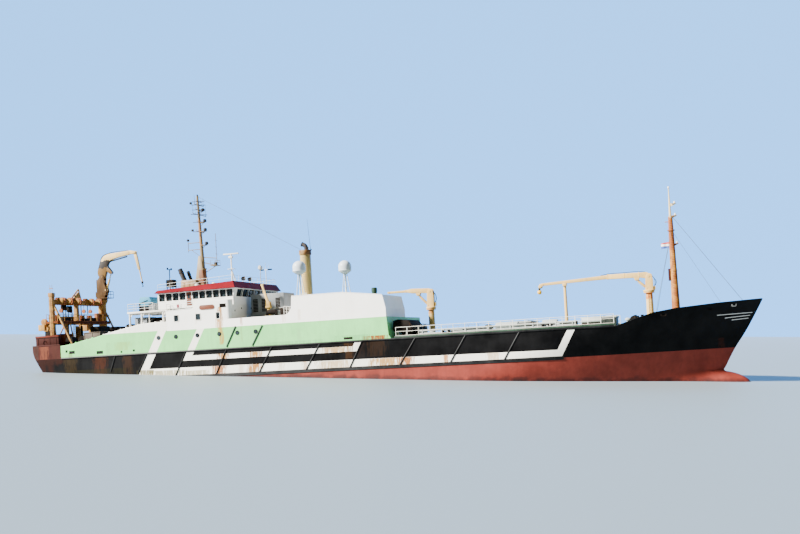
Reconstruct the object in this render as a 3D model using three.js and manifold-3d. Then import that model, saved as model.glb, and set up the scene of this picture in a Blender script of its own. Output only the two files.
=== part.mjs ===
// Stern fishing trawler afloat, a 1:10 scale model of a ship 100 m long and 16 m wide.
// Sizes are in metres of the real ship; the ship group scales them to millimetres of the model.
// x runs forward from amidships, y to port from the centreline, z up from the load waterline.
import * as THREE from "three";
import { mergeVertices } from "three/addons/utils/BufferGeometryUtils.js";
import { ParametricGeometry } from "three/addons/geometries/ParametricGeometry.js";
import Module from "manifold-3d";

const wasm = await Module();
wasm.setup();

// Driving dimensions
const MODEL_MM_PER_METRE = 100;
const TRIM_DEG = 3.5; // she floats light, down by the stern
const HALF_BEAM = 8;
const PAINT_LINE_Z = 1.32;
const DECK_Z = 4.75;
const FORE_DECK_Z = 5.2;
const STRIPE_TOP_Z = 7.7; // top of the green strake
const HOUSE_DECK_Z = 8.8;
const BRIDGE_FLOOR_Z = 10.75;
const BRIDGE_ROOF_Z = 13.0;
const SEAT = 0.003; // gap between pieces that touch
const PIN_GAP = 0.004; // radial gap round a pin
const CHEEK_GAP = 0.006; // gap beside a boom or an eye between its cheeks

const COLOUR = {
  bottom: 0xa5504a,
  topsides: 0x17191c,
  green: 0xb6ddb6,
  white: 0xf2efe6,
  visor: 0xb13a55,
  cream: 0xefe0b4,
  funnel: 0xe6cd94,
  gantry: 0xb98b4e,
  stern: 0x9c4a3c,
  mastRust: 0xc98242,
  dark: 0x2a2b2c,
  glass: 0x2b3a40,
  rail: 0xd8d4c6,
  hatch: 0xc4c6c0,
  door: 0x6b3a26,
  bronze: 0xa9793f,
};

// Shape helpers

function vec(x, y, z) {
  return new THREE.Vector3(x, y, z);
}

// A closed geometry as a manifold solid, with its faces turned outwards.
function solidOf(geometry) {
  const source = geometry.index ? geometry.toNonIndexed() : geometry;
  const bare = new THREE.BufferGeometry();
  bare.setAttribute("position", source.getAttribute("position"));
  const merged = mergeVertices(bare, 1e-5);
  const kept = [];
  const index = merged.index.array;
  for (let i = 0; i < index.length; i += 3) {
    const [a, b, c] = [index[i], index[i + 1], index[i + 2]];
    if (a !== b && b !== c && c !== a) kept.push(a, b, c);
  }
  const vertProperties = merged.attributes.position.array;
  const made = new wasm.Manifold(
    new wasm.Mesh({ numProp: 3, vertProperties, triVerts: new Uint32Array(kept) }),
  );
  if (made.volume() > 0) return made;
  const turned = [];
  for (let i = 0; i < kept.length; i += 3) turned.push(kept[i], kept[i + 2], kept[i + 1]);
  return new wasm.Manifold(
    new wasm.Mesh({ numProp: 3, vertProperties, triVerts: new Uint32Array(turned) }),
  );
}

function geometryOf(solid) {
  const mesh = solid.getMesh();
  const positions = new Float32Array(mesh.numVert * 3);
  for (let i = 0; i < mesh.numVert; i++) {
    const start = i * mesh.numProp;
    positions.set(mesh.vertProperties.subarray(start, start + 3), i * 3);
  }
  const geometry = new THREE.BufferGeometry();
  geometry.setAttribute("position", new THREE.BufferAttribute(positions, 3));
  geometry.setIndex(new THREE.BufferAttribute(mesh.triVerts, 1));
  return geometry;
}

function joined(...geometries) {
  const solids = geometries.flat().map(solidOf);
  return geometryOf(solids.reduce((whole, piece) => whole.add(piece)));
}

function cut(geometry, ...tools) {
  const start = solidOf(geometry);
  const left = tools.flat().reduce((whole, tool) => whole.subtract(solidOf(tool)), start);
  return geometryOf(left);
}

function common(first, second) {
  return geometryOf(solidOf(first).intersect(solidOf(second)));
}

function mirrored(geometry) {
  return geometryOf(solidOf(geometry.clone().scale(1, -1, 1)));
}

function block(x0, x1, y0, y1, z0, z1) {
  const box = new THREE.BoxGeometry(x1 - x0, y1 - y0, z1 - z0);
  return box.translate((x0 + x1) / 2, (y0 + y1) / 2, (z0 + z1) / 2);
}

function shapeOf(points) {
  return new THREE.Shape(points.map(([a, b]) => new THREE.Vector2(a, b)));
}

function extruded(shape, depth) {
  return new THREE.ExtrudeGeometry(shape, { depth, bevelEnabled: false, curveSegments: 8 });
}

// An outline in x and z, run across the ship from y0 to y1.
function sideOutline(points, y0, y1) {
  const shape = Array.isArray(points) ? shapeOf(points) : points;
  return extruded(shape, y1 - y0).rotateX(Math.PI / 2).translate(0, y1, 0);
}

// An outline in x and y, run up from z0 to z1.
function planOutline(points, z0, z1) {
  return extruded(shapeOf(points), z1 - z0).translate(0, 0, z0);
}

// An outline in y and z, run forward from x0 to x1.
function crossOutline(points, x0, x1) {
  const turn = new THREE.Matrix4().makeBasis(vec(0, 1, 0), vec(0, 0, 1), vec(1, 0, 0));
  return extruded(shapeOf(points), x1 - x0).applyMatrix4(turn).translate(x0, 0, 0);
}

// A geometry that stands along +Y round its middle, laid from point a to point b.
function laid(geometry, a, b) {
  const along = b.clone().sub(a).normalize();
  const turn = new THREE.Quaternion().setFromUnitVectors(vec(0, 1, 0), along);
  const middle = a.clone().add(b).multiplyScalar(0.5);
  return geometry.applyQuaternion(turn).translate(middle.x, middle.y, middle.z);
}

function rod(a, b, radiusA, radiusB = radiusA, sides = 8) {
  return laid(new THREE.CylinderGeometry(radiusB, radiusA, a.distanceTo(b), sides), a, b);
}

// A bar of box section between two points that share a y: thick in y, deep across its run.
function bar(a, b, thick, deep) {
  const run = b.clone().sub(a);
  const length = run.length();
  const box = new THREE.BoxGeometry(length, thick, deep);
  box.rotateY(-Math.atan2(run.z, run.x));
  return box.translate((a.x + b.x) / 2, (a.y + b.y) / 2, (a.z + b.z) / 2);
}

// A pin or drum along y.
function acrossRod(x, z, y0, y1, radius, sides = 12) {
  return rod(vec(x, y0, z), vec(x, y1, z), radius, radius, sides);
}

// A profile of [radius, height] pairs turned about a vertical line through x, y.
function turned(profile, x, y, z, sides = 12) {
  const points = profile.map(([r, h]) => new THREE.Vector2(r, h));
  return new THREE.LatheGeometry(points, sides).rotateX(Math.PI / 2).translate(x, y, z);
}

const ship = new THREE.Group();
ship.scale.setScalar(MODEL_MM_PER_METRE);
ship.rotation.y = -THREE.MathUtils.degToRad(TRIM_DEG);

function piece(name, geometry, color, roughness = 0.6, metalness = 0.1) {
  const material = new THREE.MeshStandardMaterial({ color, roughness, metalness });
  const mesh = new THREE.Mesh(geometryOf(solidOf(geometry)), material);
  mesh.name = name;
  ship.add(mesh);
}

// Hull form

// One row per waterline: its height, the x of the stern edge and of the stem, the greatest
// half-breadth, the half-breadth at the stern edge, the x where the run to the stern starts,
// the x where the entry to the stem starts, and how full that entry is.
const WATERLINES = [
  { z: -5.3, stern: -37.0, stem: 42.0, half: 6.0, sternHalf: 0.45, run: -12, entry: 6, full: 1.35 },
  { z: -5.05, stern: -38.2, stem: 43.0, half: 6.9, sternHalf: 0.5, run: -14, entry: 7, full: 1.4 },
  { z: -4.3, stern: -39.6, stem: 43.8, half: 7.7, sternHalf: 0.55, run: -16, entry: 8, full: 1.45 },
  { z: -3.1, stern: -40.4, stem: 44.4, half: 8, sternHalf: 0.6, run: -19, entry: 10, full: 1.5 },
  { z: -1.9, stern: -41.0, stem: 45.1, half: 8, sternHalf: 0.9, run: -23, entry: 12, full: 1.55 },
  { z: -1.1, stern: -45.0, stem: 45.7, half: 8, sternHalf: 4.6, run: -27, entry: 14, full: 1.6 },
  { z: 0.2, stern: -46.6, stem: 46.4, half: 8, sternHalf: 6.0, run: -32, entry: 17, full: 1.7 },
  { z: 1.32, stern: -47.2, stem: 47.05, half: 8, sternHalf: 6.5, run: -36, entry: 19, full: 1.8 },
  { z: 3.0, stern: -48.1, stem: 48.2, half: 8, sternHalf: 6.8, run: -40, entry: 23, full: 1.95 },
  { z: 4.75, stern: -49.0, stem: 49.25, half: 8, sternHalf: 7.0, run: -43.9, entry: 27, full: 2.15 },
  { z: 7.2, stern: -50.2, stem: 50.6, half: 8, sternHalf: 7.1, run: -43.9, entry: 31, full: 2.5 },
];
const STATIONS = [
  0, 0.02, 0.05, 0.09, 0.14, 0.2, 0.28, 0.4, 0.55, 0.65, 0.72, 0.78, 0.83, 0.875, 0.91, 0.94, 0.965,
  0.985, 1,
];

// The waterline at any height, between the two rows nearest to it.
function waterlineAt(z) {
  const above = Math.max(1, WATERLINES.findIndex((row) => row.z >= z - 1e-6));
  const [low, high] = [WATERLINES[above - 1], WATERLINES[above]];
  const share = (z - low.z) / (high.z - low.z);
  const mix = {};
  for (const key of Object.keys(low)) mix[key] = low[key] + (high[key] - low[key]) * share;
  return mix;
}

function halfBreadth(x, row) {
  if (x > row.entry) {
    const way = Math.min(1, (x - row.entry) / (row.stem - row.entry));
    return row.half * (1 - way ** row.full);
  }
  if (x < row.run) {
    const way = Math.min(1, (row.run - x) / (row.run - row.stern));
    return row.sternHalf + (row.half - row.sternHalf) * (1 - way ** 1.8);
  }
  return row.half;
}

// The ring of points round one waterline, from the stern along starboard to the stem and back.
function hullRing(z, swell) {
  const row = waterlineAt(z);
  const starboard = STATIONS.map((share) => {
    const x = row.stern - swell + (row.stem - row.stern + 2 * swell) * share;
    const inside = THREE.MathUtils.clamp(x, row.stern, row.stem);
    const half = share === 1 ? 0 : Math.max(0.02, halfBreadth(inside, row) + swell);
    return vec(x, -half, z);
  });
  const port = starboard.slice(0, -1).reverse().map((p) => vec(p.x, -p.y, p.z));
  return [...starboard, ...port];
}

// A closed skin through rings of like count, each end drawn in to the centreline.
function hullBetween(zLow, zHigh, swell = 0) {
  const inner = WATERLINES.map((row) => row.z).filter((z) => z > zLow + 0.01 && z < zHigh - 0.01);
  const rings = [zLow, ...inner, zHigh].map((z) => hullRing(z, swell));
  const spine = (ring) => ring.map((p) => vec(p.x, 0, p.z));
  const rows = [spine(rings[0]), ...rings, spine(rings.at(-1))];
  const around = rings[0].length;
  const point = (u, v, target) => {
    const ring = rows[Math.round(v * (rows.length - 1))];
    target.copy(ring[Math.round(u * around) % around]);
  };
  return new ParametricGeometry(point, around, rows.length - 1);
}

// Underwater hull with its bulb, skeg, shaft boss, nozzle, rudder trunk and bilge keels

const SHAFT_Z = -3.35;
const NOZZLE = { aft: -43.4, fore: -41.7, bore: 1.76, radius: 1.95 };
const RUDDER_X = -44.15;
const BULB = { x: 43.5, z: -3.55, long: 5.1, wide: 1.35, high: 1.75 };

function alongRod(xa, xb, y, z, radius, sides = 16) {
  return rod(vec(xa, y, z), vec(xb, y, z), radius, radius, sides);
}

const bulb = new THREE.SphereGeometry(1, 14, 10)
  .rotateX(Math.PI / 2)
  .scale(BULB.long, BULB.wide, BULB.high)
  .translate(BULB.x, 0, BULB.z);
const nozzle = cut(
  alongRod(NOZZLE.aft, NOZZLE.fore, 0, SHAFT_Z, NOZZLE.radius, 24),
  alongRod(NOZZLE.aft - 1, NOZZLE.fore + 1, 0, SHAFT_Z, NOZZLE.bore, 24),
);
const bilgeKeels = [-1, 1].map((side) => {
  const keel = sideOutline([[-12, -4.75], [-10, -5.05], [10, -5.05], [12, -4.75]], 7.1, 7.6);
  return side < 0 ? mirrored(keel) : keel;
});
piece(
  "hull_bottom",
  joined(
    hullBetween(-5.3, PAINT_LINE_Z - SEAT),
    bulb,
    alongRod(-41.5, -38, 0, SHAFT_Z, 0.42),
    block(-43.2, -36, -0.28, 0.28, -5.3, -5.13),
    nozzle,
    rod(vec(RUDDER_X, 0, -1.75), vec(RUDDER_X, 0, -0.4), 0.34, 0.34, 12),
    bilgeKeels,
  ),
  COLOUR.bottom,
);

const propellerBlades = [0, 1, 2, 3].map((number) => {
  const blade = new THREE.CylinderGeometry(1, 1, 0.09, 10).scale(0.52, 1, 0.78);
  blade.rotateZ(Math.PI / 2).translate(0, 0, 0.88);
  const pitch = new THREE.Matrix4().makeRotationZ(0.65);
  blade.applyMatrix4(pitch).rotateX((number * Math.PI) / 2);
  return blade.translate(-42.45, 0, SHAFT_Z);
});
piece(
  "propeller",
  joined(
    alongRod(-42.9, -41.5 - SEAT, 0, SHAFT_Z, 0.34),
    alongRod(-43.3, -42.85, 0, SHAFT_Z, 0.2, 12),
    propellerBlades,
  ),
  COLOUR.bronze,
  0.35,
  0.9,
);

piece(
  "rudder",
  joined(
    planOutline([[-45.6, -0.06], [-44.1, -0.2], [-43.72, -0.14], [-43.6, 0], [-43.72, 0.14],
      [-44.1, 0.2], [-45.6, 0.06]], -5.2, -1.95),
    rod(vec(RUDDER_X, 0, -2), vec(RUDDER_X, 0, -1.75 - SEAT), 0.19, 0.19, 12),
  ),
  COLOUR.bottom,
);

// Topsides: black shell with the main deck, the raised bow and the stern ramp

const BOW_SHEER = [[33.6, 4.755], [34.3, 5.0], [37.8, 6.05], [40.3, 6.4], [45, 6.75], [50.5, 7.04]];
const aboveSheer = sideOutline(
  [[-60, DECK_Z], [33.6, DECK_Z], ...BOW_SHEER.slice(1), [55, 7.3], [55, 12], [-60, 12]],
  -10,
  10,
);
const bowWell = common(
  hullBetween(FORE_DECK_Z, 7.2, -0.14),
  block(34.5, 50, -9, 9, FORE_DECK_Z, 9),
);
const RAMP = { top: -41.5, half: 2.3, slope: 0.32 };
const rampVoid = sideOutline(
  [[RAMP.top, DECK_Z], [RAMP.top - 12, DECK_Z - 12 * RAMP.slope], [RAMP.top - 12, 9], [RAMP.top, 9]],
  -RAMP.half,
  RAMP.half,
);
piece(
  "hull_topsides",
  cut(hullBetween(PAINT_LINE_Z, 7.2), aboveSheer, bowWell, rampVoid),
  COLOUR.topsides,
);

// Rubbing strakes with their diagonal half-round bars, one welded frame a side

// x at the top and at the bottom of each bar, and the height of its foot
const DIAGONALS = [
  { top: -34.9, foot: -35.8, z: 2.5 },
  { top: -29.8, foot: -31.4, z: 2.1 },
  { top: -23.8, foot: -25.6, z: 1.3 },
  { top: -17.6, foot: -19.4, z: 1.3 },
  { top: -10.9, foot: -13.0, z: 1.3 },
  { top: -4.1, foot: -6.3, z: 1.3 },
  { top: 1.7, foot: -0.2, z: 1.3 },
  { top: 8.8, foot: 6.5, z: 1.3 },
  { top: 15.3, foot: 13.1, z: 1.3 },
  { top: 22.0, foot: 19.9, z: 1.3 },
];
const STRAKE_PROUD = 0.13;

function strake(xa, xb, z, deep) {
  const row = waterlineAt(z);
  const steps = 16;
  const outer = [];
  for (let i = 0; i <= steps; i++) {
    const x = xa + ((xb - xa) * i) / steps;
    outer.push([x, -halfBreadth(x, row) - STRAKE_PROUD]);
  }
  return planOutline([...outer, [xb, -5.5], [xa, -5.5]], z - deep / 2, z + deep / 2);
}

const diagonalBars = DIAGONALS.map((row) => {
  const y = -HALF_BEAM - STRAKE_PROUD / 2;
  return bar(vec(row.top, y, 4.8), vec(row.foot, y, row.z), STRAKE_PROUD, 0.2);
});
const strakeStock = joined(strake(-43.8, 33, 4.78, 0.26), strake(-30.5, 27, 1.28, 0.34), diagonalBars);
const shell = hullBetween(0, 6, SEAT);
const bulwarkFace = block(-44, -27, -HALF_BEAM - SEAT, HALF_BEAM + SEAT, 4.6, 5.2);
piece("rubbing_frame_stbd", cut(strakeStock, shell, bulwarkFace), COLOUR.dark);
piece("rubbing_frame_port", cut(mirrored(strakeStock), shell, bulwarkFace), COLOUR.dark);

// Stern: raised quarters either side of the ramp, and the green bulwarks of the working deck

const QUARTER_TOP_Z = 6.75;
const QUARTER_FORE_X = -43.9;
const quarter = common(
  hullBetween(DECK_Z + SEAT, QUARTER_TOP_Z),
  block(-52, QUARTER_FORE_X, -9, -RAMP.half - 0.1, 4, 8),
);
piece("stern_quarter_stbd", quarter, COLOUR.stern);
piece("stern_quarter_port", mirrored(quarter), COLOUR.stern);

const BULWARK_TOP = [
  [-43.85, 6.51], [-41.9, 6.69], [-39.9, 7.13], [-38.1, 7.4], [-36.2, 7.84], [-34.4, 8.18],
  [-31.8, 8.64], [-30.5, 8.87], [-27.1, 8.98],
];
const BULWARK_THICK = 0.16;
// Centre x, length and height of each freeing port
const FREEING_PORTS = [
  { x: -42.2, long: 1.1, high: 0.4 },
  { x: -36.9, long: 1.2, high: 0.4 },
  { x: -32.3, long: 0.5, high: 0.3 },
];
const bulwark = cut(
  sideOutline([[-43.85, DECK_Z + SEAT], ...BULWARK_TOP, [-27.1, DECK_Z + SEAT]], -8, -8 + BULWARK_THICK),
  FREEING_PORTS.map((row) => block(row.x - row.long / 2, row.x + row.long / 2, -9, -7, 5.1, 5.1 + row.high)),
);
piece("aft_bulwark_stbd", bulwark, COLOUR.green);
piece("aft_bulwark_port", mirrored(bulwark), COLOUR.green);

// Deckhouse: green lower strake, white upper strake with the accommodation block

const HOUSE_AFT_X = -27;
piece(
  "house_lower",
  sideOutline(
    [[HOUSE_AFT_X, DECK_Z + SEAT], [5.7, DECK_Z + SEAT], [5.25, 5.35], [5.1, STRIPE_TOP_Z],
      [HOUSE_AFT_X, STRIPE_TOP_Z]],
    -HALF_BEAM,
    HALF_BEAM,
  ),
  COLOUR.green,
);
const HOUSE_STEP_X = -8.5; // forward of it the upper strake stands to starboard only
const SIDE_HOUSE = { inner: 0.7 };
const ACCOMMODATION = { aft: -26.6, fore: -16.8 };
// The front is set back at port, under an overhanging deck on one post
const RECESS = { aft: -18.6, y0: 2.7, top: 10.45 };
const accommodation = cut(
  sideOutline(
    [[ACCOMMODATION.aft, HOUSE_DECK_Z - 0.05], [ACCOMMODATION.fore, HOUSE_DECK_Z - 0.05],
      [ACCOMMODATION.fore, BRIDGE_FLOOR_Z], [-21.5, BRIDGE_FLOOR_Z], [-21.5, 10.66],
      [ACCOMMODATION.aft, 10.45]],
    -HALF_BEAM,
    HALF_BEAM,
  ),
  block(RECESS.aft, ACCOMMODATION.fore + 1, RECESS.y0, HALF_BEAM + 1, HOUSE_DECK_Z, RECESS.top),
);
const WING_SCREEN = [[-22.4, 10.5], [-21.6, 11.25], [-16.8, 11.4], [-16.8, 10.5]];
const SCREEN_THICK = 0.1;
const WALKWAY_RAIL = { aft: -26.4, fore: -22.4, top: 11.4, middle: 10.95, radius: 0.04 };
const wingPieces = [-1, 1].flatMap((side) => {
  const edge = side * (HALF_BEAM - SCREEN_THICK / 2);
  const screen = sideOutline(WING_SCREEN, edge - SCREEN_THICK / 2, edge + SCREEN_THICK / 2);
  const front = block(
    ACCOMMODATION.fore - SCREEN_THICK,
    ACCOMMODATION.fore,
    Math.min(side * HALF_BEAM, side * 7.15),
    Math.max(side * HALF_BEAM, side * 7.15),
    10.7,
    11.4,
  );
  const { aft, fore, top, middle, radius } = WALKWAY_RAIL;
  const posts = [0, 1, 2, 3, 4].map((number) => {
    const x = aft + ((fore - aft) * number) / 4;
    return rod(vec(x, edge, 10.3), vec(x, edge, top), radius, radius, 4);
  });
  const bars = [middle, top].map((z) => rod(vec(aft, edge, z), vec(fore + 0.6, edge, z), radius, radius, 4));
  return [screen, front, ...posts, ...bars];
});
piece(
  "house_upper",
  joined(
    block(ACCOMMODATION.aft, HOUSE_STEP_X, -HALF_BEAM, HALF_BEAM, STRIPE_TOP_Z + SEAT, HOUSE_DECK_Z),
    block(HOUSE_STEP_X - 0.1, 5.08, -HALF_BEAM, SIDE_HOUSE.inner, STRIPE_TOP_Z + SEAT, HOUSE_DECK_Z),
    accommodation,
    block(-17.05, -16.85, 7.6, 7.8, HOUSE_DECK_Z - 0.05, RECESS.top + 0.05),
    wingPieces,
  ),
  COLOUR.white,
);

// Aft platform: the bridge deck carried on aft over the trawl winches, on white posts, with rails
const PLATFORM = { aft: -33, fore: ACCOMMODATION.aft - 0.03, half: 7.5, low: 10.45, high: 10.7 };
const PLATFORM_RAILS = { aft: -32.9, fore: -28.9, y: 7.4, bars: [11.25, 11.8] };
const platformPosts = [-32.7, -30.8, -27.4].flatMap((x) => [-7.3, 7.3].map((y) =>
  rod(vec(x, y, DECK_Z + SEAT), vec(x, y, PLATFORM.low + 0.1), 0.13, 0.13, 8)));
const railTop = PLATFORM_RAILS.bars[1];
const platformRails = [-1, 1].flatMap((side) => {
  const y = side * PLATFORM_RAILS.y;
  const stops = [PLATFORM_RAILS.aft, -31.6, -30.3, PLATFORM_RAILS.fore];
  const posts = stops.map((x) => rod(vec(x, y, PLATFORM.low + 0.1), vec(x, y, railTop), 0.04, 0.04, 4));
  const bars = PLATFORM_RAILS.bars.map((z) =>
    rod(vec(PLATFORM_RAILS.aft, y, z), vec(PLATFORM_RAILS.fore, y, z), 0.04, 0.04, 4));
  return [...posts, ...bars];
});
const aftRail = [
  ...PLATFORM_RAILS.bars.map((z) =>
    rod(vec(PLATFORM_RAILS.aft, -PLATFORM_RAILS.y, z), vec(PLATFORM_RAILS.aft, PLATFORM_RAILS.y, z), 0.04, 0.04, 4)),
  ...[-3.7, 0, 3.7].map((y) =>
    rod(vec(PLATFORM_RAILS.aft, y, PLATFORM.low + 0.1), vec(PLATFORM_RAILS.aft, y, railTop), 0.04, 0.04, 4)),
];
piece(
  "aft_platform",
  joined(
    block(PLATFORM.aft, PLATFORM.fore, -PLATFORM.half, PLATFORM.half, PLATFORM.low, PLATFORM.high),
    platformPosts,
    platformRails,
    aftRail,
  ),
  COLOUR.white,
);

const sideHouseShape = new THREE.Shape();
sideHouseShape.moveTo(-8.5, HOUSE_DECK_Z + SEAT);
sideHouseShape.quadraticCurveTo(-7.95, 9.1, -7.9, 9.9);
sideHouseShape.lineTo(-7.8, 11.2);
sideHouseShape.lineTo(-0.7, 11.2);
sideHouseShape.lineTo(4.7, 10.54);
sideHouseShape.lineTo(5.0, HOUSE_DECK_Z + SEAT);
piece("side_house_stbd", sideOutline(sideHouseShape, -HALF_BEAM, SIDE_HOUSE.inner), COLOUR.white);

// Wheelhouse: one welded shell with floor and window openings, glazing, console, doors and roof

const BRIDGE = { aft: -28.3, fore: -16.75, foreTop: -16.4, half: 7, wall: 0.14 };
const SILL_Z = 11.93;
const HEAD_Z = 12.8;
const DOOR = { aft: -23.83, fore: -23.08, foot: 10.95, head: 12.9 };
const KNEE_Z = 11.78; // above it the front leans out
const LEAN = (BRIDGE.foreTop - BRIDGE.fore) / (BRIDGE_ROOF_Z - KNEE_Z);

function bridgeShell(inset, z0, z1) {
  const foreAt = (z) => BRIDGE.fore - inset + Math.max(0, z - KNEE_Z) * LEAN;
  const knee = z0 < KNEE_Z ? [[foreAt(KNEE_Z), KNEE_Z]] : [];
  const outline = [[BRIDGE.aft + inset, z0], [foreAt(z0), z0], ...knee, [foreAt(z1), z1], [BRIDGE.aft + inset, z1]];
  return sideOutline(outline, -BRIDGE.half + inset, BRIDGE.half - inset);
}

// Aft edge of each side window, measured forward from the wheelhouse's aft corner
const SIDE_WINDOWS = [0.25, 1.35, 2.4, 3.45, 5.47, 6.51, 7.56, 8.61, 9.66, 10.68];
const SIDE_WINDOW_LONG = 0.78;
const sideOpenings = SIDE_WINDOWS.map((from) => {
  const x = BRIDGE.aft + from;
  return block(x, x + SIDE_WINDOW_LONG, -8, 8, SILL_Z, HEAD_Z);
});
const FRONT_WINDOWS = { count: 7, first: -6.1, pitch: 1.82, wide: 1.5 };
const frontOpenings = [];
for (let i = 0; i < FRONT_WINDOWS.count; i++) {
  const y = FRONT_WINDOWS.first + i * FRONT_WINDOWS.pitch;
  frontOpenings.push(block(-16.9, -16, y, y + FRONT_WINDOWS.wide, SILL_Z, HEAD_Z));
}
const aftOpenings = [-5.5, -3.3, 2.1, 4.3].map((y) => block(-30, -28, y, y + 1.2, SILL_Z, HEAD_Z));
const doorOpenings = block(DOOR.aft, DOOR.fore, -8, 8, DOOR.foot, DOOR.head);
piece(
  "wheelhouse_shell",
  cut(
    bridgeShell(0, BRIDGE_FLOOR_Z + SEAT, BRIDGE_ROOF_Z),
    bridgeShell(BRIDGE.wall, BRIDGE_FLOOR_Z + 0.15, BRIDGE_ROOF_Z + 0.5),
    sideOpenings,
    frontOpenings,
    aftOpenings,
    doorOpenings,
  ),
  COLOUR.white,
);
const GLASS_INSET = BRIDGE.wall + SEAT;
piece(
  "wheelhouse_glazing",
  cut(
    bridgeShell(GLASS_INSET, SILL_Z - 0.08, HEAD_Z + 0.08),
    bridgeShell(GLASS_INSET + 0.03, SILL_Z - 0.5, HEAD_Z + 0.5),
    block(DOOR.aft - 0.1, DOOR.fore + 0.1, -8, 0, 10, 13),
  ),
  COLOUR.glass,
  0.1,
);
piece(
  "wheelhouse_console",
  joined(
    block(-18.7, -17.5, -5.2, 5.2, BRIDGE_FLOOR_Z + 0.153, 11.75),
    block(-20.5, -18.6, -0.9, 0.9, BRIDGE_FLOOR_Z + 0.153, 11.6),
  ),
  COLOUR.dark,
);
const DOOR_PIN = { y: -BRIDGE.half - 0.038, radius: 0.035 };
const doorLeaf = joined(
  block(DOOR.aft + 0.03, DOOR.fore - 0.03, DOOR_PIN.y, -BRIDGE.half + 0.07, DOOR.foot + 0.03, DOOR.head - 0.03),
  rod(vec(DOOR.fore, DOOR_PIN.y, 11.1), vec(DOOR.fore, DOOR_PIN.y, 12.7), DOOR_PIN.radius, DOOR_PIN.radius, 8),
);
piece("wheelhouse_door_stbd", doorLeaf, COLOUR.door);
piece("wheelhouse_door_port", mirrored(doorLeaf), COLOUR.door);

// Roof: a tray behind a crimson visor whose faces lean in towards the top
const VISOR = { foot: BRIDGE_ROOF_Z + SEAT, aft: -28.5, fore: -16.15, half: 7.6 };
const VISOR_TOP = { aft: -28.35, fore: -16.65, half: 7.05, aftZ: 13.41, foreZ: 13.95 };
const ROOF_TRAY_Z = 13.32;
const MONKEY_Z = ROOF_TRAY_Z + SEAT;
const RIM = 0.12;
const visorBlock = new THREE.BoxGeometry(2, 2, 2);
const visorPoints = visorBlock.getAttribute("position");
for (let i = 0; i < visorPoints.count; i++) {
  const [fore, port, top] = [visorPoints.getX(i) > 0, Math.sign(visorPoints.getY(i)), visorPoints.getZ(i) > 0];
  const level = top ? VISOR_TOP : VISOR;
  const z = top ? (fore ? VISOR_TOP.foreZ : VISOR_TOP.aftZ) : VISOR.foot;
  visorPoints.setXYZ(i, fore ? level.fore : level.aft, port * level.half, z);
}
// Roof gear: aft lamp post, small dome, aerial post, searchlights and a locker on legs
const lampPost = [
  rod(vec(-28.05, -4, ROOF_TRAY_Z - 0.1), vec(-28.05, -4, 16.6), 0.09, 0.07, 6),
  acrossRod(-28.05, 16.5, -4.5, -3.5, 0.06, 6),
];
const smallDome = [
  rod(vec(-18, 4.6, ROOF_TRAY_Z - 0.1), vec(-18, 4.6, 16.3), 0.06, 0.06, 6),
  turned([[0, -0.3], [0.3, -0.25], [0.33, 0], [0.22, 0.25], [0, 0.33]], -18, 4.6, 16.55, 10),
];
const aerialPost = [
  rod(vec(-18, 6.5, ROOF_TRAY_Z - 0.1), vec(-18, 6.5, 16.3), 0.06, 0.06, 6),
  bar(vec(-18.6, 6.5, 16.3), vec(-17.4, 6.5, 16.3), 0.12, 0.1),
];
const searchlights = [-2, 0].map((y) => [
  rod(vec(-17.6, y, ROOF_TRAY_Z - 0.1), vec(-17.6, y, 14.4), 0.06, 0.06, 6),
  rod(vec(-17.85, y, 14.55), vec(-17.35, y, 14.55), 0.26, 0.3, 10),
]);
piece(
  "wheelhouse_roof",
  joined(
    cut(visorBlock, block(VISOR_TOP.aft + RIM, VISOR_TOP.fore - RIM, -VISOR_TOP.half + RIM, VISOR_TOP.half - RIM,
      ROOF_TRAY_Z, 15)),
    lampPost,
    smallDome,
    aerialPost,
    searchlights.flat(),
    block(-27.8, -26.7, -5.5, -4.5, ROOF_TRAY_Z - 0.1, 15),
  ),
  COLOUR.visor,
);

// Main mast on its housing, radar post with its scanner

const mastYards = [
  { z: 25.9, half: 1.3 },
  { z: 24.5, half: 1.9 },
  { z: 22.0, half: 1.1 },
].map((row) => acrossRod(-24.98, row.z, -row.half, row.half, 0.06, 6));
const mastHousing = new THREE.CylinderGeometry(0.36, 1.2, 5.2, 4, 1)
  .rotateX(Math.PI / 2)
  .rotateZ(Math.PI / 4)
  .translate(-25.2, 0, MONKEY_Z + 2.6);
// Casing aft of the mast, with two exhaust pipes that lean aft
const mastCasing = [
  block(-28.0, -25.5, -1.2, 1.2, MONKEY_Z, 15.1),
  rod(vec(-27.6, -0.5, 14.8), vec(-28.4, -0.5, 16.8), 0.34, 0.34, 10),
  rod(vec(-27.1, 0.55, 14.8), vec(-27.7, 0.55, 16.5), 0.24, 0.24, 10),
];
piece(
  "main_mast",
  joined(
    mastHousing,
    mastCasing,
    rod(vec(-24.75, 0, MONKEY_Z + 0.05), vec(-25.2, 0, 27.3), 0.3, 0.12, 8),
    rod(vec(-24.72, 0, MONKEY_Z + 0.02), vec(-24.85, 0, 16.7), 0.45, 0.42, 10),
    mastYards,
    bar(vec(-27.1, 0, 19.5), vec(-24.8, 0, 19.5), 0.12, 0.12),
    bar(vec(-27.1, 0, 20.5), vec(-24.8, 0, 20.5), 0.12, 0.12),
    bar(vec(-27.1, 0, 19.2), vec(-27.1, 0, 20.8), 0.12, 0.12),
    bar(vec(-24.9, 0, 18.3), vec(-22.6, 0, 18.0), 0.16, 0.12),
    bar(vec(-24.6, 0, 16.0), vec(-22.6, 0, 17.0), 0.16, 0.12),
    block(-23.4, -22.4, -0.7, 0.7, 16.9, 17.02),
    rod(vec(-22.6, 0, 16.9), vec(-22.6, 0, 21.6), 0.07, 0.05, 6),
    block(-25.0, -24.2, -0.35, 0.35, 20.0, 20.12),
    block(-25.0, -24.3, -0.3, 0.3, 23.3, 23.42),
  ),
  COLOUR.cream,
);
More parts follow.
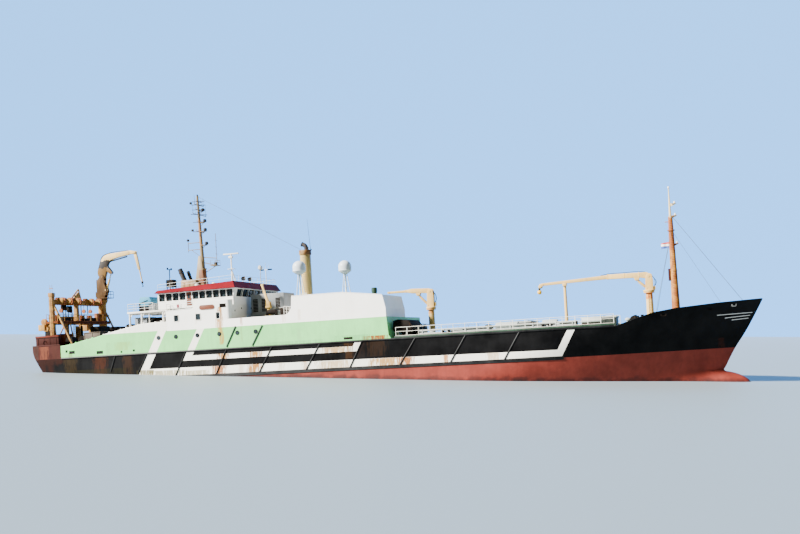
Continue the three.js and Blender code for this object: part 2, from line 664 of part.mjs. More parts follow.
const SCANNER = { x: -20.3, z: 18.4 };
piece(
  "radar_post",
  joined(
    rod(vec(SCANNER.x, 0, MONKEY_Z), vec(SCANNER.x, 0, 17.9), 0.13, 0.09, 8),
    rod(vec(SCANNER.x + 0.8, 0, MONKEY_Z + 0.03), vec(SCANNER.x, 0, 16.2), 0.05, 0.05, 6),
    block(SCANNER.x - 0.3, SCANNER.x + 1.0, -0.2, 0.2, MONKEY_Z, MONKEY_Z + 0.07),
    block(SCANNER.x - 0.35, SCANNER.x + 0.25, -0.18, 0.18, 17.8, 18.1),
  ),
  COLOUR.rail,
);
piece(
  "radar_scanner",
  joined(
    block(SCANNER.x - 1.2, SCANNER.x + 1.2, -0.11, 0.11, SCANNER.z - 0.08, SCANNER.z + 0.1),
    rod(vec(SCANNER.x, 0, 18.1 + SEAT), vec(SCANNER.x, 0, SCANNER.z), 0.1, 0.1, 8),
  ),
  COLOUR.rail,
);

// Funnel and the two satellite radomes on their tripods

const FUNNEL = { x: -9.45, y: 1.6 };
piece(
  "funnel",
  turned(
    [[0, 0], [0.68, 0], [0.68, 3], [0.76, 8.6], [0.86, 8.7], [0.86, 9.35], [0.42, 9.35], [0.4, 10.3], [0.28, 10.3],
      [0.28, 8.9], [0, 8.9]],
    FUNNEL.x,
    FUNNEL.y,
    HOUSE_DECK_Z + SEAT,
    16,
  ),
  COLOUR.funnel,
);
const DOME_PROFILE = [[0, -0.95], [0.35, -0.92], [0.7, -0.6], [0.86, -0.3], [0.88, 0], [0.82, 0.33], [0.62, 0.63],
  [0.34, 0.82], [0, 0.88]];
function radome(name, x, y, deck, z) {
  const feet = [0, 1, 2].map((leg) => {
    const way = (leg * 2 * Math.PI) / 3;
    const foot = vec(x + 0.6 * Math.cos(way), y + 0.6 * Math.sin(way), deck + 0.04);
    return rod(foot, vec(x, y, z - 0.85), 0.06, 0.06, 6);
  });
  const base = rod(vec(x, y, deck), vec(x, y, deck + 0.08), 0.7, 0.7, 12);
  piece(name, joined(turned(DOME_PROFILE, x, y, z, 14), feet, base), COLOUR.white);
}
radome("radome_aft", -7.05, -6.6, 11.2 + SEAT, 15.0);
radome("radome_fore", -1.55, -4, 11.2 + SEAT, 14.8);

// Cranes: each has a slewing column, a boom between its cheeks, and a lift cylinder under the boom

// One row per crane: x, y and seat place its slewing ring, pivot is the x and z of the boom's pin,
// and foot and eye are those of the lift cylinder's two ends.
const CRANES = {
  fore: { x: 37.3, y: 0, seat: 8.9, pivot: [37.35, 10.75], foot: [37.1, 9.3], eye: [35.9, 10.42] },
  mid: { x: 8.2, y: 3, seat: 8.75, pivot: [8.2, 11.05], foot: [7.9, 9.2], eye: [6.5, 10.66] },
  stern: { x: -46.2, y: 5.7, seat: 13.7, pivot: [-45.7, 17.3], foot: [-45.2, 15.2], eye: [-44.2, 17.85] },
};
const BOOM_HALF = 0.26;
const CHEEK = 0.12;
const LUFF_PIN = 0.13;

// The two side plates of a column, either side of its boom and cylinder.
function cheeks(crane, outline) {
  const plate = sideOutline(outline, crane.y + BOOM_HALF + CHEEK_GAP, crane.y + BOOM_HALF + CHEEK_GAP + CHEEK);
  const other = sideOutline(outline, crane.y - BOOM_HALF - CHEEK_GAP - CHEEK, crane.y - BOOM_HALF - CHEEK_GAP);
  return [plate, other];
}

// The radius of a hole whose flats stay clear of a pin that turns in it.
function boreFor(pinRadius, sides = 12) {
  return (pinRadius + PIN_GAP) / Math.cos(Math.PI / sides);
}

function pinHole(crane, [x, z], radius = LUFF_PIN) {
  return acrossRod(x, z, crane.y - 1, crane.y + 1, boreFor(radius), 12);
}

function luffPin(crane, [x, z]) {
  const reach = BOOM_HALF + CHEEK_GAP + CHEEK + 0.04;
  return acrossRod(x, z, crane.y - reach, crane.y + reach, LUFF_PIN, 12);
}

const CYLINDER = { half: 0.17, bore: 0.104, rod: 0.1, footPin: 0.09 };

// A lift cylinder between its foot pin and its eye, opened at the eye.
function liftCylinder(name, crane, barrelShare) {
  const foot = vec(crane.foot[0], crane.y, crane.foot[1]);
  const eye = vec(crane.eye[0], crane.y, crane.eye[1]);
  const way = eye.clone().sub(foot).normalize();
  const at = (distance) => foot.clone().addScaledVector(way, distance);
  const length = foot.distanceTo(eye);
  const mouth = length * barrelShare;
  const pinReach = BOOM_HALF + CHEEK_GAP + CHEEK;
  const barrel = cut(
    joined(
      rod(at(0), at(mouth), CYLINDER.half, CYLINDER.half, 12),
      acrossRod(foot.x, foot.z, crane.y - CYLINDER.half, crane.y + CYLINDER.half, CYLINDER.half, 12),
      acrossRod(foot.x, foot.z, crane.y - pinReach, crane.y + pinReach, CYLINDER.footPin, 12),
    ),
    rod(at(0.2), at(length), CYLINDER.bore, CYLINDER.bore, 12),
  );
  piece(`${name}_cylinder`, barrel, COLOUR.cream);
  const ram = joined(
    rod(at(0.22), at(length), CYLINDER.rod, CYLINDER.rod, 12),
    acrossRod(eye.x, eye.z, crane.y - 0.12, crane.y + 0.12, 0.15, 12),
  );
  piece(`${name}_ram`, ram, COLOUR.rail, 0.2, 0.9);
}

function footHole(crane) {
  const [x, z] = crane.foot;
  return acrossRod(x, z, crane.y - 0.5, crane.y + 0.5, boreFor(CYLINDER.footPin), 12);
}

// Two lugs under a boom, either side of the ram's eye.
function eyeLugs(crane, rise) {
  const [x, z] = crane.eye;
  return [-1, 1].map((side) => {
    const y0 = side > 0 ? crane.y + 0.18 : crane.y - 0.25;
    return sideOutline([[x - 0.2, z - 0.1], [x + 0.2, z - 0.1], [x + 0.36, z + rise], [x - 0.36, z + rise]], y0, y0 + 0.07);
  });
}

function pedestal(name, crane, foot, radius, color) {
  const shaft = rod(vec(crane.x, crane.y, foot), vec(crane.x, crane.y, crane.seat - 0.1), radius, radius * 0.9, 14);
  const flange = rod(vec(crane.x, crane.y, crane.seat - 0.22), vec(crane.x, crane.y, crane.seat - SEAT), radius * 1.45,
    radius * 1.45, 14);
  piece(name, joined(shaft, flange), color);
}

// Fore crane, laid on its boom rest
const fore = CRANES.fore;
pedestal("fore_crane_pedestal", fore, FORE_DECK_Z + SEAT, 0.45, COLOUR.cream);
piece(
  "fore_crane_column",
  cut(
    joined(
      rod(vec(fore.x, 0, fore.seat), vec(fore.x, 0, fore.seat + 0.16), 0.72, 0.72, 14),
      block(37.65, 37.85, -0.37, 0.37, fore.seat + 0.1, 10.3),
      cheeks(fore, [[36.85, 9.0], [37.85, 9.0], [37.85, 10.3], [37.75, 11.0], [37.5, 11.15], [37.15, 11.1], [36.95, 10.6]]),
    ),
    pinHole(fore, fore.pivot),
    footHole(fore),
  ),
  COLOUR.cream,
);
const FORE_BOOM = [
  [37.6, 10.6], [37.55, 11.0], [37.2, 11.3], [32.4, 11.35], [24.3, 10.88], [23.9, 10.85], [23.8, 10.55],
  [24.3, 10.5], [32.4, 10.75], [36.2, 10.68], [37.2, 10.48],
];
piece(
  "fore_crane_boom",
  joined(
    sideOutline(FORE_BOOM, -BOOM_HALF, BOOM_HALF),
    luffPin(fore, fore.pivot),
    eyeLugs(fore, 0.35),
    sideOutline([[24.1, 10.7], [23.7, 10.75], [23.45, 10.2], [23.5, 9.9], [23.75, 9.9], [23.8, 10.3], [24.2, 10.6]], -0.18, 0.18),
    turned([[0, -0.3], [0.2, -0.24], [0.3, 0], [0.2, 0.24], [0, 0.3]], 23.62, 0, 9.7, 10),
  ),
  COLOUR.cream,
);
liftCylinder("fore_crane", fore, 0.86);
piece(
  "boom_rest",
  joined(
    rod(vec(26.9, 0, DECK_Z + SEAT), vec(26.9, 0, 10.4), 0.2, 0.17, 10),
    block(26.65, 27.15, -0.4, 0.4, 10.3, 10.52),
    block(26.4, 27.4, -0.5, 0.5, DECK_Z + SEAT, DECK_Z + 0.1),
  ),
  COLOUR.cream,
);

// Mid crane, its boom laid aft beside the side house
const mid = CRANES.mid;
pedestal("mid_crane_pedestal", mid, DECK_Z + SEAT, 0.45, COLOUR.cream);
piece(
  "mid_crane_column",
  cut(
    joined(
      rod(vec(mid.x, mid.y, mid.seat), vec(mid.x, mid.y, mid.seat + 0.16), 0.7, 0.7, 14),
      block(8.5, 8.7, mid.y - 0.37, mid.y + 0.37, mid.seat + 0.1, 10.6),
      cheeks(mid, [[7.7, 8.85], [8.7, 8.85], [8.7, 10.6], [8.6, 11.3], [8.3, 11.45], [8.0, 11.4], [7.8, 10.9]]),
    ),
    pinHole(mid, mid.pivot),
    footHole(mid),
  ),
  COLOUR.cream,
);
piece(
  "mid_crane_boom",
  joined(
    sideOutline(
      [[8.45, 10.85], [8.45, 11.25], [8.1, 11.5], [5.6, 11.62], [5.0, 11.5], [2.1, 11.45], [2.1, 11.12], [4.9, 11.1],
        [5.6, 10.95], [7.2, 10.9], [8.0, 10.8]],
      mid.y - BOOM_HALF,
      mid.y + BOOM_HALF,
    ),
    luffPin(mid, mid.pivot),
    eyeLugs(mid, 0.4),
  ),
  COLOUR.cream,
);
liftCylinder("mid_crane", mid, 0.86);

// Small stores crane on the house deck, left pointing up
const STORES = { x: -12.5, y: -5, pivot: [-12.55, 10.7] };
piece(
  "stores_crane_post",
  cut(
    joined(
      rod(vec(STORES.x, STORES.y, HOUSE_DECK_Z + SEAT), vec(STORES.x, STORES.y, HOUSE_DECK_Z + 0.2), 0.5, 0.5, 12),
      rod(vec(STORES.x, STORES.y, HOUSE_DECK_Z + 0.1), vec(STORES.x, STORES.y, 10.2), 0.24, 0.2, 10),
      block(-12.85, -12.2, STORES.y - 0.35, STORES.y + 0.35, 10.0, 10.25),
      sideOutline([[-12.85, 10.1], [-12.2, 10.1], [-12.25, 10.85], [-12.75, 10.95]], STORES.y + 0.156, STORES.y + 0.25),
      sideOutline([[-12.85, 10.1], [-12.2, 10.1], [-12.25, 10.85], [-12.75, 10.95]], STORES.y - 0.25, STORES.y - 0.156),
    ),
    acrossRod(STORES.pivot[0], STORES.pivot[1], STORES.y - 1, STORES.y + 1, boreFor(0.08), 12),
  ),
  COLOUR.cream,
);
piece(
  "stores_crane_boom",
  joined(
    bar(vec(-12.52, STORES.y, 10.6), vec(-13.35, STORES.y, 13.3), 0.3, 0.3),
    acrossRod(STORES.pivot[0], STORES.pivot[1], STORES.y - 0.27, STORES.y + 0.27, 0.08, 12),
  ),
  COLOUR.cream,
);

// Stern gantry over the ramp, with the stern crane on its port post

const GANTRY_X = -46.5;
const sheaves = [-4.6, -3.2, 1.9, 3.4].map((y) =>
  alongRod(GANTRY_X - 0.2, GANTRY_X + 0.2, y, 13.4, 0.5, 12));
const braces = [-6, 5.9].flatMap((y) => [
  bar(vec(-46.2, y, 12.7), vec(-42.4, y, DECK_Z + 0.12), 0.22, 0.26),
  block(-42.8, -42.0, y - 0.25, y + 0.25, DECK_Z + SEAT, DECK_Z + 0.15),
]);
const innerLegs = [-2.85, 2.85].map((y) =>
  block(GANTRY_X - 0.25, GANTRY_X + 0.25, y - 0.25, y + 0.25, QUARTER_TOP_Z + SEAT, 9.9));
const sheaveArms = [-4.9, 4.9].flatMap((y) => [
  block(-49.0, GANTRY_X, y - 0.2, y + 0.2, 9.85, 10.2),
  acrossRod(-48.8, 10.3, y - 0.14, y + 0.14, 0.5, 12),
]);
const GANTRY_RAIL = { xs: [-47.42, -45.48], ys: [-6.2, -3.1, 0, 3.1, 6.3], middle: 10.8, top: 11.3, radius: 0.04 };
const gantryRails = GANTRY_RAIL.xs.flatMap((x) => {
  const { ys, middle, top, radius } = GANTRY_RAIL;
  const posts = ys.map((y) => rod(vec(x, y, 10.2), vec(x, y, top), radius, radius, 4));
  const bars = [middle, top].map((z) => acrossRod(x, z, ys[0], ys.at(-1), radius, 4));
  return [...posts, ...bars];
});
piece(
  "gantry",
  joined(
    block(GANTRY_X - 0.3, GANTRY_X + 0.3, -6.3, -5.7, QUARTER_TOP_Z + SEAT, 13.9),
    rod(vec(-46.2, 5.7, QUARTER_TOP_Z + SEAT), vec(-46.2, 5.7, 12.9), 0.62, 0.62, 12),
    rod(vec(-46.2, 5.7, 12.9), vec(-46.2, 5.7, 13.7 - SEAT), 0.62, 0.95, 12),
    block(GANTRY_X - 0.32, GANTRY_X + 0.32, -6.1, 5.7, 12.75, 13.4),
    block(-47.5, -45.4, -6.3, 6.4, 9.85, 10.25),
    block(GANTRY_X - 0.28, GANTRY_X + 0.28, -0.7, -0.1, 10.2, 12.8),
    sheaves,
    braces,
    innerLegs,
    sheaveArms,
    gantryRails,
    block(GANTRY_X - 0.36, GANTRY_X + 0.36, -6.36, -5.64, 13.85, 14.45),
    crossOutline([[-1.6, 13.3], [0.9, 13.3], [0.45, 14.75], [0.15, 14.75]], GANTRY_X - 0.12, GANTRY_X + 0.12),
  ),
  COLOUR.gantry,
  0.8,
);

const stern = CRANES.stern;
// Driver's stand with its rail, on the slewing part
const BASKET = { aft: -45.4, fore: -44.5, half: 0.8, floor: 13.95, top: 15.0 };
const basketCorners = [[BASKET.fore, -1], [BASKET.fore, 1], [BASKET.aft, -1], [BASKET.aft, 1]];
const basket = [
  block(BASKET.aft - 0.4, BASKET.fore, stern.y - BASKET.half, stern.y + BASKET.half, BASKET.floor - 0.08, BASKET.floor + 0.02),
  basketCorners.map(([x, side]) => {
    const y = stern.y + side * (BASKET.half - 0.05);
    return rod(vec(x - 0.05, y, BASKET.floor - 0.03), vec(x - 0.05, y, BASKET.top), 0.04, 0.04, 4);
  }),
  [14.5, BASKET.top - 0.04].map((z) => acrossRod(BASKET.fore - 0.05, z, stern.y - 0.75, stern.y + 0.75, 0.04, 4)),
  [-0.75, 0.75].map((y) =>
    bar(vec(BASKET.aft - 0.05, stern.y + y, BASKET.top - 0.04), vec(BASKET.fore - 0.05, stern.y + y, BASKET.top - 0.04), 0.07, 0.07)),
].flat(2);
piece(
  "stern_crane_column",
  cut(
    joined(
      rod(vec(stern.x, stern.y, stern.seat), vec(stern.x, stern.y, 14.0), 0.9, 0.9, 14),
      block(-46.8, -46.55, stern.y - 0.37, stern.y + 0.37, 13.95, 16.9),
      basket,
      cheeks(stern, [[-46.8, 13.95], [-45.5, 13.95], [-45.0, 14.9], [-45.0, 15.4], [-45.45, 16.4], [-45.35, 17.3],
        [-45.6, 17.65], [-46.0, 17.6], [-46.55, 16.9], [-46.8, 16.9]]),
    ),
    pinHole(stern, stern.pivot),
    footHole(stern),
  ),
  COLOUR.gantry,
);
const JIB_PIVOT = [-39.75, 20.7];
// The arm's lugs reach forward from it to the ram's eye.
const sternLugs = [-1, 1].map((side) => {
  const y0 = side > 0 ? stern.y + 0.18 : stern.y - 0.25;
  return sideOutline([[-44.4, 17.7], [-44.05, 17.65], [-43.95, 17.95], [-44.75, 18.95], [-45.05, 18.3]], y0, y0 + 0.07);
});
const JIB_HALF = 0.16;
piece(
  "stern_crane_boom",
  cut(
    joined(
      sideOutline(
        [[-45.9, 17.05], [-46.4, 17.35], [-46.62, 18.0], [-46.35, 18.9], [-45.95, 19.8], [-45.35, 20.6],
          [-44.5, 20.85], [-40.2, 21.1], [-40.2, 20.55], [-43.0, 20.15], [-44.2, 19.85], [-44.65, 19.3],
          [-45.0, 18.0], [-45.35, 17.0]],
        stern.y - BOOM_HALF,
        stern.y + BOOM_HALF,
      ),
      luffPin(stern, stern.pivot),
      sternLugs,
      sideOutline([[-40.5, 20.5], [-40.5, 21.1], [-39.55, 20.9], [-39.5, 20.55]], stern.y + JIB_HALF + CHEEK_GAP,
        stern.y + JIB_HALF + CHEEK_GAP + 0.1),
      sideOutline([[-40.5, 20.5], [-40.5, 21.1], [-39.55, 20.9], [-39.5, 20.55]], stern.y - JIB_HALF - CHEEK_GAP - 0.1,
        stern.y - JIB_HALF - CHEEK_GAP),
    ),
    pinHole(stern, JIB_PIVOT, 0.1),
  ),
  COLOUR.cream,
);
piece(
  "stern_crane_jib",
  joined(
    sideOutline([[-39.95, 20.75], [-39.75, 20.9], [-39.5, 20.75], [-38.95, 18.0], [-39.3, 17.95], [-39.9, 20.4]],
      stern.y - JIB_HALF, stern.y + JIB_HALF),
    bar(vec(-39.15, stern.y, 18.2), vec(-38.72, stern.y, 16.0), 0.2, 0.22),
    acrossRod(JIB_PIVOT[0], JIB_PIVOT[1], stern.y - 0.3, stern.y + 0.3, 0.1, 12),
    rod(vec(-38.72, stern.y, 16.1), vec(-38.7, stern.y, 15.3), 0.1, 0.07, 8),
  ),
  COLOUR.cream,
);
liftCylinder("stern_crane", stern, 0.62);

// Otter boards stowed on the quarters
const BOARD = { aft: -48.8, fore: -44.9, outer: -7.0, inner: -6.42, foot: QUARTER_TOP_Z + SEAT, top: 8.2 };
const board = joined(
  block(BOARD.aft, BOARD.fore, BOARD.outer, BOARD.inner, BOARD.foot, BOARD.top - 0.3),
  block(BOARD.aft - 0.06, BOARD.fore + 0.06, BOARD.outer - 0.04, BOARD.inner, BOARD.top - 0.34, BOARD.top - 0.22),
  block(BOARD.aft + 0.05, BOARD.fore - 0.05, BOARD.outer + 0.05, BOARD.inner, BOARD.top - 0.3, BOARD.top),
  block(-46.45, -46.35, BOARD.outer - 0.04, BOARD.inner, BOARD.foot, BOARD.top - 0.22),
);
piece("trawl_door_stbd", board, COLOUR.stern);
piece("trawl_door_port", mirrored(board), COLOUR.stern);

// Net drum and trawl winches on the working deck
const DRUM = { x: -39.8, z: 7.1, radius: 1.25, half: 2.6 };
piece(
  "net_drum_stand",
  cut(
    joined(
      [-1, 1].map((side) => {
        const y0 = side > 0 ? DRUM.half + 0.1 : -DRUM.half - 0.4;
        return sideOutline([[-41, DECK_Z + SEAT], [-38.6, DECK_Z + SEAT], [-39.4, 7.5], [-40.2, 7.5]], y0, y0 + 0.3);
      }),
      block(-41, -40.6, -DRUM.half - 0.2, DRUM.half + 0.2, DECK_Z + SEAT, DECK_Z + 0.3),
    ),
    acrossRod(DRUM.x, DRUM.z, -4, 4, boreFor(0.2, 16), 16),
  ),
  COLOUR.dark,
);
piece(
  "net_drum",
  joined(
    acrossRod(DRUM.x, DRUM.z, -DRUM.half - 0.35, DRUM.half + 0.35, 0.2, 16),
    acrossRod(DRUM.x, DRUM.z, -DRUM.half, DRUM.half, 0.8, 16),
    acrossRod(DRUM.x, DRUM.z, -DRUM.half, -DRUM.half + 0.08, DRUM.radius, 20),
    acrossRod(DRUM.x, DRUM.z, DRUM.half - 0.08, DRUM.half, DRUM.radius, 20),
  ),
  COLOUR.dark,
);
const WINCH = { x: -35.6, z: 6.2, y: 5.1, half: 1.0 };
const winchFrame = [-1, 1].flatMap((side) => {
  const centre = side * WINCH.y;
  const plates = [-1, 1].map((end) => {
    const y0 = end > 0 ? centre + WINCH.half + 0.1 : centre - WINCH.half - 0.3;
    return sideOutline([[-36.8, DECK_Z + SEAT], [-34.4, DECK_Z + SEAT], [-35.2, 6.6], [-36.0, 6.6]], y0, y0 + 0.2);
  });
  return plates;
});
piece(
  "trawl_winch_frame",
  cut(
    joined(winchFrame, block(-36.8, -36.4, -6.3, 6.3, DECK_Z + SEAT, DECK_Z + 0.28)),
    acrossRod(WINCH.x, WINCH.z, -8, 8, boreFor(0.15, 16), 16),
  ),
  COLOUR.dark,
);
[["stbd", -1], ["port", 1]].forEach(([name, side]) => {
  const y = side * WINCH.y;
  const reach = WINCH.half + 0.25;
  piece(
    `trawl_winch_drum_${name}`,
    joined(
      acrossRod(WINCH.x, WINCH.z, y - reach, y + reach, 0.15, 16),
      acrossRod(WINCH.x, WINCH.z, y - WINCH.half, y + WINCH.half, 0.6, 16),
      acrossRod(WINCH.x, WINCH.z, y - WINCH.half, y - WINCH.half + 0.08, 1.0, 20),
      acrossRod(WINCH.x, WINCH.z, y + WINCH.half - 0.08, y + WINCH.half, 1.0, 20),
    ),
    COLOUR.dark,
  );
});

// Foredeck: hatches, rails, windlass and foremast

// Aft and fore edge of each hatch, and its half width
const HATCHES = [
  { name: "aft", x0: 18.5, x1: 22.7, half: 3.2, hinge: 18.5 },
  { name: "fore", x0: 29.0, x1: 33.2, half: 2.8, hinge: 33.2 },
];
const COAMING_Z = 5.85;
HATCHES.forEach((row) => {
  piece(
    `hatch_coaming_${row.name}`,
    cut(
      block(row.x0, row.x1, -row.half, row.half, DECK_Z + SEAT, COAMING_Z),
      block(row.x0 + 0.2, row.x1 - 0.2, -row.half + 0.2, row.half - 0.2, DECK_Z + 0.2, COAMING_Z + 1),
    ),
    COLOUR.hatch,
  );
  piece(
    `hatch_cover_${row.name}`,
    block(row.x0 - 0.08, row.x1 + 0.08, -row.half - 0.08, row.half + 0.08, COAMING_Z + SEAT, COAMING_Z + 0.3),
    COLOUR.hatch,
  );
});

const RAIL = { from: 6.2, to: 33.2, posts: 10, inset: 0.2, heights: [5.15, 5.68, 6.2] };
const deckRow = waterlineAt(DECK_Z);
const railStops = [];
for (let i = 0; i < RAIL.posts; i++) {
  const x = RAIL.from + ((RAIL.to - RAIL.from) * i) / (RAIL.posts - 1);
  railStops.push(vec(x, -halfBreadth(x, deckRow) + RAIL.inset, 0));
}
const railPosts = railStops.map((p) => rod(vec(p.x, p.y, DECK_Z + SEAT), vec(p.x, p.y, 6.27), 0.05, 0.05, 4));
const railBars = railStops.slice(1).flatMap((p, i) =>
  RAIL.heights.map((z) => {
    const before = railStops[i];
    return rod(vec(before.x, before.y, z), vec(p.x, p.y, z), 0.035, 0.035, 4);
  }),
);
const rails = joined(railPosts, railBars);
piece("foredeck_rail_stbd", rails, COLOUR.rail);
piece("foredeck_rail_port", mirrored(rails), COLOUR.rail);

piece(
  "windlass",
  joined(
    block(42.0, 43.6, -1.8, 1.8, FORE_DECK_Z + SEAT, 5.45),
    acrossRod(42.8, 5.95, -2.2, 2.2, 0.2, 10),
    acrossRod(42.8, 5.95, -2.1, -1.5, 0.45, 12),
    acrossRod(42.8, 5.95, 1.5, 2.1, 0.45, 12),
    block(42.3, 43.3, -0.5, 0.5, 5.4, 6.4),
    block(42.6, 43.0, -1.3, -1.1, 5.4, 6.05),
    block(42.6, 43.0, 1.1, 1.3, 5.4, 6.05),
  ),
  COLOUR.green,
);

const FOREMAST_X = 40.4;
const lampBrackets = [14.5, 18, 19.5].map((z) => block(FOREMAST_X, FOREMAST_X + 0.8, -0.06, 0.06, z, z + 0.1));
piece(
  "foremast",
  joined(
    rod(vec(FOREMAST_X, 0, FORE_DECK_Z + SEAT), vec(FOREMAST_X, 0, 18), 0.52, 0.27, 12),
    rod(vec(FOREMAST_X, 0, 17.9), vec(FOREMAST_X, 0, 21.7), 0.18, 0.06, 8),
    lampBrackets,
    block(FOREMAST_X - 0.7, FOREMAST_X, -0.06, 0.06, 17.3, 17.4),
    block(FOREMAST_X - 0.62, FOREMAST_X - 0.3, -0.25, 0.25, 10.0, 11.5),
    rod(vec(FOREMAST_X + 0.1, 0, 18.0), vec(48.2, 0, 7.0), 0.035, 0.035, 6),
  ),
  COLOUR.mastRust,
);

export default ship;
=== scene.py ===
# Looks of the stern trawler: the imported 1:10 model dressed in steel, paint, rust and glass.
# Pieces are modelled in metres of the real ship, x forward from amidships, y to port and z up
# from the load waterline, and ship_to_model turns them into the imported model's own frame.
import bisect
import math

import bmesh
import bpy
from mathutils import Matrix, Vector


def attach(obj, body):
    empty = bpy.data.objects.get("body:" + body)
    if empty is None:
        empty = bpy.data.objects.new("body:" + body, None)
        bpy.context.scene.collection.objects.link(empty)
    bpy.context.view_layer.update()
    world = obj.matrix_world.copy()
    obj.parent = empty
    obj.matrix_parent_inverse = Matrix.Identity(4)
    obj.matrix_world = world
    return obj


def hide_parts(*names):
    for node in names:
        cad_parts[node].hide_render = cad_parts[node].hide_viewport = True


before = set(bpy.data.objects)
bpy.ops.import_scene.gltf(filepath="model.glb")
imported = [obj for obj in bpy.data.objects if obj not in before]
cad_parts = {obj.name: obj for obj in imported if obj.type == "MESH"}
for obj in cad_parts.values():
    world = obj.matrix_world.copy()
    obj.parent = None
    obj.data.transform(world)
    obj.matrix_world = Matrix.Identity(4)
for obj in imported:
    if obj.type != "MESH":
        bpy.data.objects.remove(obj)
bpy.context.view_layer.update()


# Camera, light and floor
# A long lens, low beside the ship, looks at its starboard side. The floor lies at the load line,
# and one soft sun from aft on the starboard side leaves the faces that look forward in shade.
PHOTO_WIDTH = 800
FOCAL_PIXELS = 900
HORIZON_BELOW_MIDDLE = 58
CAMERA_PLACE = (3.9308, -11.7129, 0.69)
CAMERA_AZIMUTH = math.radians(16.75)
SUN_FROM = Vector((-1.4, -1.0, 1.05))

lens = bpy.data.cameras.new("long_lens")
lens.sensor_width = 36
lens.lens = 36 * FOCAL_PIXELS / PHOTO_WIDTH
lens.shift_y = HORIZON_BELOW_MIDDLE / PHOTO_WIDTH
lens.clip_end = 500
camera = bpy.data.objects.new("camera", lens)
camera.location = CAMERA_PLACE
camera.rotation_euler = (math.radians(90), 0, CAMERA_AZIMUTH)
bpy.context.collection.objects.link(camera)
bpy.context.scene.camera = camera

sun_light = bpy.data.lights.new("soft_sun", "SUN")
sun_light.energy = 23.0
sun_light.angle = math.radians(6)
sun_light.color = (1.0, 0.965, 0.91)
sun = bpy.data.objects.new("soft_sun", sun_light)
sun.rotation_euler = (-SUN_FROM).to_track_quat("-Z", "Y").to_euler()
bpy.context.collection.objects.link(sun)

sky = bpy.data.worlds.new("pale_room")
sky.use_nodes = True
sky.node_tree.nodes["Background"].inputs["Color"].default_value = (0.84, 0.9, 1.0, 1)
sky.node_tree.nodes["Background"].inputs["Strength"].default_value = 0.23
bpy.context.scene.world = sky


def hex_colour(code):
    """An sRGB hex colour as the linear RGBA that a shader socket takes."""
    parts = [int(code[i:i + 2], 16) / 255 for i in (0, 2, 4)]
    return [p / 12.92 if p <= 0.04045 else ((p + 0.055) / 1.055) ** 2.4 for p in parts] + [1]


def feed(tree, node, inputs):
    """Sets a node's inputs, in their order or by name, to values or to other nodes' outputs."""
    row = [socket for socket in node.inputs if socket.enabled]
    for key, value in inputs.items() if isinstance(inputs, dict) else enumerate(inputs):
        socket = node.inputs[key] if isinstance(key, str) else row[key]
        if isinstance(value, bpy.types.NodeSocket):
            tree.links.new(value, socket)
        else:
            socket.default_value = value


def put(tree, kind, inputs=(), out=0, **settings):
    """Adds a node with its settings and inputs, and gives its first output or the one named."""
    node = tree.nodes.new("ShaderNode" + kind)
    for key, value in settings.items():
        setattr(node, key, value)
    feed(tree, node, inputs)
    return node.outputs[out] if out else [socket for socket in node.outputs if socket.enabled][0]


def new_finish(name):
    """A material with only its Principled shader; gives the material, its tree and that shader."""
    finish = bpy.data.materials.new(name)
    finish.use_nodes = True
    tree = finish.node_tree
    return finish, tree, tree.nodes["Principled BSDF"]


# Sealed studio concrete: matt, with a faint cloudiness
studio_floor, tree, shader = new_finish("sealed_studio_floor")
cloud = put(tree, "TexNoise", {"Scale": 0.4, "Detail": 3.0})
tint = put(tree, "Mix", [cloud, hex_colour("76838b"), hex_colour("838f96")], data_type="RGBA")
feed(tree, shader, {"Base Color": tint, "Roughness": 0.55})

# Painted canvas of the backdrop: matt, paler in broad clouds
studio_canvas, tree, shader = new_finish("painted_backdrop_canvas")
cloud = put(tree, "TexNoise", {"Scale": 0.05, "Detail": 2.0})
tint = put(tree, "Mix", [cloud, hex_colour("4f93e0"), hex_colour("6ba5e4")], data_type="RGBA")
feed(tree, shader, {"Base Color": tint, "Roughness": 1.0, "Specular IOR Level": 0.0})

FLOOR_HALF = 60
for name, finish, turn in (("floor", studio_floor, Matrix.Identity(4)),
                           ("backdrop", studio_canvas, Matrix.Translation((0, 45, 0))
                            @ Matrix.Rotation(math.pi / 2, 4, "X"))):
    bm = bmesh.new()
    bmesh.ops.create_grid(bm, x_segments=4, y_segments=4, size=FLOOR_HALF, matrix=turn)
    stage_mesh = bpy.data.meshes.new(name)
    bm.to_mesh(stage_mesh)
    bm.free()
    stage_mesh.materials.append(finish)
    stage_piece = bpy.data.objects.new(name, stage_mesh)
    bpy.context.collection.objects.link(stage_piece)


# Hull under the paint line
# Welded steel plating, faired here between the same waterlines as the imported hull, with the bulb
# drawn out of the stem. It wears red antifouling, dark and weedy where the water has stood.
TRIM = math.radians(3.5)
SCALE = 0.1
ship_to_model = Matrix.Rotation(-TRIM, 4, "Y") @ Matrix.Scale(SCALE, 4)
# a piece stands this far off the one that carries it
CLEAR = 0.003
HALF_BEAM = 8
PAINT_LINE = 1.32
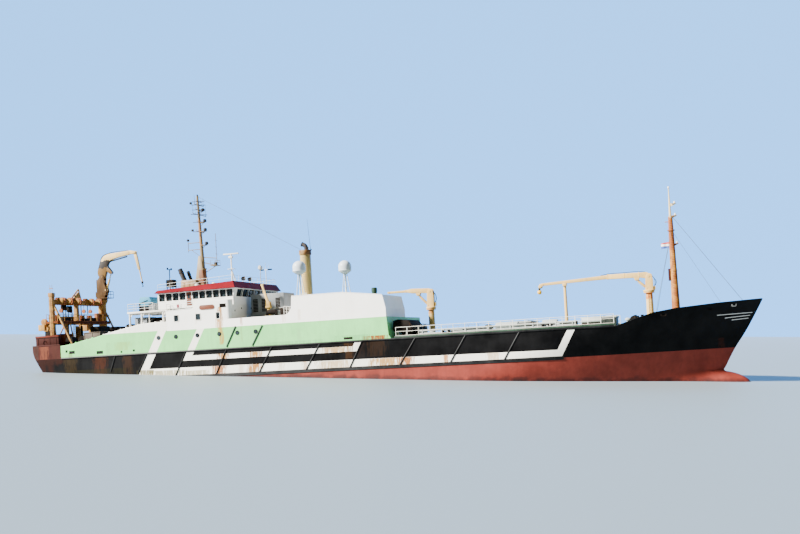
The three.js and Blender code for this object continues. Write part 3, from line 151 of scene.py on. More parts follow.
# z, stern edge x, stem x, half-breadth, half-breadth at the stern, run x, entry x, fullness
WATERLINES = [
    (-5.3, -37.0, 42.0, 6.0, 0.45, -12, 6, 1.35),
    (-5.05, -38.2, 43.0, 6.9, 0.5, -14, 7, 1.4),
    (-4.3, -39.6, 43.8, 7.7, 0.55, -16, 8, 1.45),
    (-3.1, -40.4, 44.4, 8, 0.6, -19, 10, 1.5),
    (-1.9, -41.0, 45.1, 8, 0.9, -23, 12, 1.55),
    (-1.1, -45.0, 45.7, 8, 4.6, -27, 14, 1.6),
    (0.2, -46.6, 46.4, 8, 6.0, -32, 17, 1.7),
    (1.32, -47.2, 47.05, 8, 6.5, -36, 19, 1.8),
    (3.0, -48.1, 48.2, 8, 6.8, -40, 23, 1.95),
    (4.75, -49.0, 49.25, 8, 7.0, -43.9, 27, 2.15),
    (7.2, -50.2, 50.6, 8, 7.1, -43.9, 31, 2.5),
]
BULB = {"x": 43.5, "z": -3.3, "long": 5.1, "wide": 1.35, "high": 2.0}


def fair(points, t):
    """The value at t on a smooth curve through (t, value) points that never overshoots them."""
    at = min(max(bisect.bisect_right([p[0] for p in points], t) - 1, 0), len(points) - 2)

    def rise(k):
        (t0, v0), (t1, v1) = points[k], points[k + 1]
        return (v1 - v0) / (t1 - t0)

    def slope(k):
        if k == 0:
            return rise(0)
        if k == len(points) - 1:
            return rise(k - 1)
        before, after = rise(k - 1), rise(k)
        return 0 if before * after <= 0 else 2 * before * after / (before + after)

    (t0, v0), (t1, v1) = points[at], points[at + 1]
    span = t1 - t0
    s = min(max((t - t0) / span, 0), 1)
    bend = s * s * (3 - 2 * s)
    return (v0 + (v1 - v0) * bend + span * slope(at) * s * (1 - s) ** 2
            - span * slope(at + 1) * s * s * (1 - s))


def waterline(z):
    """Stern x, stem x, half, stern half, run x, entry x and fullness at this height."""
    return [fair([(row[0], row[k]) for row in WATERLINES], z) for k in range(1, 8)]


def half_breadth(x, row):
    stern, stem, half, stern_half, run, entry, full = row
    if x > entry:
        return half * (1 - min(1, (x - entry) / (stem - entry)) ** full)
    if x < run:
        return stern_half + (half - stern_half) * (1 - min(1, (run - x) / (run - stern)) ** 1.8)
    return half


def bulb_half(x, z):
    inside = 1 - ((x - BULB["x"]) / BULB["long"]) ** 2 - ((z - BULB["z"]) / BULB["high"]) ** 2
    return BULB["wide"] * math.sqrt(max(0, inside))


def hull_stock(heights, columns, swell=0, from_x=None):
    """A closed hull between the first and last height, built as a grid and mirrored to port.

    The grid's first column and its outer rows lie on the centreline, and close the shape."""
    bm = bmesh.new()
    bmesh.ops.create_grid(bm, x_segments=columns, y_segments=len(heights) + 1, size=1)
    rows = {z: waterline(z) for z in heights}
    count = len(heights) + 1
    for vert in bm.verts:
        across = round((vert.co.x + 1) / 2 * columns)
        up = round((vert.co.y + 1) / 2 * count)
        z = heights[min(max(up - 1, 0), len(heights) - 1)]
        row = rows[z]
        stern = (row[0] - swell) if from_x is None else from_x
        nose = 1 - ((z - BULB["z"]) / BULB["high"]) ** 2
        tip = max(row[1] + swell, BULB["x"] + BULB["long"] * math.sqrt(max(0, nose)))
        share = max(0, across - 1) / (columns - 1)
        share = 0.5 - 0.5 * math.cos(math.pi * share)
        x = stern + (tip - stern) * share
        if across == 0 or across == columns or up in (0, count):
            y = 0
        else:
            hull = max(0, half_breadth(min(max(x, row[0]), row[1]), row)
                       + swell) if x < row[1] + swell else 0
            y = (hull ** 2.4 + bulb_half(x, z) ** 2.4) ** (1 / 2.4)
        vert.co = (x, -y, z)
    bmesh.ops.dissolve_degenerate(bm, dist=1e-4, edges=bm.edges[:])
    copy = bmesh.ops.duplicate(bm, geom=bm.faces[:])["geom"]
    turned = [item for item in copy if isinstance(item, bmesh.types.BMVert)]
    bmesh.ops.scale(bm, vec=(1, -1, 1), verts=turned)
    bmesh.ops.remove_doubles(bm, verts=bm.verts[:], dist=1e-4)
    bmesh.ops.recalc_face_normals(bm, faces=bm.faces[:])
    return bm


def launch(name, bm, body, finishes, nodes=(), crease=35):
    """Puts a bmesh in ship metres into the model as a finished piece that rides on a body."""
    bm.transform(ship_to_model)
    bmesh.ops.remove_doubles(bm, verts=bm.verts[:], dist=1e-6)
    bmesh.ops.recalc_face_normals(bm, faces=bm.faces[:])
    mesh = bpy.data.meshes.new(name)
    bm.to_mesh(mesh)
    bm.free()
    for finish in finishes if isinstance(finishes, (list, tuple)) else [finishes]:
        mesh.materials.append(finish)
    mesh.shade_smooth()
    mesh.set_sharp_from_angle(angle=math.radians(crease))
    made = bpy.data.objects.new(name, mesh)
    bpy.context.collection.objects.link(made)
    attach(made, body)
    if nodes:
        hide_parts(*nodes)
    return made


def ship_place(tree):
    """Object coordinates turned back into ship metres: the vector, and x, y and z apart."""
    here = put(tree, "TexCoord", out="Object")
    place = put(tree, "Mapping", {"Vector": here, "Rotation": (0, TRIM, 0), "Scale": (1 / SCALE,) * 3})
    return place, *put(tree, "SeparateXYZ", [place]).node.outputs


FRAME_SPACING = 0.75


def wave_scale(period):
    """The Scale of a Wave Texture whose bands lie this far apart: they repeat every 2 pi / 20."""
    return 2 * math.pi / (20 * period)


def weathered(name, base, rough=0.5, metal=0.0, shine=0.25, fade=0.12, grime=0.3, rust=0.2,
              rust_hex="9a5426", grime_hex="5a5548", plates=0.0, marks=None):
    """Ship's paint on steel: sun-faded patches, grime run down from above, and rust that bleeds.

    Rates run from 0 to 1. plates is the depth in millimetres of the dents between the frames.
    marks(tree, x, y, z, colour) may lay painted stripes over the base and gives the colour back."""
    finish, tree, shader = new_finish(name)
    place, x, y, z = ship_place(tree)
    patches = put(tree, "TexNoise", {"Vector": place, "Scale": 0.45, "Detail": 6.0, "Roughness": 0.6})
    darker = [channel * (1 - fade) for channel in hex_colour(base)[:3]] + [1]
    lighter = [min(1, channel * (1 + fade) + 0.02 * fade) for channel in hex_colour(base)[:3]] + [1]
    colour = put(tree, "Mix", [put(tree, "MapRange", [patches, 0.35, 0.65]), darker, lighter],
                 data_type="RGBA")
    if marks:
        colour = marks(tree, x, y, z, colour)
    # runs of grime are about 0.3 m wide and 4 m long
    runs = put(tree, "TexNoise",
               {"Vector": put(tree, "Mapping", {"Vector": place, "Scale": (2.6, 2.6, 0.22)}), "Scale": 1.0,
                "Detail": 5.0, "Roughness": 0.65})
    grimy = put(tree, "MapRange", [runs, 0.5, 0.78, 0.0, grime])
    colour = put(tree, "Mix", [grimy, colour, hex_colour(grime_hex)], data_type="RGBA")
    # rust starts in spots a hand wide and bleeds down 1 to 2 m
    bleed = put(tree, "TexNoise",
                {"Vector": put(tree, "Mapping", {"Vector": place, "Scale": (1.7, 1.7, 0.45)}), "Scale": 1.0,
                 "Detail": 9.0, "Roughness": 0.7, "Distortion": 0.2})
    limit = 0.72 - 0.2 * rust
    rusty = put(tree, "MapRange", [bleed, limit, limit + 0.07, 0.0, min(1, 0.45 + rust)])
    flecks = put(tree, "TexNoise", {"Vector": place, "Scale": 6.0, "Detail": 4.0})
    rust_tone = put(tree, "Mix", [flecks, hex_colour(rust_hex), hex_colour("5d3018")], data_type="RGBA")
    colour = put(tree, "Mix", [rusty, colour, rust_tone], data_type="RGBA")
    gloss = put(tree, "MapRange", [rusty, 0.0, 1.0, rough, min(1, rough + 0.35)])
    bump = put(tree, "Bump", {"Height": flecks, "Strength": 0.25, "Distance": 0.0006})
    if plates:
        wave = put(tree, "TexWave", {"Vector": place, "Scale": wave_scale(FRAME_SPACING), "Distortion": 1.5,
                                     "Detail": 2.0}, "Fac", bands_direction="X")
        dents = put(tree, "TexNoise", {"Vector": place, "Scale": 0.9, "Detail": 2.0})
        height = put(tree, "Math", [wave, dents], operation="MULTIPLY")
        bump = put(tree, "Bump", {"Height": height, "Strength": 0.5, "Distance": plates / 1000,
                                  "Normal": bump})
    feed(tree, shader, {"Base Color": colour, "Metallic": metal, "Specular IOR Level": shine,
                        "Roughness": gloss, "Normal": bump})
    return finish


def below_water_marks(tree, x, y, z, colour):
    """The old load band just over the paint's foot, and weed and slime near the water."""
    here = put(tree, "TexCoord", out="Object")
    level = put(tree, "SeparateXYZ", [here], out="Z")
    cloud = put(tree, "TexNoise", {"Vector": here, "Scale": 9.0, "Detail": 6.0})
    wet = put(tree, "Math", [level, put(tree, "MapRange", [cloud, 0.3, 0.7, -0.03, 0.03])], operation="ADD")
    colour = put(tree, "Mix",
                 [put(tree, "MapRange", [wet, 0.055, 0.02, 0.0, 0.8]), colour, hex_colour("451813")],
                 data_type="RGBA")
    colour = put(tree, "Mix",
                 [put(tree, "MapRange", [wet, 0.012, -0.02, 0.0, 0.85]), colour, hex_colour("1f1412")],
                 data_type="RGBA")
    pale = put(tree, "MapRange", [cloud, 0.55, 0.75, 0.0, 0.3])
    return put(tree, "Mix", [pale, colour, hex_colour("8c3c2e")], data_type="RGBA")


# Red antifouling, brushed on thick: matt, browned by weed toward the water
antifouling = weathered("antifouling_paint", "74281c", rough=0.7, fade=0.2, grime=0.35, grime_hex="4f1d18",
                        rust=0.12, plates=1.2, marks=below_water_marks)
bottom_heights = [-5.3, -5.28, -5.2, -5.05, -4.8, -4.5, -4.1, -3.7, -3.3, -2.9, -2.5, -2.15, -1.9, -1.7,
                  -1.5, -1.3, -1.1, -0.7, -0.3, 0.2, 0.75, PAINT_LINE - CLEAR]
bm = hull_stock(bottom_heights, 110)
launch("hull_bottom_skin", bm, "root", antifouling, ["hull_bottom"], crease=50)


# Stern gear under water: nozzle, shaft boss, rudder and propeller
# A four-bladed bronze propeller turns in a welded steel nozzle, ahead of a spade rudder on its
# trunk. The blades are cast, twisted from root to tip and polished by the water.
SHAFT_Z = -3.35
NOZZLE_AFT, NOZZLE_FORE = -43.4, -41.7
RUDDER_X = -44.15


def add_turned(bm, profile, origin, axis="Z", steps=32):
    """Spins a profile of (radius, height) points round an axis, a letter or a way, from origin."""
    verts = [bm.verts.new((radius, 0, height)) for radius, height in profile]
    edges = [bm.edges.new(pair) for pair in zip(verts, verts[1:])]
    bmesh.ops.spin(bm, geom=verts + edges, cent=(0, 0, 0), axis=(0, 0, 1), angle=2 * math.pi,
                   steps=steps, use_merge=True, use_duplicate=False)
    made = collect(verts)
    way = Vector({"X": (1, 0, 0), "Y": (0, 1, 0), "Z": (0, 0, 1)}[axis] if isinstance(axis, str) else axis)
    turn = way.to_track_quat("Z", "Y").to_matrix().to_4x4()
    bmesh.ops.transform(bm, matrix=Matrix.Translation(origin) @ turn, verts=made)
    return made


def collect(seeds):
    """Every vertex joined by edges to the seeds."""
    seen, waiting = dict.fromkeys(seeds), list(seeds)
    while waiting:
        vert = waiting.pop()
        for edge in vert.link_edges:
            other = edge.other_vert(vert)
            if other not in seen:
                seen[other] = None
                waiting.append(other)
    return list(seen)


def add_tube(bm, a, b, radius, end_radius=None, sides=12):
    """A closed round bar from point a to point b."""
    a, b = Vector(a), Vector(b)
    run = b - a
    turn = run.to_track_quat("Z", "Y").to_matrix().to_4x4()
    place = Matrix.Translation((a + b) / 2) @ turn
    made = bmesh.ops.create_cone(bm, cap_ends=True, segments=sides, radius1=radius,
                                 radius2=radius if end_radius is None else end_radius,
                                 depth=run.length, matrix=place)
    return made["verts"]


def add_box(bm, low, high, rim=0.0):
    """A block between two opposite corners, its edges rounded by rim."""
    low, high = zip(*(sorted(pair) for pair in zip(low, high)))
    size = [top - bottom for bottom, top in zip(low, high)]
    middle = [(top + bottom) / 2 for bottom, top in zip(low, high)]
    place = Matrix.Translation(middle) @ Matrix.Diagonal((*size, 1))
    made = bmesh.ops.create_cube(bm, size=1, matrix=place)["verts"]
    return rounded(bm, made, rim)


def rounded(bm, verts, rim):
    """Bevels the edges sharper than 30 degrees among these vertices by rim."""
    if not rim:
        return verts
    edges = dict.fromkeys(edge for vert in verts for edge in vert.link_edges)
    sharp = [edge for edge in edges if len(edge.link_faces) == 2
             and edge.calc_face_angle(0) > math.radians(30)]
    return bmesh.ops.bevel(bm, geom=sharp, offset=rim, offset_type="OFFSET", segments=2, profile=0.5,
                           affect="EDGES", material=-1, clamp_overlap=True)["verts"]


def faces_round(verts):
    """The faces that meet at these vertices, each once and in order."""
    return list(dict.fromkeys(face for vert in verts for face in vert.link_faces))


def on_axis(point, along, axis):
    """A flat point set along an axis: Y takes (x, z) points, Z takes (x, y) and X takes (y, z)."""
    a, b = point
    return {"Y": (a, along, b), "Z": (a, b, along), "X": (along, a, b)}[axis]


def add_prism(bm, outline, axis, low, high, rim=0.0):
    """An outline of flat points run along an axis, its edges rounded by rim."""
    low, high = sorted((low, high))
    verts = [bm.verts.new(on_axis(point, low, axis)) for point in outline]
    face = bm.faces.new(verts)
    face.normal_update()
    grown = bmesh.ops.extrude_face_region(bm, geom=[face])["geom"]
    top = [item for item in grown if isinstance(item, bmesh.types.BMVert)]
    bmesh.ops.translate(bm, vec=on_axis((0, 0), high - low, axis), verts=top)
    if len(faces_round(verts + top)) == len(outline) + 1:
        bm.faces.new(verts)
    bmesh.ops.recalc_face_normals(bm, faces=faces_round(verts + top))
    return rounded(bm, verts + top, rim)


bm = bmesh.new()
foil = [(1.76, -0.85), (1.74, 0.2), (1.8, 0.75), (1.9, 0.85), (1.95, 0.6), (1.9, -0.8), (1.83, -0.86),
        (1.76, -0.85)]
add_turned(bm, foil, ((NOZZLE_AFT + NOZZLE_FORE) / 2, 0, SHAFT_Z), "X", 48)
add_turned(bm, [(0, -41.5), (0.34, -41.5), (0.44, -41.0), (0.46, -38), (0, -38)], (0, 0, SHAFT_Z), "X", 24)
add_tube(bm, (RUDDER_X, 0, -1.75), (RUDDER_X, 0, -0.3), 0.34, 0.4, 20)
add_box(bm, (-43.2, -0.28, -5.3), (-36, 0.28, -5.13), 0.05)
for side in (-1, 1):
    add_prism(bm, [(-12, -4.75), (-10, -5.03), (10, -5.03), (12, -4.75), (10, -4.7), (-10, -4.7)], "Y",
              side * 7.1, side * 7.6, 0.02)
launch("nozzle_and_keels", bm, "root", antifouling)

bm = bmesh.new()
add_prism(bm, [(-45.6, -0.05), (-44.9, -0.14), (-44.1, -0.2), (-43.75, -0.15), (-43.6, 0), (-43.75, 0.15),
               (-44.1, 0.2), (-44.9, 0.14), (-45.6, 0.05)], "Z", -5.2, -1.95, 0.03)
add_tube(bm, (RUDDER_X, 0, -2), (RUDDER_X, 0, -1.76), 0.19, sides=20)
launch("rudder_blade", bm, "rudder", antifouling, ["rudder"])

BLADES = 4
BLADE_ROOT, BLADE_TIP = 0.28, 1.62
bm = bmesh.new()
hub_line = [(0, -43.3), (0.1, -43.28), (0.2, -43.1), (0.28, -42.9), (0.35, -42.6), (0.36, -41.9),
            (0.34, -41.52), (0, -41.52)]
add_turned(bm, hub_line, (0, 0, SHAFT_Z), "X", 28)
for number in range(BLADES):
    before = set(bm.verts)
    bmesh.ops.create_grid(bm, x_segments=8, y_segments=10, size=1)
    blade = [vert for vert in bm.verts if vert not in before]
    for vert in blade:
        chord, span = vert.co.x, (vert.co.y + 1) / 2
        width = 0.34 + 0.42 * math.sin(math.pi * min(1, span * 0.95 + 0.02)) - 0.3 * span ** 5
        twist = 1.05 - 0.65 * span
        radius = BLADE_ROOT + (BLADE_TIP - BLADE_ROOT) * span - 0.12 * span * chord * chord
        vert.co = (chord * width * math.cos(twist) * 0.75, chord * width * math.sin(twist)
                   + 0.12 * span * span, radius)
    around = Matrix.Rotation(number * 2 * math.pi / BLADES, 4, "X")
    bmesh.ops.transform(bm, matrix=Matrix.Translation((-42.45, 0, SHAFT_Z)) @ around, verts=blade)
    bmesh.ops.solidify(bm, geom=faces_round(blade), thickness=0.05)

# Cast manganese bronze: warm and polished, a little dull in patches
bronze, tree, shader = new_finish("cast_bronze")
place = ship_place(tree)[0]
dull = put(tree, "TexNoise", {"Vector": place, "Scale": 3.0, "Detail": 5.0})
tone = put(tree, "Mix", [dull, hex_colour("b98a4a"), hex_colour("8a6434")], data_type="RGBA")
gloss = put(tree, "MapRange", [dull, 0.3, 0.7, 0.2, 0.4])
feed(tree, shader, {"Base Color": tone, "Metallic": 1.0, "Roughness": gloss})
launch("bronze_propeller", bm, "propeller", bronze, ["propeller"])


# Topsides with the main deck, raised bow and stern ramp
# Black painted shell plating from the paint line to the deck edge, flared at the bow, with white
# bands painted along it. The deck inside is dull green, and the ramp is worn bare by the nets.
DECK = 4.75
FORE_DECK = 5.2
ON_DECK, ON_FORE_DECK = DECK + CLEAR, FORE_DECK + CLEAR
BOW_SHEER = [(33.6, 4.755), (34.3, 5.0), (35.6, 5.45), (37.8, 6.05), (40.3, 6.4), (45, 6.75), (50.5, 7.04)]
RAMP_TOP, RAMP_HALF, RAMP_SLOPE = -41.5, 2.3, 0.32
STRIPE_SLOPE = 0.566


def carved(bm, *cutters, operation="DIFFERENCE"):
    """bm less each cutter in turn, by the exact boolean; takes and gives bmeshes in ship metres."""
    def holder(name, source):
        mesh = bpy.data.meshes.new(name)
        source.to_mesh(mesh)
        source.free()
        made = bpy.data.objects.new(name, mesh)
        bpy.context.collection.objects.link(made)
        return made

    stock = holder("stock", bm)
    tools = [holder("tool", cutter) for cutter in cutters]
    for tool in tools:
        step = stock.modifiers.new("cut", "BOOLEAN")
        step.object = tool
        step.operation = operation
        step.solver = "EXACT"
    result = bmesh.new()
    result.from_object(stock, bpy.context.evaluated_depsgraph_get())
    for item in [stock, *tools]:
        mesh = item.data
        bpy.data.objects.remove(item)
        bpy.data.meshes.remove(mesh)
    return result


def prism(outline, axis, low, high):
    bm = bmesh.new()
    add_prism(bm, outline, axis, low, high)
    return bm


def block(low, high):
    bm = bmesh.new()
    add_box(bm, low, high)
    return bm


def within(tree, value, low, high):
    """1 where the value lies between low and high, else 0."""
    return put(tree, "Math", [value, (low + high) / 2, (high - low) / 2], operation="COMPARE")


def side_stripes(tree, x, y, z, colour):
    """The white bands: lower band and its two rising ends, and upper band and its two."""
    lean = put(tree, "Math", [x, put(tree, "Math", [z, STRIPE_SLOPE], operation="MULTIPLY")],
               operation="SUBTRACT")
    sag = put(tree, "Math",
              [z,
               put(tree, "Math", [put(tree, "Math", [x, 29.7], operation="ADD"), 0.0053],
                   operation="MULTIPLY")], operation="ADD")
    # lowest and highest lean of each stripe, its height measure, and lowest and highest height
    stripes = [(-32.4, -31.1, sag, 1.57, 8.2), (-32.4, 26.0, sag, 1.57, 2.6), (25.1, 26.0, sag, 1.57, 5.2),
               (-26.3, -25.2, z, 3.5, 8.2), (-26.3, -1.07, z, 3.5, 4.15), (-1.97, -1.07, z, 3.5, 4.9)]
    cover = None
    for low, high, measure, bottom, top in stripes:
        stripe = put(tree, "Math", [within(tree, lean, low, high), within(tree, measure, bottom, top)],
                     operation="MULTIPLY")
        cover = stripe if cover is None else put(tree, "Math", [cover, stripe], operation="MAXIMUM")
    return put(tree, "Mix", [cover, colour, hex_colour("f0ede2")], data_type="RGBA")


def stained(tree, x, z, colour, stains):
    """Rust that runs down from fittings: centre x, half width, top z, bottom z, strength, hex."""
    place = put(tree, "TexCoord", out="Object")
    ragged = put(tree, "TexNoise",
                 {"Vector": put(tree, "Mapping", {"Vector": place, "Scale": (45, 45, 7)}), "Scale": 1.0,
                  "Detail": 6.0, "Roughness": 0.7})
    for centre, half, top, bottom, strength, code in stains:
        away = put(tree, "Math", [put(tree, "Math", [x, centre], operation="SUBTRACT")],
                   operation="ABSOLUTE")
        away = put(tree, "Math",
                   [away, put(tree, "MapRange", [ragged, 0.3, 0.7, half * 0.55, -half * 0.25])],
                   operation="ADD")
        across = put(tree, "MapRange", [away, half, half * 0.5])
        down = put(tree, "MapRange", [z, bottom, top - 0.1, 0.65, 1.0])
        inside = put(tree, "Math", [within(tree, z, bottom, top), down], operation="MULTIPLY")
        cover = put(tree, "Math", [across, inside], operation="MULTIPLY")
        cover = put(tree, "Math", [cover, put(tree, "MapRange", [ragged, 0.32, 0.56])],
                    operation="MULTIPLY")
        cover = put(tree, "MapRange", [cover, 0.06, 0.6, 0.0, strength])
        colour = put(tree, "Mix", [cover, colour, hex_colour(code)], data_type="RGBA")
    return colour


TOPSIDE_STAINS = [
    (-18.2, 1.3, 4.14, 3.5, 0.95, "9c6410"), (-18.9, 1.6, 2.53, 1.5, 0.95, "90500a"),
    (-13.4, 1.5, 4.14, 3.5, 0.95, "9c6814"), (-13.6, 1.4, 2.51, 1.5, 0.95, "98600e"),
    (-15.6, 0.6, 2.5, 1.5, 0.35, "a8742c"), (-9.8, 0.7, 2.48, 1.5, 0.35, "a5803c"),
    (-1.9, 2.6, 4.14, 3.5, 0.85, "a87c30"), (-2.5, 3.4, 2.4, 1.5, 0.7, "a8853c"),
    (-0.2, 0.9, 5.0, 2.6, 0.35, "4a2f16"), (5.0, 3.4, 2.4, 1.45, 0.9, "a4741c"),
    (7.4, 1.5, 2.38, 1.4, 0.95, "90500a"), (3.2, 1.8, 5.4, 4.7, 1.0, "804004"),
    (3.6, 1.8, 4.7, 2.7, 0.28, "3a2614"), (1.2, 1.2, 4.7, 2.7, 0.2, "33231a"),
    (-42.4, 1.6, 4.6, 1.0, 0.4, "3a2c14"), (-37.4, 1.5, 4.6, 0.6, 0.55, "42200f"),
    (-33.0, 1.1, 4.6, 1.4, 0.4, "3a2414"), (-27.0, 4.0, 2.3, 1.3, 0.7, "6e6220"),
    (-22.4, 3.4, 2.1, 1.2, 0.65, "786822"), (-30.2, 1.8, 2.5, 1.2, 0.8, "5c521a"),
    (-38.5, 9.0, 3.0, 1.6, 0.55, "1e1c0c"), (45.4, 0.5, 2.6, 0.6, 0.5, "36180f"),
    (18.6, 1.1, 2.33, 1.4, 0.6, "b08242"), (-6.4, 0.5, 2.5, 1.3, 0.6, "a8682a"),
    (12.6, 0.45, 2.36, 1.4, 0.9, "a86a1e"),
]


def topside_marks(tree, x, y, z, colour):
    colour = side_stripes(tree, x, y, z, colour)
    # bow trim lines: three thin white rules under the foremost hawse
    for low_x, high_x, at_x, at_z, slope in ((45.0, 49.2, 45.0, 5.32, 0.03), (45.9, 48.9, 45.9, 4.94, 0.06),
                                             (46.7, 48.7, 46.7, 4.66, 0.06)):
        line = put(tree, "Math",
                   [at_z,
                    put(tree, "Math", [put(tree, "Math", [x, at_x], operation="SUBTRACT"), slope],
                        operation="MULTIPLY")], operation="ADD")
        off = put(tree, "Math", [put(tree, "Math", [z, line], operation="SUBTRACT")], operation="ABSOLUTE")
        rule = put(tree, "Math",
                   [within(tree, x, low_x, high_x), put(tree, "Math", [off, 0.035], operation="LESS_THAN")],
                   operation="MULTIPLY")
        colour = put(tree, "Mix", [rule, colour, hex_colour("e9e7e0")], data_type="RGBA")
    # red primer shows round the stern, where the black has worn away
    worn = put(tree, "TexNoise",
               {"Vector": put(tree, "TexCoord", out="Object"), "Scale": 6.0, "Detail": 7.0})
    reach = put(tree, "Math",
                [put(tree, "Math", [x, -1], operation="MULTIPLY"),
                 put(tree, "Math", [z, 1.1], operation="MULTIPLY")], operation="ADD")
    red = put(tree, "MapRange",
              [put(tree, "Math", [reach, put(tree, "MapRange", [worn, 0.3, 0.7, -2.5, 2.5])],
                   operation="ADD"), 48.4, 50.2])
    colour = put(tree, "Mix", [red, colour, hex_colour("24100b")], data_type="RGBA")
    return stained(tree, x, z, colour, TOPSIDE_STAINS)


# Black enamel on plate: nearly matt, buckled between the frames, streaked with rust
black_topsides = weathered("black_topside_enamel", "020203", rough=0.5, shine=0.06, fade=0.2, grime=0.1,
                           grime_hex="1c1b18", rust=0.08, plates=1.5, marks=topside_marks)
# Green deck paint with grit in it: matt, dirty and worn through to rust
deck_green = weathered("green_deck_paint", "7d9080", rough=0.8, fade=0.2, grime=0.5, rust=0.45)
# Bare ramp plate: brown steel that the nets keep scraping
ramp_steel = weathered("worn_ramp_steel", "6a5a4c", rough=0.6, fade=0.25, grime=0.4, rust=0.7)

topside_heights = [PAINT_LINE, 1.9, 2.5, 3.1, 3.7, 4.25, 4.75, 5.3, 5.9, 6.5, 7.2]
stock = hull_stock(topside_heights, 120)
above_sheer = prism([(-60, DECK), (33.6, DECK), *BOW_SHEER[1:], (55, 7.3), (55, 12), (-60, 12)], "Y", -10,
                    10)
bow_well = hull_stock([FORE_DECK, 5.9, 6.5, 7.4], 60, swell=-0.14, from_x=34.5)
ramp_void = prism([(RAMP_TOP, DECK), (RAMP_TOP - 12, DECK - 12 * RAMP_SLOPE), (RAMP_TOP - 12, 9),
                   (RAMP_TOP, 9)], "Y", -RAMP_HALF, RAMP_HALF)
bm = carved(stock, above_sheer, bow_well, ramp_void)
for face in bm.faces:
    centre = face.calc_center_median()
    if face.normal.z > 0.9 and centre.z < FORE_DECK + 0.02:
        face.material_index = 1
    if face.normal.z > 0.9 and abs(centre.y) < RAMP_HALF and centre.x < RAMP_TOP:
        face.material_index = 2
    if abs(centre.y) > RAMP_HALF - 0.05 and abs(face.normal.y) > 0.9 and abs(centre.y) < RAMP_HALF + 0.05:
        face.material_index = 2
launch("topside_shell", bm, "root", [black_topsides, deck_green, ramp_steel],
       ["hull_topsides"], crease=40)


# Rubbing strakes and their slanting bars
# Half-round steel bars welded on the shell, one along the deck edge, three along the paint line
# and a slanting bar at every few frames between them. Their black paint is scuffed to steel.
# x at the top and foot of each slanting bar, and the height of its foot
SLANTING_BARS = [(-34.9, -35.8, 2.5), (-29.8, -31.4, 2.1), (-23.8, -25.6, 1.4), (-17.6, -19.4, 1.4),
                 (-10.9, -13.0, 1.4), (-4.1, -6.3, 1.4), (1.7, -0.2, 1.4), (8.8, 6.5, 1.4),
                 (15.3, 13.1, 1.4), (22.0, 19.9, 1.4)]
GREEN_BARS = [((-16.1, 7.74), (-17.6, 5.06)), ((-12.2, 7.62), (-13.8, 5.02))]


def add_pipe(bm, points, radius, sides=8, smooth=False):
    """A closed round bar bent through these points, mitred or in one smooth curve."""
    curve = bpy.data.curves.new("pipe", "CURVE")
    curve.dimensions = "3D"
    curve.bevel_depth = radius
    curve.bevel_resolution = max(0, sides // 4 - 1)
    curve.use_fill_caps = True
    spline = curve.splines.new("BEZIER" if smooth else "POLY")
    if smooth:
        spline.bezier_points.add(len(points) - 1)
        for knot, point in zip(spline.bezier_points, points):
            knot.co = point
            knot.handle_left_type = knot.handle_right_type = "AUTO"
        spline.resolution_u = 6
    else:
        spline.points.add(len(points) - 1)
        for knot, point in zip(spline.points, points):
            knot.co = (*point, 1)
    holder = bpy.data.objects.new("pipe", curve)
    bpy.context.collection.objects.link(holder)
    mesh = bpy.data.meshes.new_from_object(holder.evaluated_get(bpy.context.evaluated_depsgraph_get()))
    bm.from_mesh(mesh)
    bpy.data.objects.remove(holder)
    bpy.data.curves.remove(curve)
    bpy.data.meshes.remove(mesh)


def blend(bm, other):
    """Adds another bmesh to this one and frees it."""
    mesh = bpy.data.meshes.new("other")
    other.to_mesh(mesh)
    other.free()
    bm.from_mesh(mesh)
    bpy.data.meshes.remove(mesh)


def mirrored(bm):
    """A port copy of a starboard piece."""
    other = bm.copy()
    bmesh.ops.scale(other, vec=(1, -1, 1), verts=other.verts[:])
    bmesh.ops.recalc_face_normals(other, faces=other.faces[:])
    return other


# Black bar rubbed bare in places: pale scuffs and thin rust
scuffed_black = weathered("scuffed_black_bar", "08090b", rough=0.45, shine=0.12, fade=0.5, grime=0.15,
                          grime_hex="4a4842", rust=0.25)
# Dark green enamel on bar and small vents: plain, with a soft gloss
dark_green_bar = weathered("dark_green_bar", "1f3829", rough=0.5, fade=0.3, rust=0.1)


def side_run(x0, x1, z, proud, steps):
    """Points along the shell on the starboard side at one height."""
    row = waterline(z)
    xs = [x0 + (x1 - x0) * i / steps for i in range(steps + 1)]
    return [(x, -half_breadth(x, row) - proud, z) for x in xs]


bm = bmesh.new()
add_pipe(bm, side_run(-43.8, 33.2, 4.78, 0.0, 40), 0.13, 12)
for height in (1.44, 1.29, 1.14):
    add_pipe(bm, side_run(-30.4, 27, height, 0.0, 30), 0.09, 8)
for top, foot, foot_z in SLANTING_BARS:
    ends = [(top, 4.8), (foot, foot_z)]
    add_pipe(bm, [(x, -half_breadth(x, waterline(z)) - 0.01, z) for x, z in ends], 0.1, 12)
port_side = mirrored(bm)
launch("rubbing_bars_stbd", bm, "root", scuffed_black, ["rubbing_frame_stbd"])
launch("rubbing_bars_port", port_side, "root", scuffed_black, ["rubbing_frame_port"])

bm = bmesh.new()
for head, foot in GREEN_BARS:
    for side in (-1, 1):
        add_pipe(bm, [(head[0], side * 8.0, head[1]), (foot[0], side * 8.0, foot[1])], 0.12, 12)
for side in (-1, 1):
    for height, radius in ((4.95, 0.1), (5.07, 0.07)):
        add_pipe(bm, [(x, -side * (y + 0.12), z) for x, y, z in side_run(6.0, 33.3, height, 0.0, 14)],
                 radius, 8)
launch("green_side_bars", bm, "root", dark_green_bar)


# Stern quarters
# Raised steel boxes either side of the ramp, in worn red primer, with a flat top that carries the
# gantry and the stowed otter boards, and a rounded bar round the top edge.
QUARTER_TOP = 6.75
QUARTER_FORE = -43.9


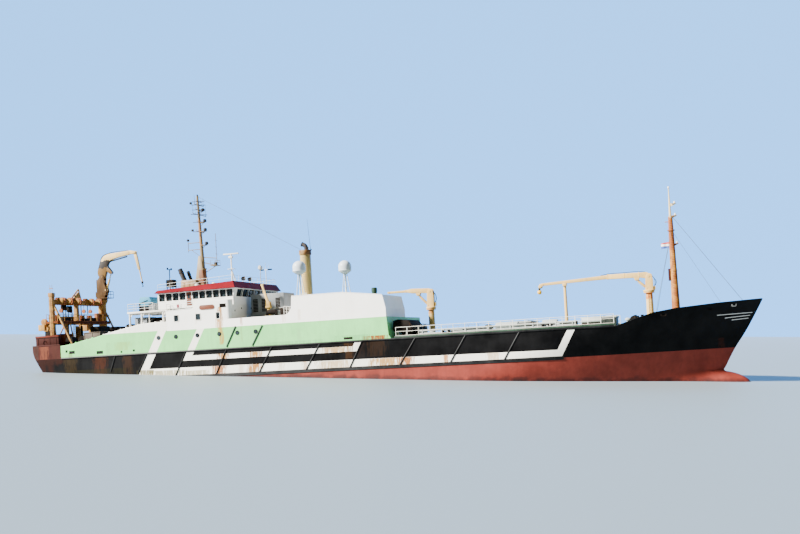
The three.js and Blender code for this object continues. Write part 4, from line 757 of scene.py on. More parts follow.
def red_marks(tree, x, y, z, colour):
    return stained(tree, x, z, colour,
                   [(-44.9, 0.8, 6.8, 4.8, 0.7, "3a1a12"), (-47.0, 1.2, 6.6, 4.8, 0.5, "7a432c"),
                    (-48.6, 0.8, 6.8, 4.8, 0.7, "33241e")])


# Red lead primer left without a top coat: dark, chalky and stained
red_primer = weathered("worn_red_primer", "35110a", rough=0.75, shine=0.1, fade=0.28, grime=0.4,
                       grime_hex="2c1812", rust=0.45, plates=1.0, marks=red_marks)
edge_row = waterline(QUARTER_TOP)
QUARTER_ROUND = 1.2
turn_x, turn_y = edge_row[0] + QUARTER_ROUND, QUARTER_ROUND - edge_row[3]
corner = [(turn_x - QUARTER_ROUND * math.sin(a), turn_y - QUARTER_ROUND * math.cos(a))
          for a in (math.pi / 2 * i / 8 for i in range(9))]
bm = carved(hull_stock([ON_DECK, 5.4, 6.1, QUARTER_TOP], 120),
            prism([(QUARTER_FORE, -RAMP_HALF - 0.1), (QUARTER_FORE, -9), (turn_x, -9), *corner,
                   (edge_row[0] - 0.01, -RAMP_HALF - 0.1)], "Z", 4, 8), operation="INTERSECT")
edge_xs = [QUARTER_FORE - 0.1 - (QUARTER_FORE - 0.1 - turn_x) * i / 8 for i in range(8)]
edge = [(x, -half_breadth(x, edge_row) + 0.05, QUARTER_TOP) for x in edge_xs]
edge += [(x + 0.05, y + 0.05, QUARTER_TOP) for x, y in corner]
add_pipe(bm, [*edge, (edge_row[0] + 0.08, -RAMP_HALF - 0.3, QUARTER_TOP)], 0.09, 8)
for x in (-49.3, -45.0):
    add_tube(bm, (x, -4.2, QUARTER_TOP), (x, -4.2, QUARTER_TOP + 0.65), 0.17, sides=16)
    add_tube(bm, (x + 0.6, -4.2, QUARTER_TOP), (x + 0.6, -4.2, QUARTER_TOP + 0.65), 0.17, sides=16)
    add_tube(bm, (x - 0.25, -4.2, QUARTER_TOP + 0.4), (x + 0.85, -4.2, QUARTER_TOP + 0.4), 0.07, sides=10)
port_side = mirrored(bm)
launch("quarter_box_stbd", bm, "root", red_primer, ["stern_quarter_stbd"])
launch("quarter_box_port", port_side, "root", red_primer, ["stern_quarter_port"])


# Bulwarks of the working deck
# Green plate with freeing ports and a ragged top edge of stanchion heads, held up inside by
# triangular brackets. It turns white above the strake's line, and carries the slanting stripe.
STRAKE_TOP = 7.7
BULWARK_TOP = [(-43.85, 6.51), (-41.9, 6.69), (-39.9, 7.13), (-38.1, 7.4), (-36.2, 7.84), (-34.4, 8.18),
               (-31.8, 8.64), (-30.5, 8.87), (-27.1, 8.98)]
BULWARK_THICK = 0.16
# centre x, foot z, length and height of each
FREEING_PORTS = [(-42.9, 5.58, 0.36, 0.34), (-42.0, 5.36, 0.95, 0.42), (-37.4, 5.12, 1.05, 0.42),
                 (-33.9, 5.1, 0.3, 0.24), (-31.9, 5.18, 0.34, 0.28)]
GREEN_STAINS = [(-18.3, 0.55, 7.7, 5.4, 0.85, "a87c2e"), (-15.3, 0.2, 7.7, 5.6, 0.25, "8e6f3c"),
                (-13.4, 0.2, 7.7, 6.0, 0.2, "8e6230"), (-33.6, 1.7, 6.6, 5.4, 0.35, "8a8a2c"),
                (-36.0, 0.5, 6.6, 5.0, 0.25, "6f8a5a"), (3.6, 2.2, 5.35, 4.8, 1.0, "804004"),
                (-42.3, 0.5, 5.5, 4.8, 0.5, "6b5328"), (-7.0, 0.4, 6.9, 5.2, 0.3, "7f9a74"),
                (0.5, 3.5, 5.6, 4.8, 0.3, "3a5a3c"), (-8.0, 6.0, 5.3, 4.8, 0.3, "44604a")]


def green_marks(tree, x, y, z, colour):
    colour = side_stripes(tree, x, y, z, colour)
    white = put(tree, "Math", [z, STRAKE_TOP + 0.1], operation="GREATER_THAN")
    colour = put(tree, "Mix", [white, colour, hex_colour("f0ede2")], data_type="RGBA")
    return stained(tree, x, z, colour, GREEN_STAINS)


def coat(verts, index):
    """Gives the faces round these vertices one of the piece's finishes."""
    for face in faces_round(verts):
        face.material_index = index


# Pale green enamel: clean and even, with grime run down from the ports
green_paint = weathered("pale_green_enamel", "79cb78", rough=0.5, fade=0.08, grime=0.22, grime_hex="5d8650",
                        rust=0.06, plates=1.2, marks=green_marks)
bulwark_side = [(-43.85, ON_DECK), *BULWARK_TOP, (-26.62, 9.0), (-26.62, 7.703), (-27.01, 7.703),
                (-27.01, ON_DECK)]
bm = carved(prism(bulwark_side, "Y", -8, -8 + BULWARK_THICK),
            *[block((x - long / 2, -9, low), (x + long / 2, -7, low + high)) for x, low, long,
              high in FREEING_PORTS])
add_pipe(bm, [(x, -7.92, z) for x, z in BULWARK_TOP], 0.07, 8)
for i in range(18):
    x = -43.2 + 0.93 * i
    top = fair(BULWARK_TOP, x)
    add_prism(bm, [(-7.86, DECK + 0.01), (-7.0, DECK + 0.01), (-7.75, top - 0.15), (-7.86, top - 0.1)], "X",
              x, x + 0.04)
    add_box(bm, (x - 0.09, -7.99, top - 0.1), (x + 0.13, -7.8, top + 0.09 + 0.06 * (i % 3)), 0.02)
port_side = mirrored(bm)
for x, low, long, high in FREEING_PORTS:
    for shutters in (bm, port_side):
        side = -1 if shutters is bm else 1
        coat(add_box(shutters, (x - long / 2 - 0.1, side * 7.88 - 0.03, low - 0.1),
                     (x + long / 2 + 0.1, side * 7.88 + 0.03, low + high + 0.1), 0.01), 1)
launch("bulwark_plate_stbd", bm, "root", [green_paint, scuffed_black], ["aft_bulwark_stbd"])
launch("bulwark_plate_port", port_side, "root", [green_paint, scuffed_black],
       ["aft_bulwark_port"])


# Deckhouse sides
# Painted welded plate, the lower strake green with portholes and the upper one white with
# round-cornered windows. A winch and pipes stand before its front, and a casing on its deck.
HOUSE_AFT, HOUSE_FORE = -27.0, 5.1
HOUSE_DECK = 8.8
BRIDGE_FLOOR = 10.75
ACC_AFT, ACC_FORE = -26.6, -16.8
PORTHOLES = [-27.9, -25.2, -21.9, -18.6, -15.9, -13.2]
# centre x and width of each
CABIN_WINDOWS = [(-25.0, 0.66), (-21.65, 0.7), (-18.65, 0.52)]


def soft_rectangle(centre, size, radius, steps=5):
    """Points round a rectangle with round corners; a circle where radius is half the size."""
    points = []
    for quarter, (a, b) in enumerate([(1, 1), (-1, 1), (-1, -1), (1, -1)]):
        corner = (centre[0] + a * (size[0] / 2 - radius), centre[1] + b * (size[1] / 2 - radius))
        for i in range(steps + 1):
            way = math.pi / 2 * (quarter + i / steps)
            points.append((corner[0] + radius * math.cos(way), corner[1] + radius * math.sin(way)))
    return points


def add_ring(bm, centre, outer, inner, axis, low, high, rim=0.0):
    """A frame round a centre, run along an axis; outer and inner are width, height and radius."""
    low, high = sorted((low, high))
    made, edges = [], []
    for wide, tall, radius in (outer, inner):
        outline = soft_rectangle(centre, (wide, tall), radius)
        verts = [bm.verts.new(on_axis(point, low, axis)) for point in outline]
        edges += [bm.edges.new((verts[i - 1], verts[i])) for i in range(len(verts))]
        made += verts
    faces = bmesh.ops.bridge_loops(bm, edges=edges)["faces"]
    copied = bmesh.ops.extrude_face_region(bm, geom=faces, use_keep_orig=True)["geom"]
    top = [item for item in copied if isinstance(item, bmesh.types.BMVert)]
    bmesh.ops.translate(bm, vec=on_axis((0, 0), high - low, axis), verts=top)
    return rounded(bm, made + top, rim)


def white_marks(tree, x, y, z, colour):
    return stained(tree, x, z, colour,
                   [(-18.35, 0.6, 10.5, 7.7, 0.9, "a8701e"), (-18.9, 0.3, 9.2, 7.7, 0.5, "b88442"),
                    (-15.2, 0.25, 8.8, 7.8, 0.6, "94501c"), (-6.8, 0.3, 9.4, 8.0, 0.25, "b08a52"),
                    (-9.0, 0.4, 8.8, 7.8, 0.3, "b59460"), (-22.0, 0.3, 10.0, 8.4, 0.2, "b5a078")])


# White enamel of the house: bright, with a few rust runs from its fittings
white_enamel = weathered("white_ship_enamel", "f7f5ee", rough=0.45, fade=0.03, grime=0.1,
                         grime_hex="b7ab93", rust=0.04, rust_hex="b5732f", plates=1.0, marks=white_marks)
# White paint on small fittings: a little yellow, rusted at the edges
white_fittings = weathered("white_fitting_paint", "dedad0", rough=0.5, fade=0.05, grime=0.25,
                           grime_hex="a89b82", rust=0.25)
# Black bitumen paint on gear: nearly matt, so it reads as one dark shape
dark_fittings = weathered("dark_fitting_paint", "16110d", rough=0.75, shine=0.04, fade=0.3, grime=0.35,
                          grime_hex="3a2c1e", rust=0.3)

# Window glass seen from outside by day: painted dark as painted shade of the rooms behind it, paler in
# patches, with a cool sheen
dark_glass, tree, shader = new_finish("dark_window_glass")
place = ship_place(tree)[0]
room = put(tree, "TexNoise", {"Vector": place, "Scale": 1.3, "Detail": 2.0})
pale = put(tree, "MapRange", [room, 0.4, 0.62])
tone = put(tree, "Mix", [pale, hex_colour("0a0e10"), hex_colour("2a3438")], data_type="RGBA")
feed(tree, shader, {"Base Color": tone, "Roughness": 0.06, "Specular IOR Level": 0.25})


def decked(bm, low=-20, index=1):
    """Gives the faces that lie level and look up, from a height on, their own finish."""
    bm.normal_update()
    for face in bm.faces:
        if face.normal.z > 0.95 and face.calc_center_median().z > low:
            face.material_index = index


bm = bmesh.new()
add_prism(bm, [(HOUSE_AFT, ON_DECK), (5.7, ON_DECK), (5.45, 5.05), (5.28, 5.35), (HOUSE_FORE, STRAKE_TOP),
               (HOUSE_AFT, STRAKE_TOP)], "Y", -HALF_BEAM, HALF_BEAM)
decked(bm)
launch("house_green_strake", bm, "root", [green_paint, deck_green], ["house_lower"])


def add_rungs(bm, a, b, rise, count):
    """Ladder rungs 40 mm thick, the first from a to b and each next one higher by rise."""
    for i in range(count):
        add_tube(bm, (a[0], a[1], a[2] + rise * i), (b[0], b[1], b[2] + rise * i), 0.02, sides=6)


def add_rail(bm, path, heights, spacing=1.3, post=0.035, bar=0.024):
    """Stanchions along a path on the deck, with bars at these heights over it."""
    for height in heights:
        add_pipe(bm, [(x, y, z + height) for x, y, z in path], post if height == heights[-1] else bar)
    for a, b in zip(path, path[1:]):
        a, b = Vector(a), Vector(b)
        count = max(1, round((b - a).length / spacing))
        for i in range(count + 1):
            foot = a.lerp(b, i / count)
            add_tube(bm, foot, foot + Vector((0, 0, heights[-1])), post, sides=8)


# the accommodation's front is set back at port, under the deck over it
RECESS_AFT, RECESS_SIDE, RECESS_TOP = -18.6, 2.7, 10.45
HOUSE_STEP = -8.5
CORNER = 0.55
bm = prism([(ACC_AFT, HOUSE_DECK), (ACC_FORE, HOUSE_DECK), (ACC_FORE, BRIDGE_FLOOR), (-21.5, BRIDGE_FLOOR),
            (-21.5, 10.66), (ACC_AFT, 10.45)], "Y", -HALF_BEAM, HALF_BEAM)
front_edges = [edge for edge in bm.edges
               if all(v.co.x > ACC_FORE - 0.01 and abs(v.co.y) > 7.9 for v in edge.verts)
               and edge.verts[0].co.y * edge.verts[1].co.y > 0]
bmesh.ops.bevel(bm, geom=front_edges, offset=CORNER, segments=6, profile=0.5, affect="EDGES", material=-1)
bm = carved(bm, block((RECESS_AFT, RECESS_SIDE, HOUSE_DECK + 0.002), (-15, 9, RECESS_TOP)))
add_box(bm, (ACC_AFT, -HALF_BEAM, STRAKE_TOP + CLEAR), (HOUSE_STEP, HALF_BEAM, HOUSE_DECK))
add_box(bm, (HOUSE_STEP, -HALF_BEAM, STRAKE_TOP + CLEAR), (5.08, 0.7, HOUSE_DECK))
add_tube(bm, (-16.95, 7.7, HOUSE_DECK), (-16.95, 7.7, RECESS_TOP), 0.09)
for side in (-1, 1):
    # wing screen, its plate bent round the fore corner
    outer = [(-21.6, side * 8.01), (ACC_FORE - CORNER, side * 8.01)]
    inner = [(-21.6, side * 7.9), (ACC_FORE - CORNER, side * 7.9)]
    for step in range(1, 7):
        way = math.pi / 2 * step / 6
        for path, reach in ((outer, CORNER + 0.01), (inner, CORNER - 0.1)):
            path.append((ACC_FORE - CORNER + reach * math.sin(way),
                         side * (8 - CORNER + reach * math.cos(way))))
    outer.append((ACC_FORE + 0.01, side * 7.15))
    inner.append((ACC_FORE - 0.1, side * 7.15))
    add_prism(bm, outer + inner[::-1], "Z", 10.5, 11.36)
    add_prism(bm, [(-22.5, 10.42), (-21.6, 11.22), (-21.6, 10.42)], "Y", side * 7.9, side * 8.01)
    add_pipe(bm,
             [(-22.5, side * 7.96, 10.45), (-21.6, side * 7.96, 11.27),
              *[(x, y - side * 0.05, 11.38) for x, y in outer[1:]]], 0.045)
    # gutter bars along the deck edges
    add_pipe(bm, [(ACC_AFT, side * 8.0, 10.45), (-22.5, side * 8.0, 10.55)], 0.05)
    add_rail(bm, [(-26.5, side * 7.93, 10.45), (-22.4, side * 7.93, 10.6)], (0.35, 0.65, 0.95), 1.0)
add_rail(bm, [(-26.5, -7.9, 10.45), (-26.5, -7.1, 10.45)], (0.35, 0.65, 0.95), 1.0)
decked(bm)
launch("house_white_strake", bm, "root", [white_enamel, deck_green], ["house_upper"])

swoop = [(-8.9, HOUSE_DECK), (-8.5, 8.93), (-8.17, 9.22), (-7.97, 9.6), (-7.9, 9.95)]
bm = bmesh.new()
add_prism(bm, [*swoop, (-7.8, 11.2), (-0.7, 11.2), (4.7, 10.54), (5.08, HOUSE_DECK)], "Y", -HALF_BEAM, 0.7)
add_pipe(bm, [(-7.8, -8.0, 11.2), (-0.7, -8.0, 11.2), (4.7, -8.0, 10.54)], 0.04)
# coaming and green mushroom vent on its roof, and a ladder up its aft end
add_ring(bm, (-4.2, -3.0), (2.2, 1.6, 0.1), (2.0, 1.4, 0.08), "Z", 11.19, 11.45)
add_box(bm, (-5.2, -3.7, 11.4), (-3.2, -2.3, 11.5), 0.03)
add_rungs(bm, (-8.02, -4.3, 9.3), (-8.02, -3.9, 9.3), 0.28, 7)
for y in (-4.3, -3.9):
    add_pipe(bm,
             [(-8.2, y, 8.85), (-8.05, y, 9.3), (-8.02, y, 11.2), (-7.8, y, 11.7), (-7.3, y, 11.7),
              (-7.2, y, 11.2)], 0.025)
decked(bm, 10)
launch("side_house_shell", bm, "root", [white_enamel, deck_green], ["side_house_stbd"])

bm = bmesh.new()
add_turned(bm, [(0, 0), (0.34, 0), (0.34, 0.3), (0.38, 0.32), (0.38, 0.78), (0.3, 0.88), (0, 0.9)],
           (2.4, -4.0, 10.85), "Z", 24)
launch("green_mushroom_vent", bm, "root", dark_green_bar)

frames, panes = bmesh.new(), bmesh.new()
for side in (-1, 1):
    face_y = side * HALF_BEAM
    out = side * 0.035
    low, high = sorted((face_y - side * 0.02, face_y + out))
    for x in PORTHOLES:
        rim = len(frames.verts)
        add_ring(frames, (x, 6.85), (0.6, 0.6, 0.3), (0.46, 0.46, 0.23), "Y", low, high, 0.012)
        frames.verts.ensure_lookup_table()
        coat(frames.verts[rim:], 1)
        add_prism(panes, soft_rectangle((x, 6.85), (0.48, 0.48), 0.24), "Y", low + 0.005, high - 0.02)
    for x, wide in CABIN_WINDOWS:
        add_ring(frames, (x, 9.35), (wide + 0.18, 1.02, 0.13), (wide, 0.84, 0.1), "Y", low, high, 0.012)
        add_prism(panes, soft_rectangle((x, 9.35), (wide + 0.02, 0.86), 0.1), "Y", low + 0.005, high - 0.02)
for y, z in ((-6.6, 9.9), (-4.6, 10.25), (-1.6, 10.3), (0.6, 9.4)):
    add_ring(frames, (y, z), (0.34, 0.34, 0.17), (0.24, 0.24, 0.12), "X", ACC_FORE - 0.02, ACC_FORE + 0.03,
             0.01)
    add_prism(panes, soft_rectangle((y, z), (0.26, 0.26), 0.13), "X", ACC_FORE - 0.01, ACC_FORE + 0.015)
launch("house_window_frames", frames, "root", [white_fittings, dark_fittings])
launch("house_window_panes", panes, "root", dark_glass)

# what stands before the house front: a mooring winch between plates, lockers and white pipes, the gear near
# black in part as painted shade of the house front
bm = bmesh.new()
add_tube(bm, (7.2, -5.9, 5.75), (7.2, -2.6, 5.75), 0.5, sides=28)
for y in (-6.1, -4.3, -2.5):
    add_turned(bm, [(0, -0.05), (0.82, -0.05), (0.82, 0.05), (0, 0.05)], (7.2, y, 5.75), "Y", 32)
    add_prism(bm, [(6.5, ON_DECK), (7.9, ON_DECK), (7.4, 5.9), (7.0, 5.9)], "Y", y + 0.1, y + 0.22, 0.02)
add_box(bm, (5.75, -2.2, ON_DECK), (6.9, 1.2, 6.9), 0.05)
add_box(bm, (5.6, 3.4, ON_DECK), (6.6, 6.4, 6.5), 0.05)
add_prism(bm, [(5.55, 5.8), (8.0, 5.8), (8.1, 6.4), (7.6, 7.1), (6.2, 7.25), (5.55, 7.1)], "Y", -6.7, -1.6,
          0.05)
launch("fore_house_winch", bm, "root", dark_fittings)
bm = bmesh.new()
for y, x in ((-6.4, 6.2), (-5.0, 5.9), (-3.4, 8.2), (-1.0, 8.0)):
    add_pipe(bm, [(x, y, DECK), (x, y, 6.3), (x + 0.5, y, 6.5), (x + 0.9, y, 6.2), (x + 0.9, y, DECK)],
             0.06, 8, True)
launch("fore_house_pipes", bm, "root", white_fittings)

# engine casing, louvred lockers and a winch on the house deck, with a rail along its edge
CASING = ((-15.9, -3.4), (-10.9, 0.3), 12.1)
bm = bmesh.new()
add_box(bm, (*CASING[0], HOUSE_DECK + CLEAR), (*CASING[1], CASING[2]), 0.06)
for x in (-15.2, -13.9, -11.8):
    coat(add_ring(bm, (x, 10.5), (0.9, 2.0, 0.08), (0.74, 1.84, 0.05), "Y", -3.45, -3.39), 0)
    # the slats are dark: painted shade between the louvre blades
    for i in range(9):
        coat(add_box(bm, (x - 0.37, -3.44, 9.66 + 0.2 * i), (x + 0.37, -3.39, 9.8 + 0.2 * i), 0.01), 1)
coat(add_box(bm, (-10.6, -5.6, HOUSE_DECK + CLEAR), (-9.2, -4.4, 9.9), 0.05), 1)
coat(add_tube(bm, (-11.9, -6.6, 9.35), (-10.7, -6.6, 9.35), 0.34, sides=24), 1)
for x in (-12.0, -10.7):
    coat(add_box(bm, (x - 0.05, -6.95, HOUSE_DECK), (x + 0.05, -6.25, 9.6), 0.02), 1)
steel = set(bm.verts)
for side in (-1, 1):
    turn = (-9.0, side * 4.4, HOUSE_DECK)
    for end in ((-12.0, side * 4.4, HOUSE_DECK), (-9.0, side * 7.9, HOUSE_DECK)):
        add_rail(bm, [end, turn] if end[0] < turn[0] else [turn, end], (0.4, 0.8, 1.15), 1.0, 0.03, 0.022)
coat([vert for vert in bm.verts if vert not in steel], 2)
# Grey enamel of the engine casing: middling, dirty
casing_grey = weathered("grey_casing_paint", "7c8082", rough=0.6, fade=0.15, grime=0.4, rust=0.3)
launch("house_deck_casing", bm, "root", [casing_grey, dark_fittings, white_fittings])


# Wheelhouse
# One welded white shell on the accommodation, its windows bedded in dark rubber under a moulding,
# with two brown doors, a steering console, and a wing screen and walkway on either side.
BRIDGE_AFT, BRIDGE_HALF = -28.3, 7.0
SILL, HEAD = 11.93, 12.8
SIDE_WINDOWS = [0.25, 1.35, 2.4, 3.45, 5.47, 6.51, 7.56, 8.61, 9.66, 10.68]
SIDE_WINDOW_LONG = 0.78
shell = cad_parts["wheelhouse_shell"]
shell.data.materials.clear()
shell.data.materials.append(white_enamel)

# Toughened glass of the wheelhouse: see-through, faintly grey, reflecting the sky
clear_glass, tree, shader = new_finish("wheelhouse_glass")
place = ship_place(tree)[0]
salt = put(tree, "TexNoise", {"Vector": place, "Scale": 2.0, "Detail": 4.0})
tone = put(tree, "Mix", [salt, hex_colour("1b2529"), hex_colour("3f4e52")], data_type="RGBA")
gloss = put(tree, "MapRange", [salt, 0.4, 0.8, 0.04, 0.14])
feed(tree, shader, {"Base Color": tone, "Roughness": gloss, "IOR": 1.5, "Transmission Weight": 0.35})
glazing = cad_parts["wheelhouse_glazing"]
glazing.data.materials.clear()
glazing.data.materials.append(clear_glass)

# Laminate and vinyl of the console: grey-brown, even
console_vinyl = weathered("console_vinyl", "3a3632", rough=0.6, fade=0.1, grime=0.1, rust=0.0)
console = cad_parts["wheelhouse_console"]
console.data.materials.clear()
console.data.materials.append(console_vinyl)
# Brown enamel of doors and nameboards: low gloss, like stained wood from afar
brown_enamel = weathered("brown_door_paint", "6b3a26", rough=0.45, fade=0.12, grime=0.25, rust=0.1)

rubber = bmesh.new()
for side in (-1, 1):
    face_y = side * BRIDGE_HALF
    low, high = sorted((face_y - side * 0.05, face_y + side * 0.03))
    for start in SIDE_WINDOWS:
        centre = (BRIDGE_AFT + start + SIDE_WINDOW_LONG / 2, (SILL + HEAD) / 2)
        add_ring(rubber, centre, (SIDE_WINDOW_LONG + 0.12, HEAD - SILL + 0.12, 0.1),
                 (SIDE_WINDOW_LONG - 0.06, HEAD - SILL - 0.06, 0.08), "Y", low, high, 0.01)
# the front leans out above its knee, so its rubbers are made upright and then sheared
FRONT_WINDOWS = [-6.1 + 1.82 * i for i in range(7)]
FRONT_WINDOW_WIDE = 1.5
BRIDGE_FORE, KNEE, LEAN = -16.75, 11.78, 0.2869
front = bmesh.new()
for start in FRONT_WINDOWS:
    centre = (start + FRONT_WINDOW_WIDE / 2, (SILL + HEAD) / 2)
    add_ring(front, centre, (FRONT_WINDOW_WIDE + 0.12, HEAD - SILL + 0.12, 0.1),
             (FRONT_WINDOW_WIDE - 0.06, HEAD - SILL - 0.06, 0.08), "X", BRIDGE_FORE - 0.05, BRIDGE_FORE
             + 0.03, 0.01)
    add_tube(front, (BRIDGE_FORE + 0.07, centre[0] + 0.25, HEAD),
             (BRIDGE_FORE + 0.07, centre[0] - 0.1, SILL + 0.3), 0.02, sides=6)
for vert in front.verts:
    vert.co.x += max(0, vert.co.z - KNEE) * LEAN
for start in (-5.5, -3.3, 2.1, 4.3):
    centre = (start + 0.6, (SILL + HEAD) / 2)
    add_ring(rubber, centre, (1.32, HEAD - SILL + 0.12, 0.1), (1.14, HEAD - SILL - 0.06, 0.08), "X",
             BRIDGE_AFT - 0.03, BRIDGE_AFT + 0.05, 0.01)
launch("side_window_rubbers", rubber, "root", dark_fittings)
launch("front_window_rubbers", front, "root", dark_fittings)

bm = bmesh.new()
for side in (-1, 1):
    add_pipe(bm,
             [(BRIDGE_AFT, side * 7.0, 11.75), (BRIDGE_FORE, side * 7.0, 11.75), (BRIDGE_FORE, 0, 11.75)],
             0.035)
    add_pipe(bm, [(BRIDGE_AFT, side * 7.0, 12.93), (-16.42, side * 7.0, 12.93)], 0.03)
add_pipe(bm, [(BRIDGE_AFT, -7.0, 11.75), (BRIDGE_AFT, 7.0, 11.75)], 0.035)
launch("wheelhouse_mouldings", bm, "root", white_enamel)

DOOR_AFT, DOOR_FORE = -23.8, -23.11
for name, side in (("stbd", -1), ("port", 1)):
    bm = bmesh.new()
    middle = (DOOR_AFT + DOOR_FORE) / 2
    add_prism(bm, soft_rectangle((middle, 11.925), (0.69, 1.89), 0.07), "Y", side * 6.935, side * 7.03,
              0.012)
    low, high = sorted((side * 7.02, side * 7.045))
    add_ring(bm, (middle, 12.3), (0.46, 0.66, 0.1), (0.36, 0.56, 0.07), "Y", low, high)
    add_ring(bm, (middle, 11.45), (0.5, 0.74, 0.06), (0.42, 0.66, 0.04), "Y", low, high)
    coat(add_prism(bm, soft_rectangle((middle, 12.3), (0.38, 0.58), 0.07), "Y", low - 0.002, high - 0.018),
         1)
    for z in (11.1, 11.8, 12.45):
        add_tube(bm, (DOOR_FORE + 0.03, side * 7.038, z), (DOOR_FORE + 0.03, side * 7.038, z + 0.25), 0.034,
                 sides=12)
    coat(add_tube(bm, (DOOR_AFT + 0.1, side * 7.06, 11.85), (DOOR_AFT + 0.24, side * 7.06, 11.85), 0.018,
                  sides=8), 2)
    launch(f"wheelhouse_door_leaf_{name}", bm, f"door_{name}", [brown_enamel, dark_glass, white_fittings],
           [f"wheelhouse_door_{name}"])

# blank oval nameboard, louvre at the front corner and the light screen on the walkway rail
bm = bmesh.new()
for side in (-1, 1):
    middle = (-20.25, 10.57)
    add_prism(bm, soft_rectangle(middle, (2.2, 0.56), 0.27), "Y", side * 8.0, side * 8.05, 0.02)
    add_ring(bm, middle, (2.28, 0.64, 0.31), (2.1, 0.46, 0.22), "Y", side * 8.0, side * 8.07, 0.01)
launch("carved_nameboards", bm, "root", brown_enamel)

# Red enamel of the port side light's screen and of the recess door: plain, hardly rusted
light_screen_red = weathered("red_fitting_paint", "7b2333", rough=0.5, rust=0.1)
bm = bmesh.new()
for side in (-1, 1):
    low, high = sorted((side * 7.99, side * 8.025))
    # the louvre at the front corner: backing plate and slats dark, painted shade inside the louvre
    coat(add_box(bm, (-18.35, low, 10.42), (ACC_FORE - CORNER - 0.02, high, 10.92), 0.01), 1)
    coat(add_box(bm, (-0.8, low, 5.08), (0.4, high, 5.37), 0.01), 1)
    for i in range(6):
        coat(add_box(bm, (-18.3, low, 10.4 + 0.09 * i),
                     (ACC_FORE - CORNER - 0.07, high + side * 0.02, 10.44 + 0.09 * i)), 1)
add_box(bm, (-24.8, -8.02, 10.76), (-24.45, -7.97, 11.26), 0.01)
coat(add_box(bm, (-24.45, -8.02, 10.76), (-24.1, -7.97, 11.26), 0.01), 2)
add_box(bm, (RECESS_AFT, 3.1, HOUSE_DECK + 0.06), (RECESS_AFT + 0.06, 3.95, 10.4), 0.02)
launch("house_small_fittings", bm, "root", [light_screen_red, dark_fittings, white_fittings])


# Crimson visor and monkey island
# A welded brow round the wheelhouse roof, its faces leaning in to the top, in faded crimson. The
# roof inside its rim is a tray with rails, lamps and casings round the foot of the mast.
VISOR_AFT = (-28.5, -28.35)
VISOR_FORE = (-16.15, -16.65)
VISOR_HALF = (7.6, 7.05)
VISOR_FOOT = 13.003
VISOR_TOP_AFT, VISOR_TOP_FORE = 13.41, 13.95
ROOF_TRAY = 13.32
# Crimson enamel bleached by the sun: deep red without shine
crimson = weathered("faded_crimson_enamel", "660310", rough=0.6, shine=0.05, fade=0.16, grime=0.14,
                    grime_hex="4a0c18", rust=0.06, plates=0.8)
# Grey roof paint: matt and stained by soot
roof_grey = weathered("grey_roof_paint", "a5a8a4", rough=0.75, fade=0.12, grime=0.4, rust=0.25)

bm = bmesh.new()
for vert in bmesh.ops.create_cube(bm, size=2)["verts"]:
    top = vert.co.z > 0
    fore = vert.co.x > 0
    x = (VISOR_FORE if fore else VISOR_AFT)[top]
    z = (VISOR_TOP_FORE if fore else VISOR_TOP_AFT) if top else VISOR_FOOT
    vert.co = (x, math.copysign(VISOR_HALF[top], vert.co.y), z)
lid = max(bm.faces, key=lambda face: face.calc_center_median().z)
bmesh.ops.inset_region(bm, faces=[lid], thickness=0.12)
sunk = bmesh.ops.extrude_face_region(bm, geom=[lid])["geom"]
if lid.is_valid:
    bm.faces.remove(lid)
for item in sunk:
    if isinstance(item, bmesh.types.BMVert):
        item.co.z = ROOF_TRAY
for face in bm.faces:
    if face.normal.z > 0.7 and face.calc_center_median().z < ROOF_TRAY + 0.1:
        face.material_index = 1
launch("crimson_visor", bm, "root", [crimson, roof_grey], ["wheelhouse_roof"])

bm = bmesh.new()
corners = [(-28.25, -6.95, 13.42), (-16.8, -6.95, 13.95), (-16.8, 6.95, 13.95), (-28.25, 6.95, 13.42),
           (-28.25, -6.95, 13.42)]
add_rail(bm, corners, (0.4, 0.8), 2.0, 0.022, 0.016)
launch("roof_rails", bm, "root", white_fittings)

# lamp post, small dome, aerial post and searchlights, a ventilator row and a black locker
LAMP = [(0, 0), (0.09, 0), (0.12, 0.04), (0.12, 0.2), (0.07, 0.26), (0, 0.26)]
bm = bmesh.new()
coat(add_tube(bm, (-28.05, -4, ROOF_TRAY), (-28.05, -4, 16.6), 0.085, 0.06), 1)
coat(add_tube(bm, (-28.05, -4.55, 16.5), (-28.05, -3.45, 16.5), 0.05), 1)
add_pipe(bm, [(-28.05, -4, 15.4), (-27.4, -4, 14.3), (-27.0, -4, ROOF_TRAY)], 0.035)
for y in (-4.5, -3.5):
    coat(add_turned(bm, LAMP, (-28.05, y, 16.5), "Z", 12), 1)
add_tube(bm, (-18, 4.6, ROOF_TRAY), (-18, 4.6, 16.3), 0.055)
add_turned(bm,
           [(0, -0.32), (0.2, -0.3), (0.3, -0.24), (0.33, -0.05), (0.31, 0.08), (0.22, 0.24), (0.1, 0.31),
            (0, 0.33)], (-18, 4.6, 16.55), "Z", 24)
add_tube(bm, (-18, 6.5, ROOF_TRAY), (-18, 6.5, 16.3), 0.05)
for low, high in ((-19.0, -18.3), (-17.7, -17.0)):
    coat(add_box(bm, (low, 6.4, 16.22), (high, 6.6, 16.42), 0.02), 1)
add_box(bm, (-18.6, 6.46, 16.28), (-17.4, 6.54, 16.36), 0.01)
for x in (-18.5, -18.0, -17.5):
    add_tube(bm, (x, 6.5, 16.3), (x, 6.5, 16.9 if x != -18.0 else 17.4), 0.02, sides=6)
for y in (-2, 0):
    add_tube(bm, (-17.6, y, ROOF_TRAY), (-17.6, y, 14.3), 0.06)
    coat(add_turned(bm,
                    [(0, -0.25), (0.18, -0.24), (0.26, -0.1), (0.3, 0.25), (0.26, 0.25), (0.22, 0.2),
                     (0, 0.2)], (-17.6, y, 14.55), "X", 20), 1)
    coat(add_ring(bm, (-17.6, 14.5), (0.16, 0.5, 0.06), (0.08, 0.42, 0.03), "Y", y - 0.33, y - 0.29), 1)
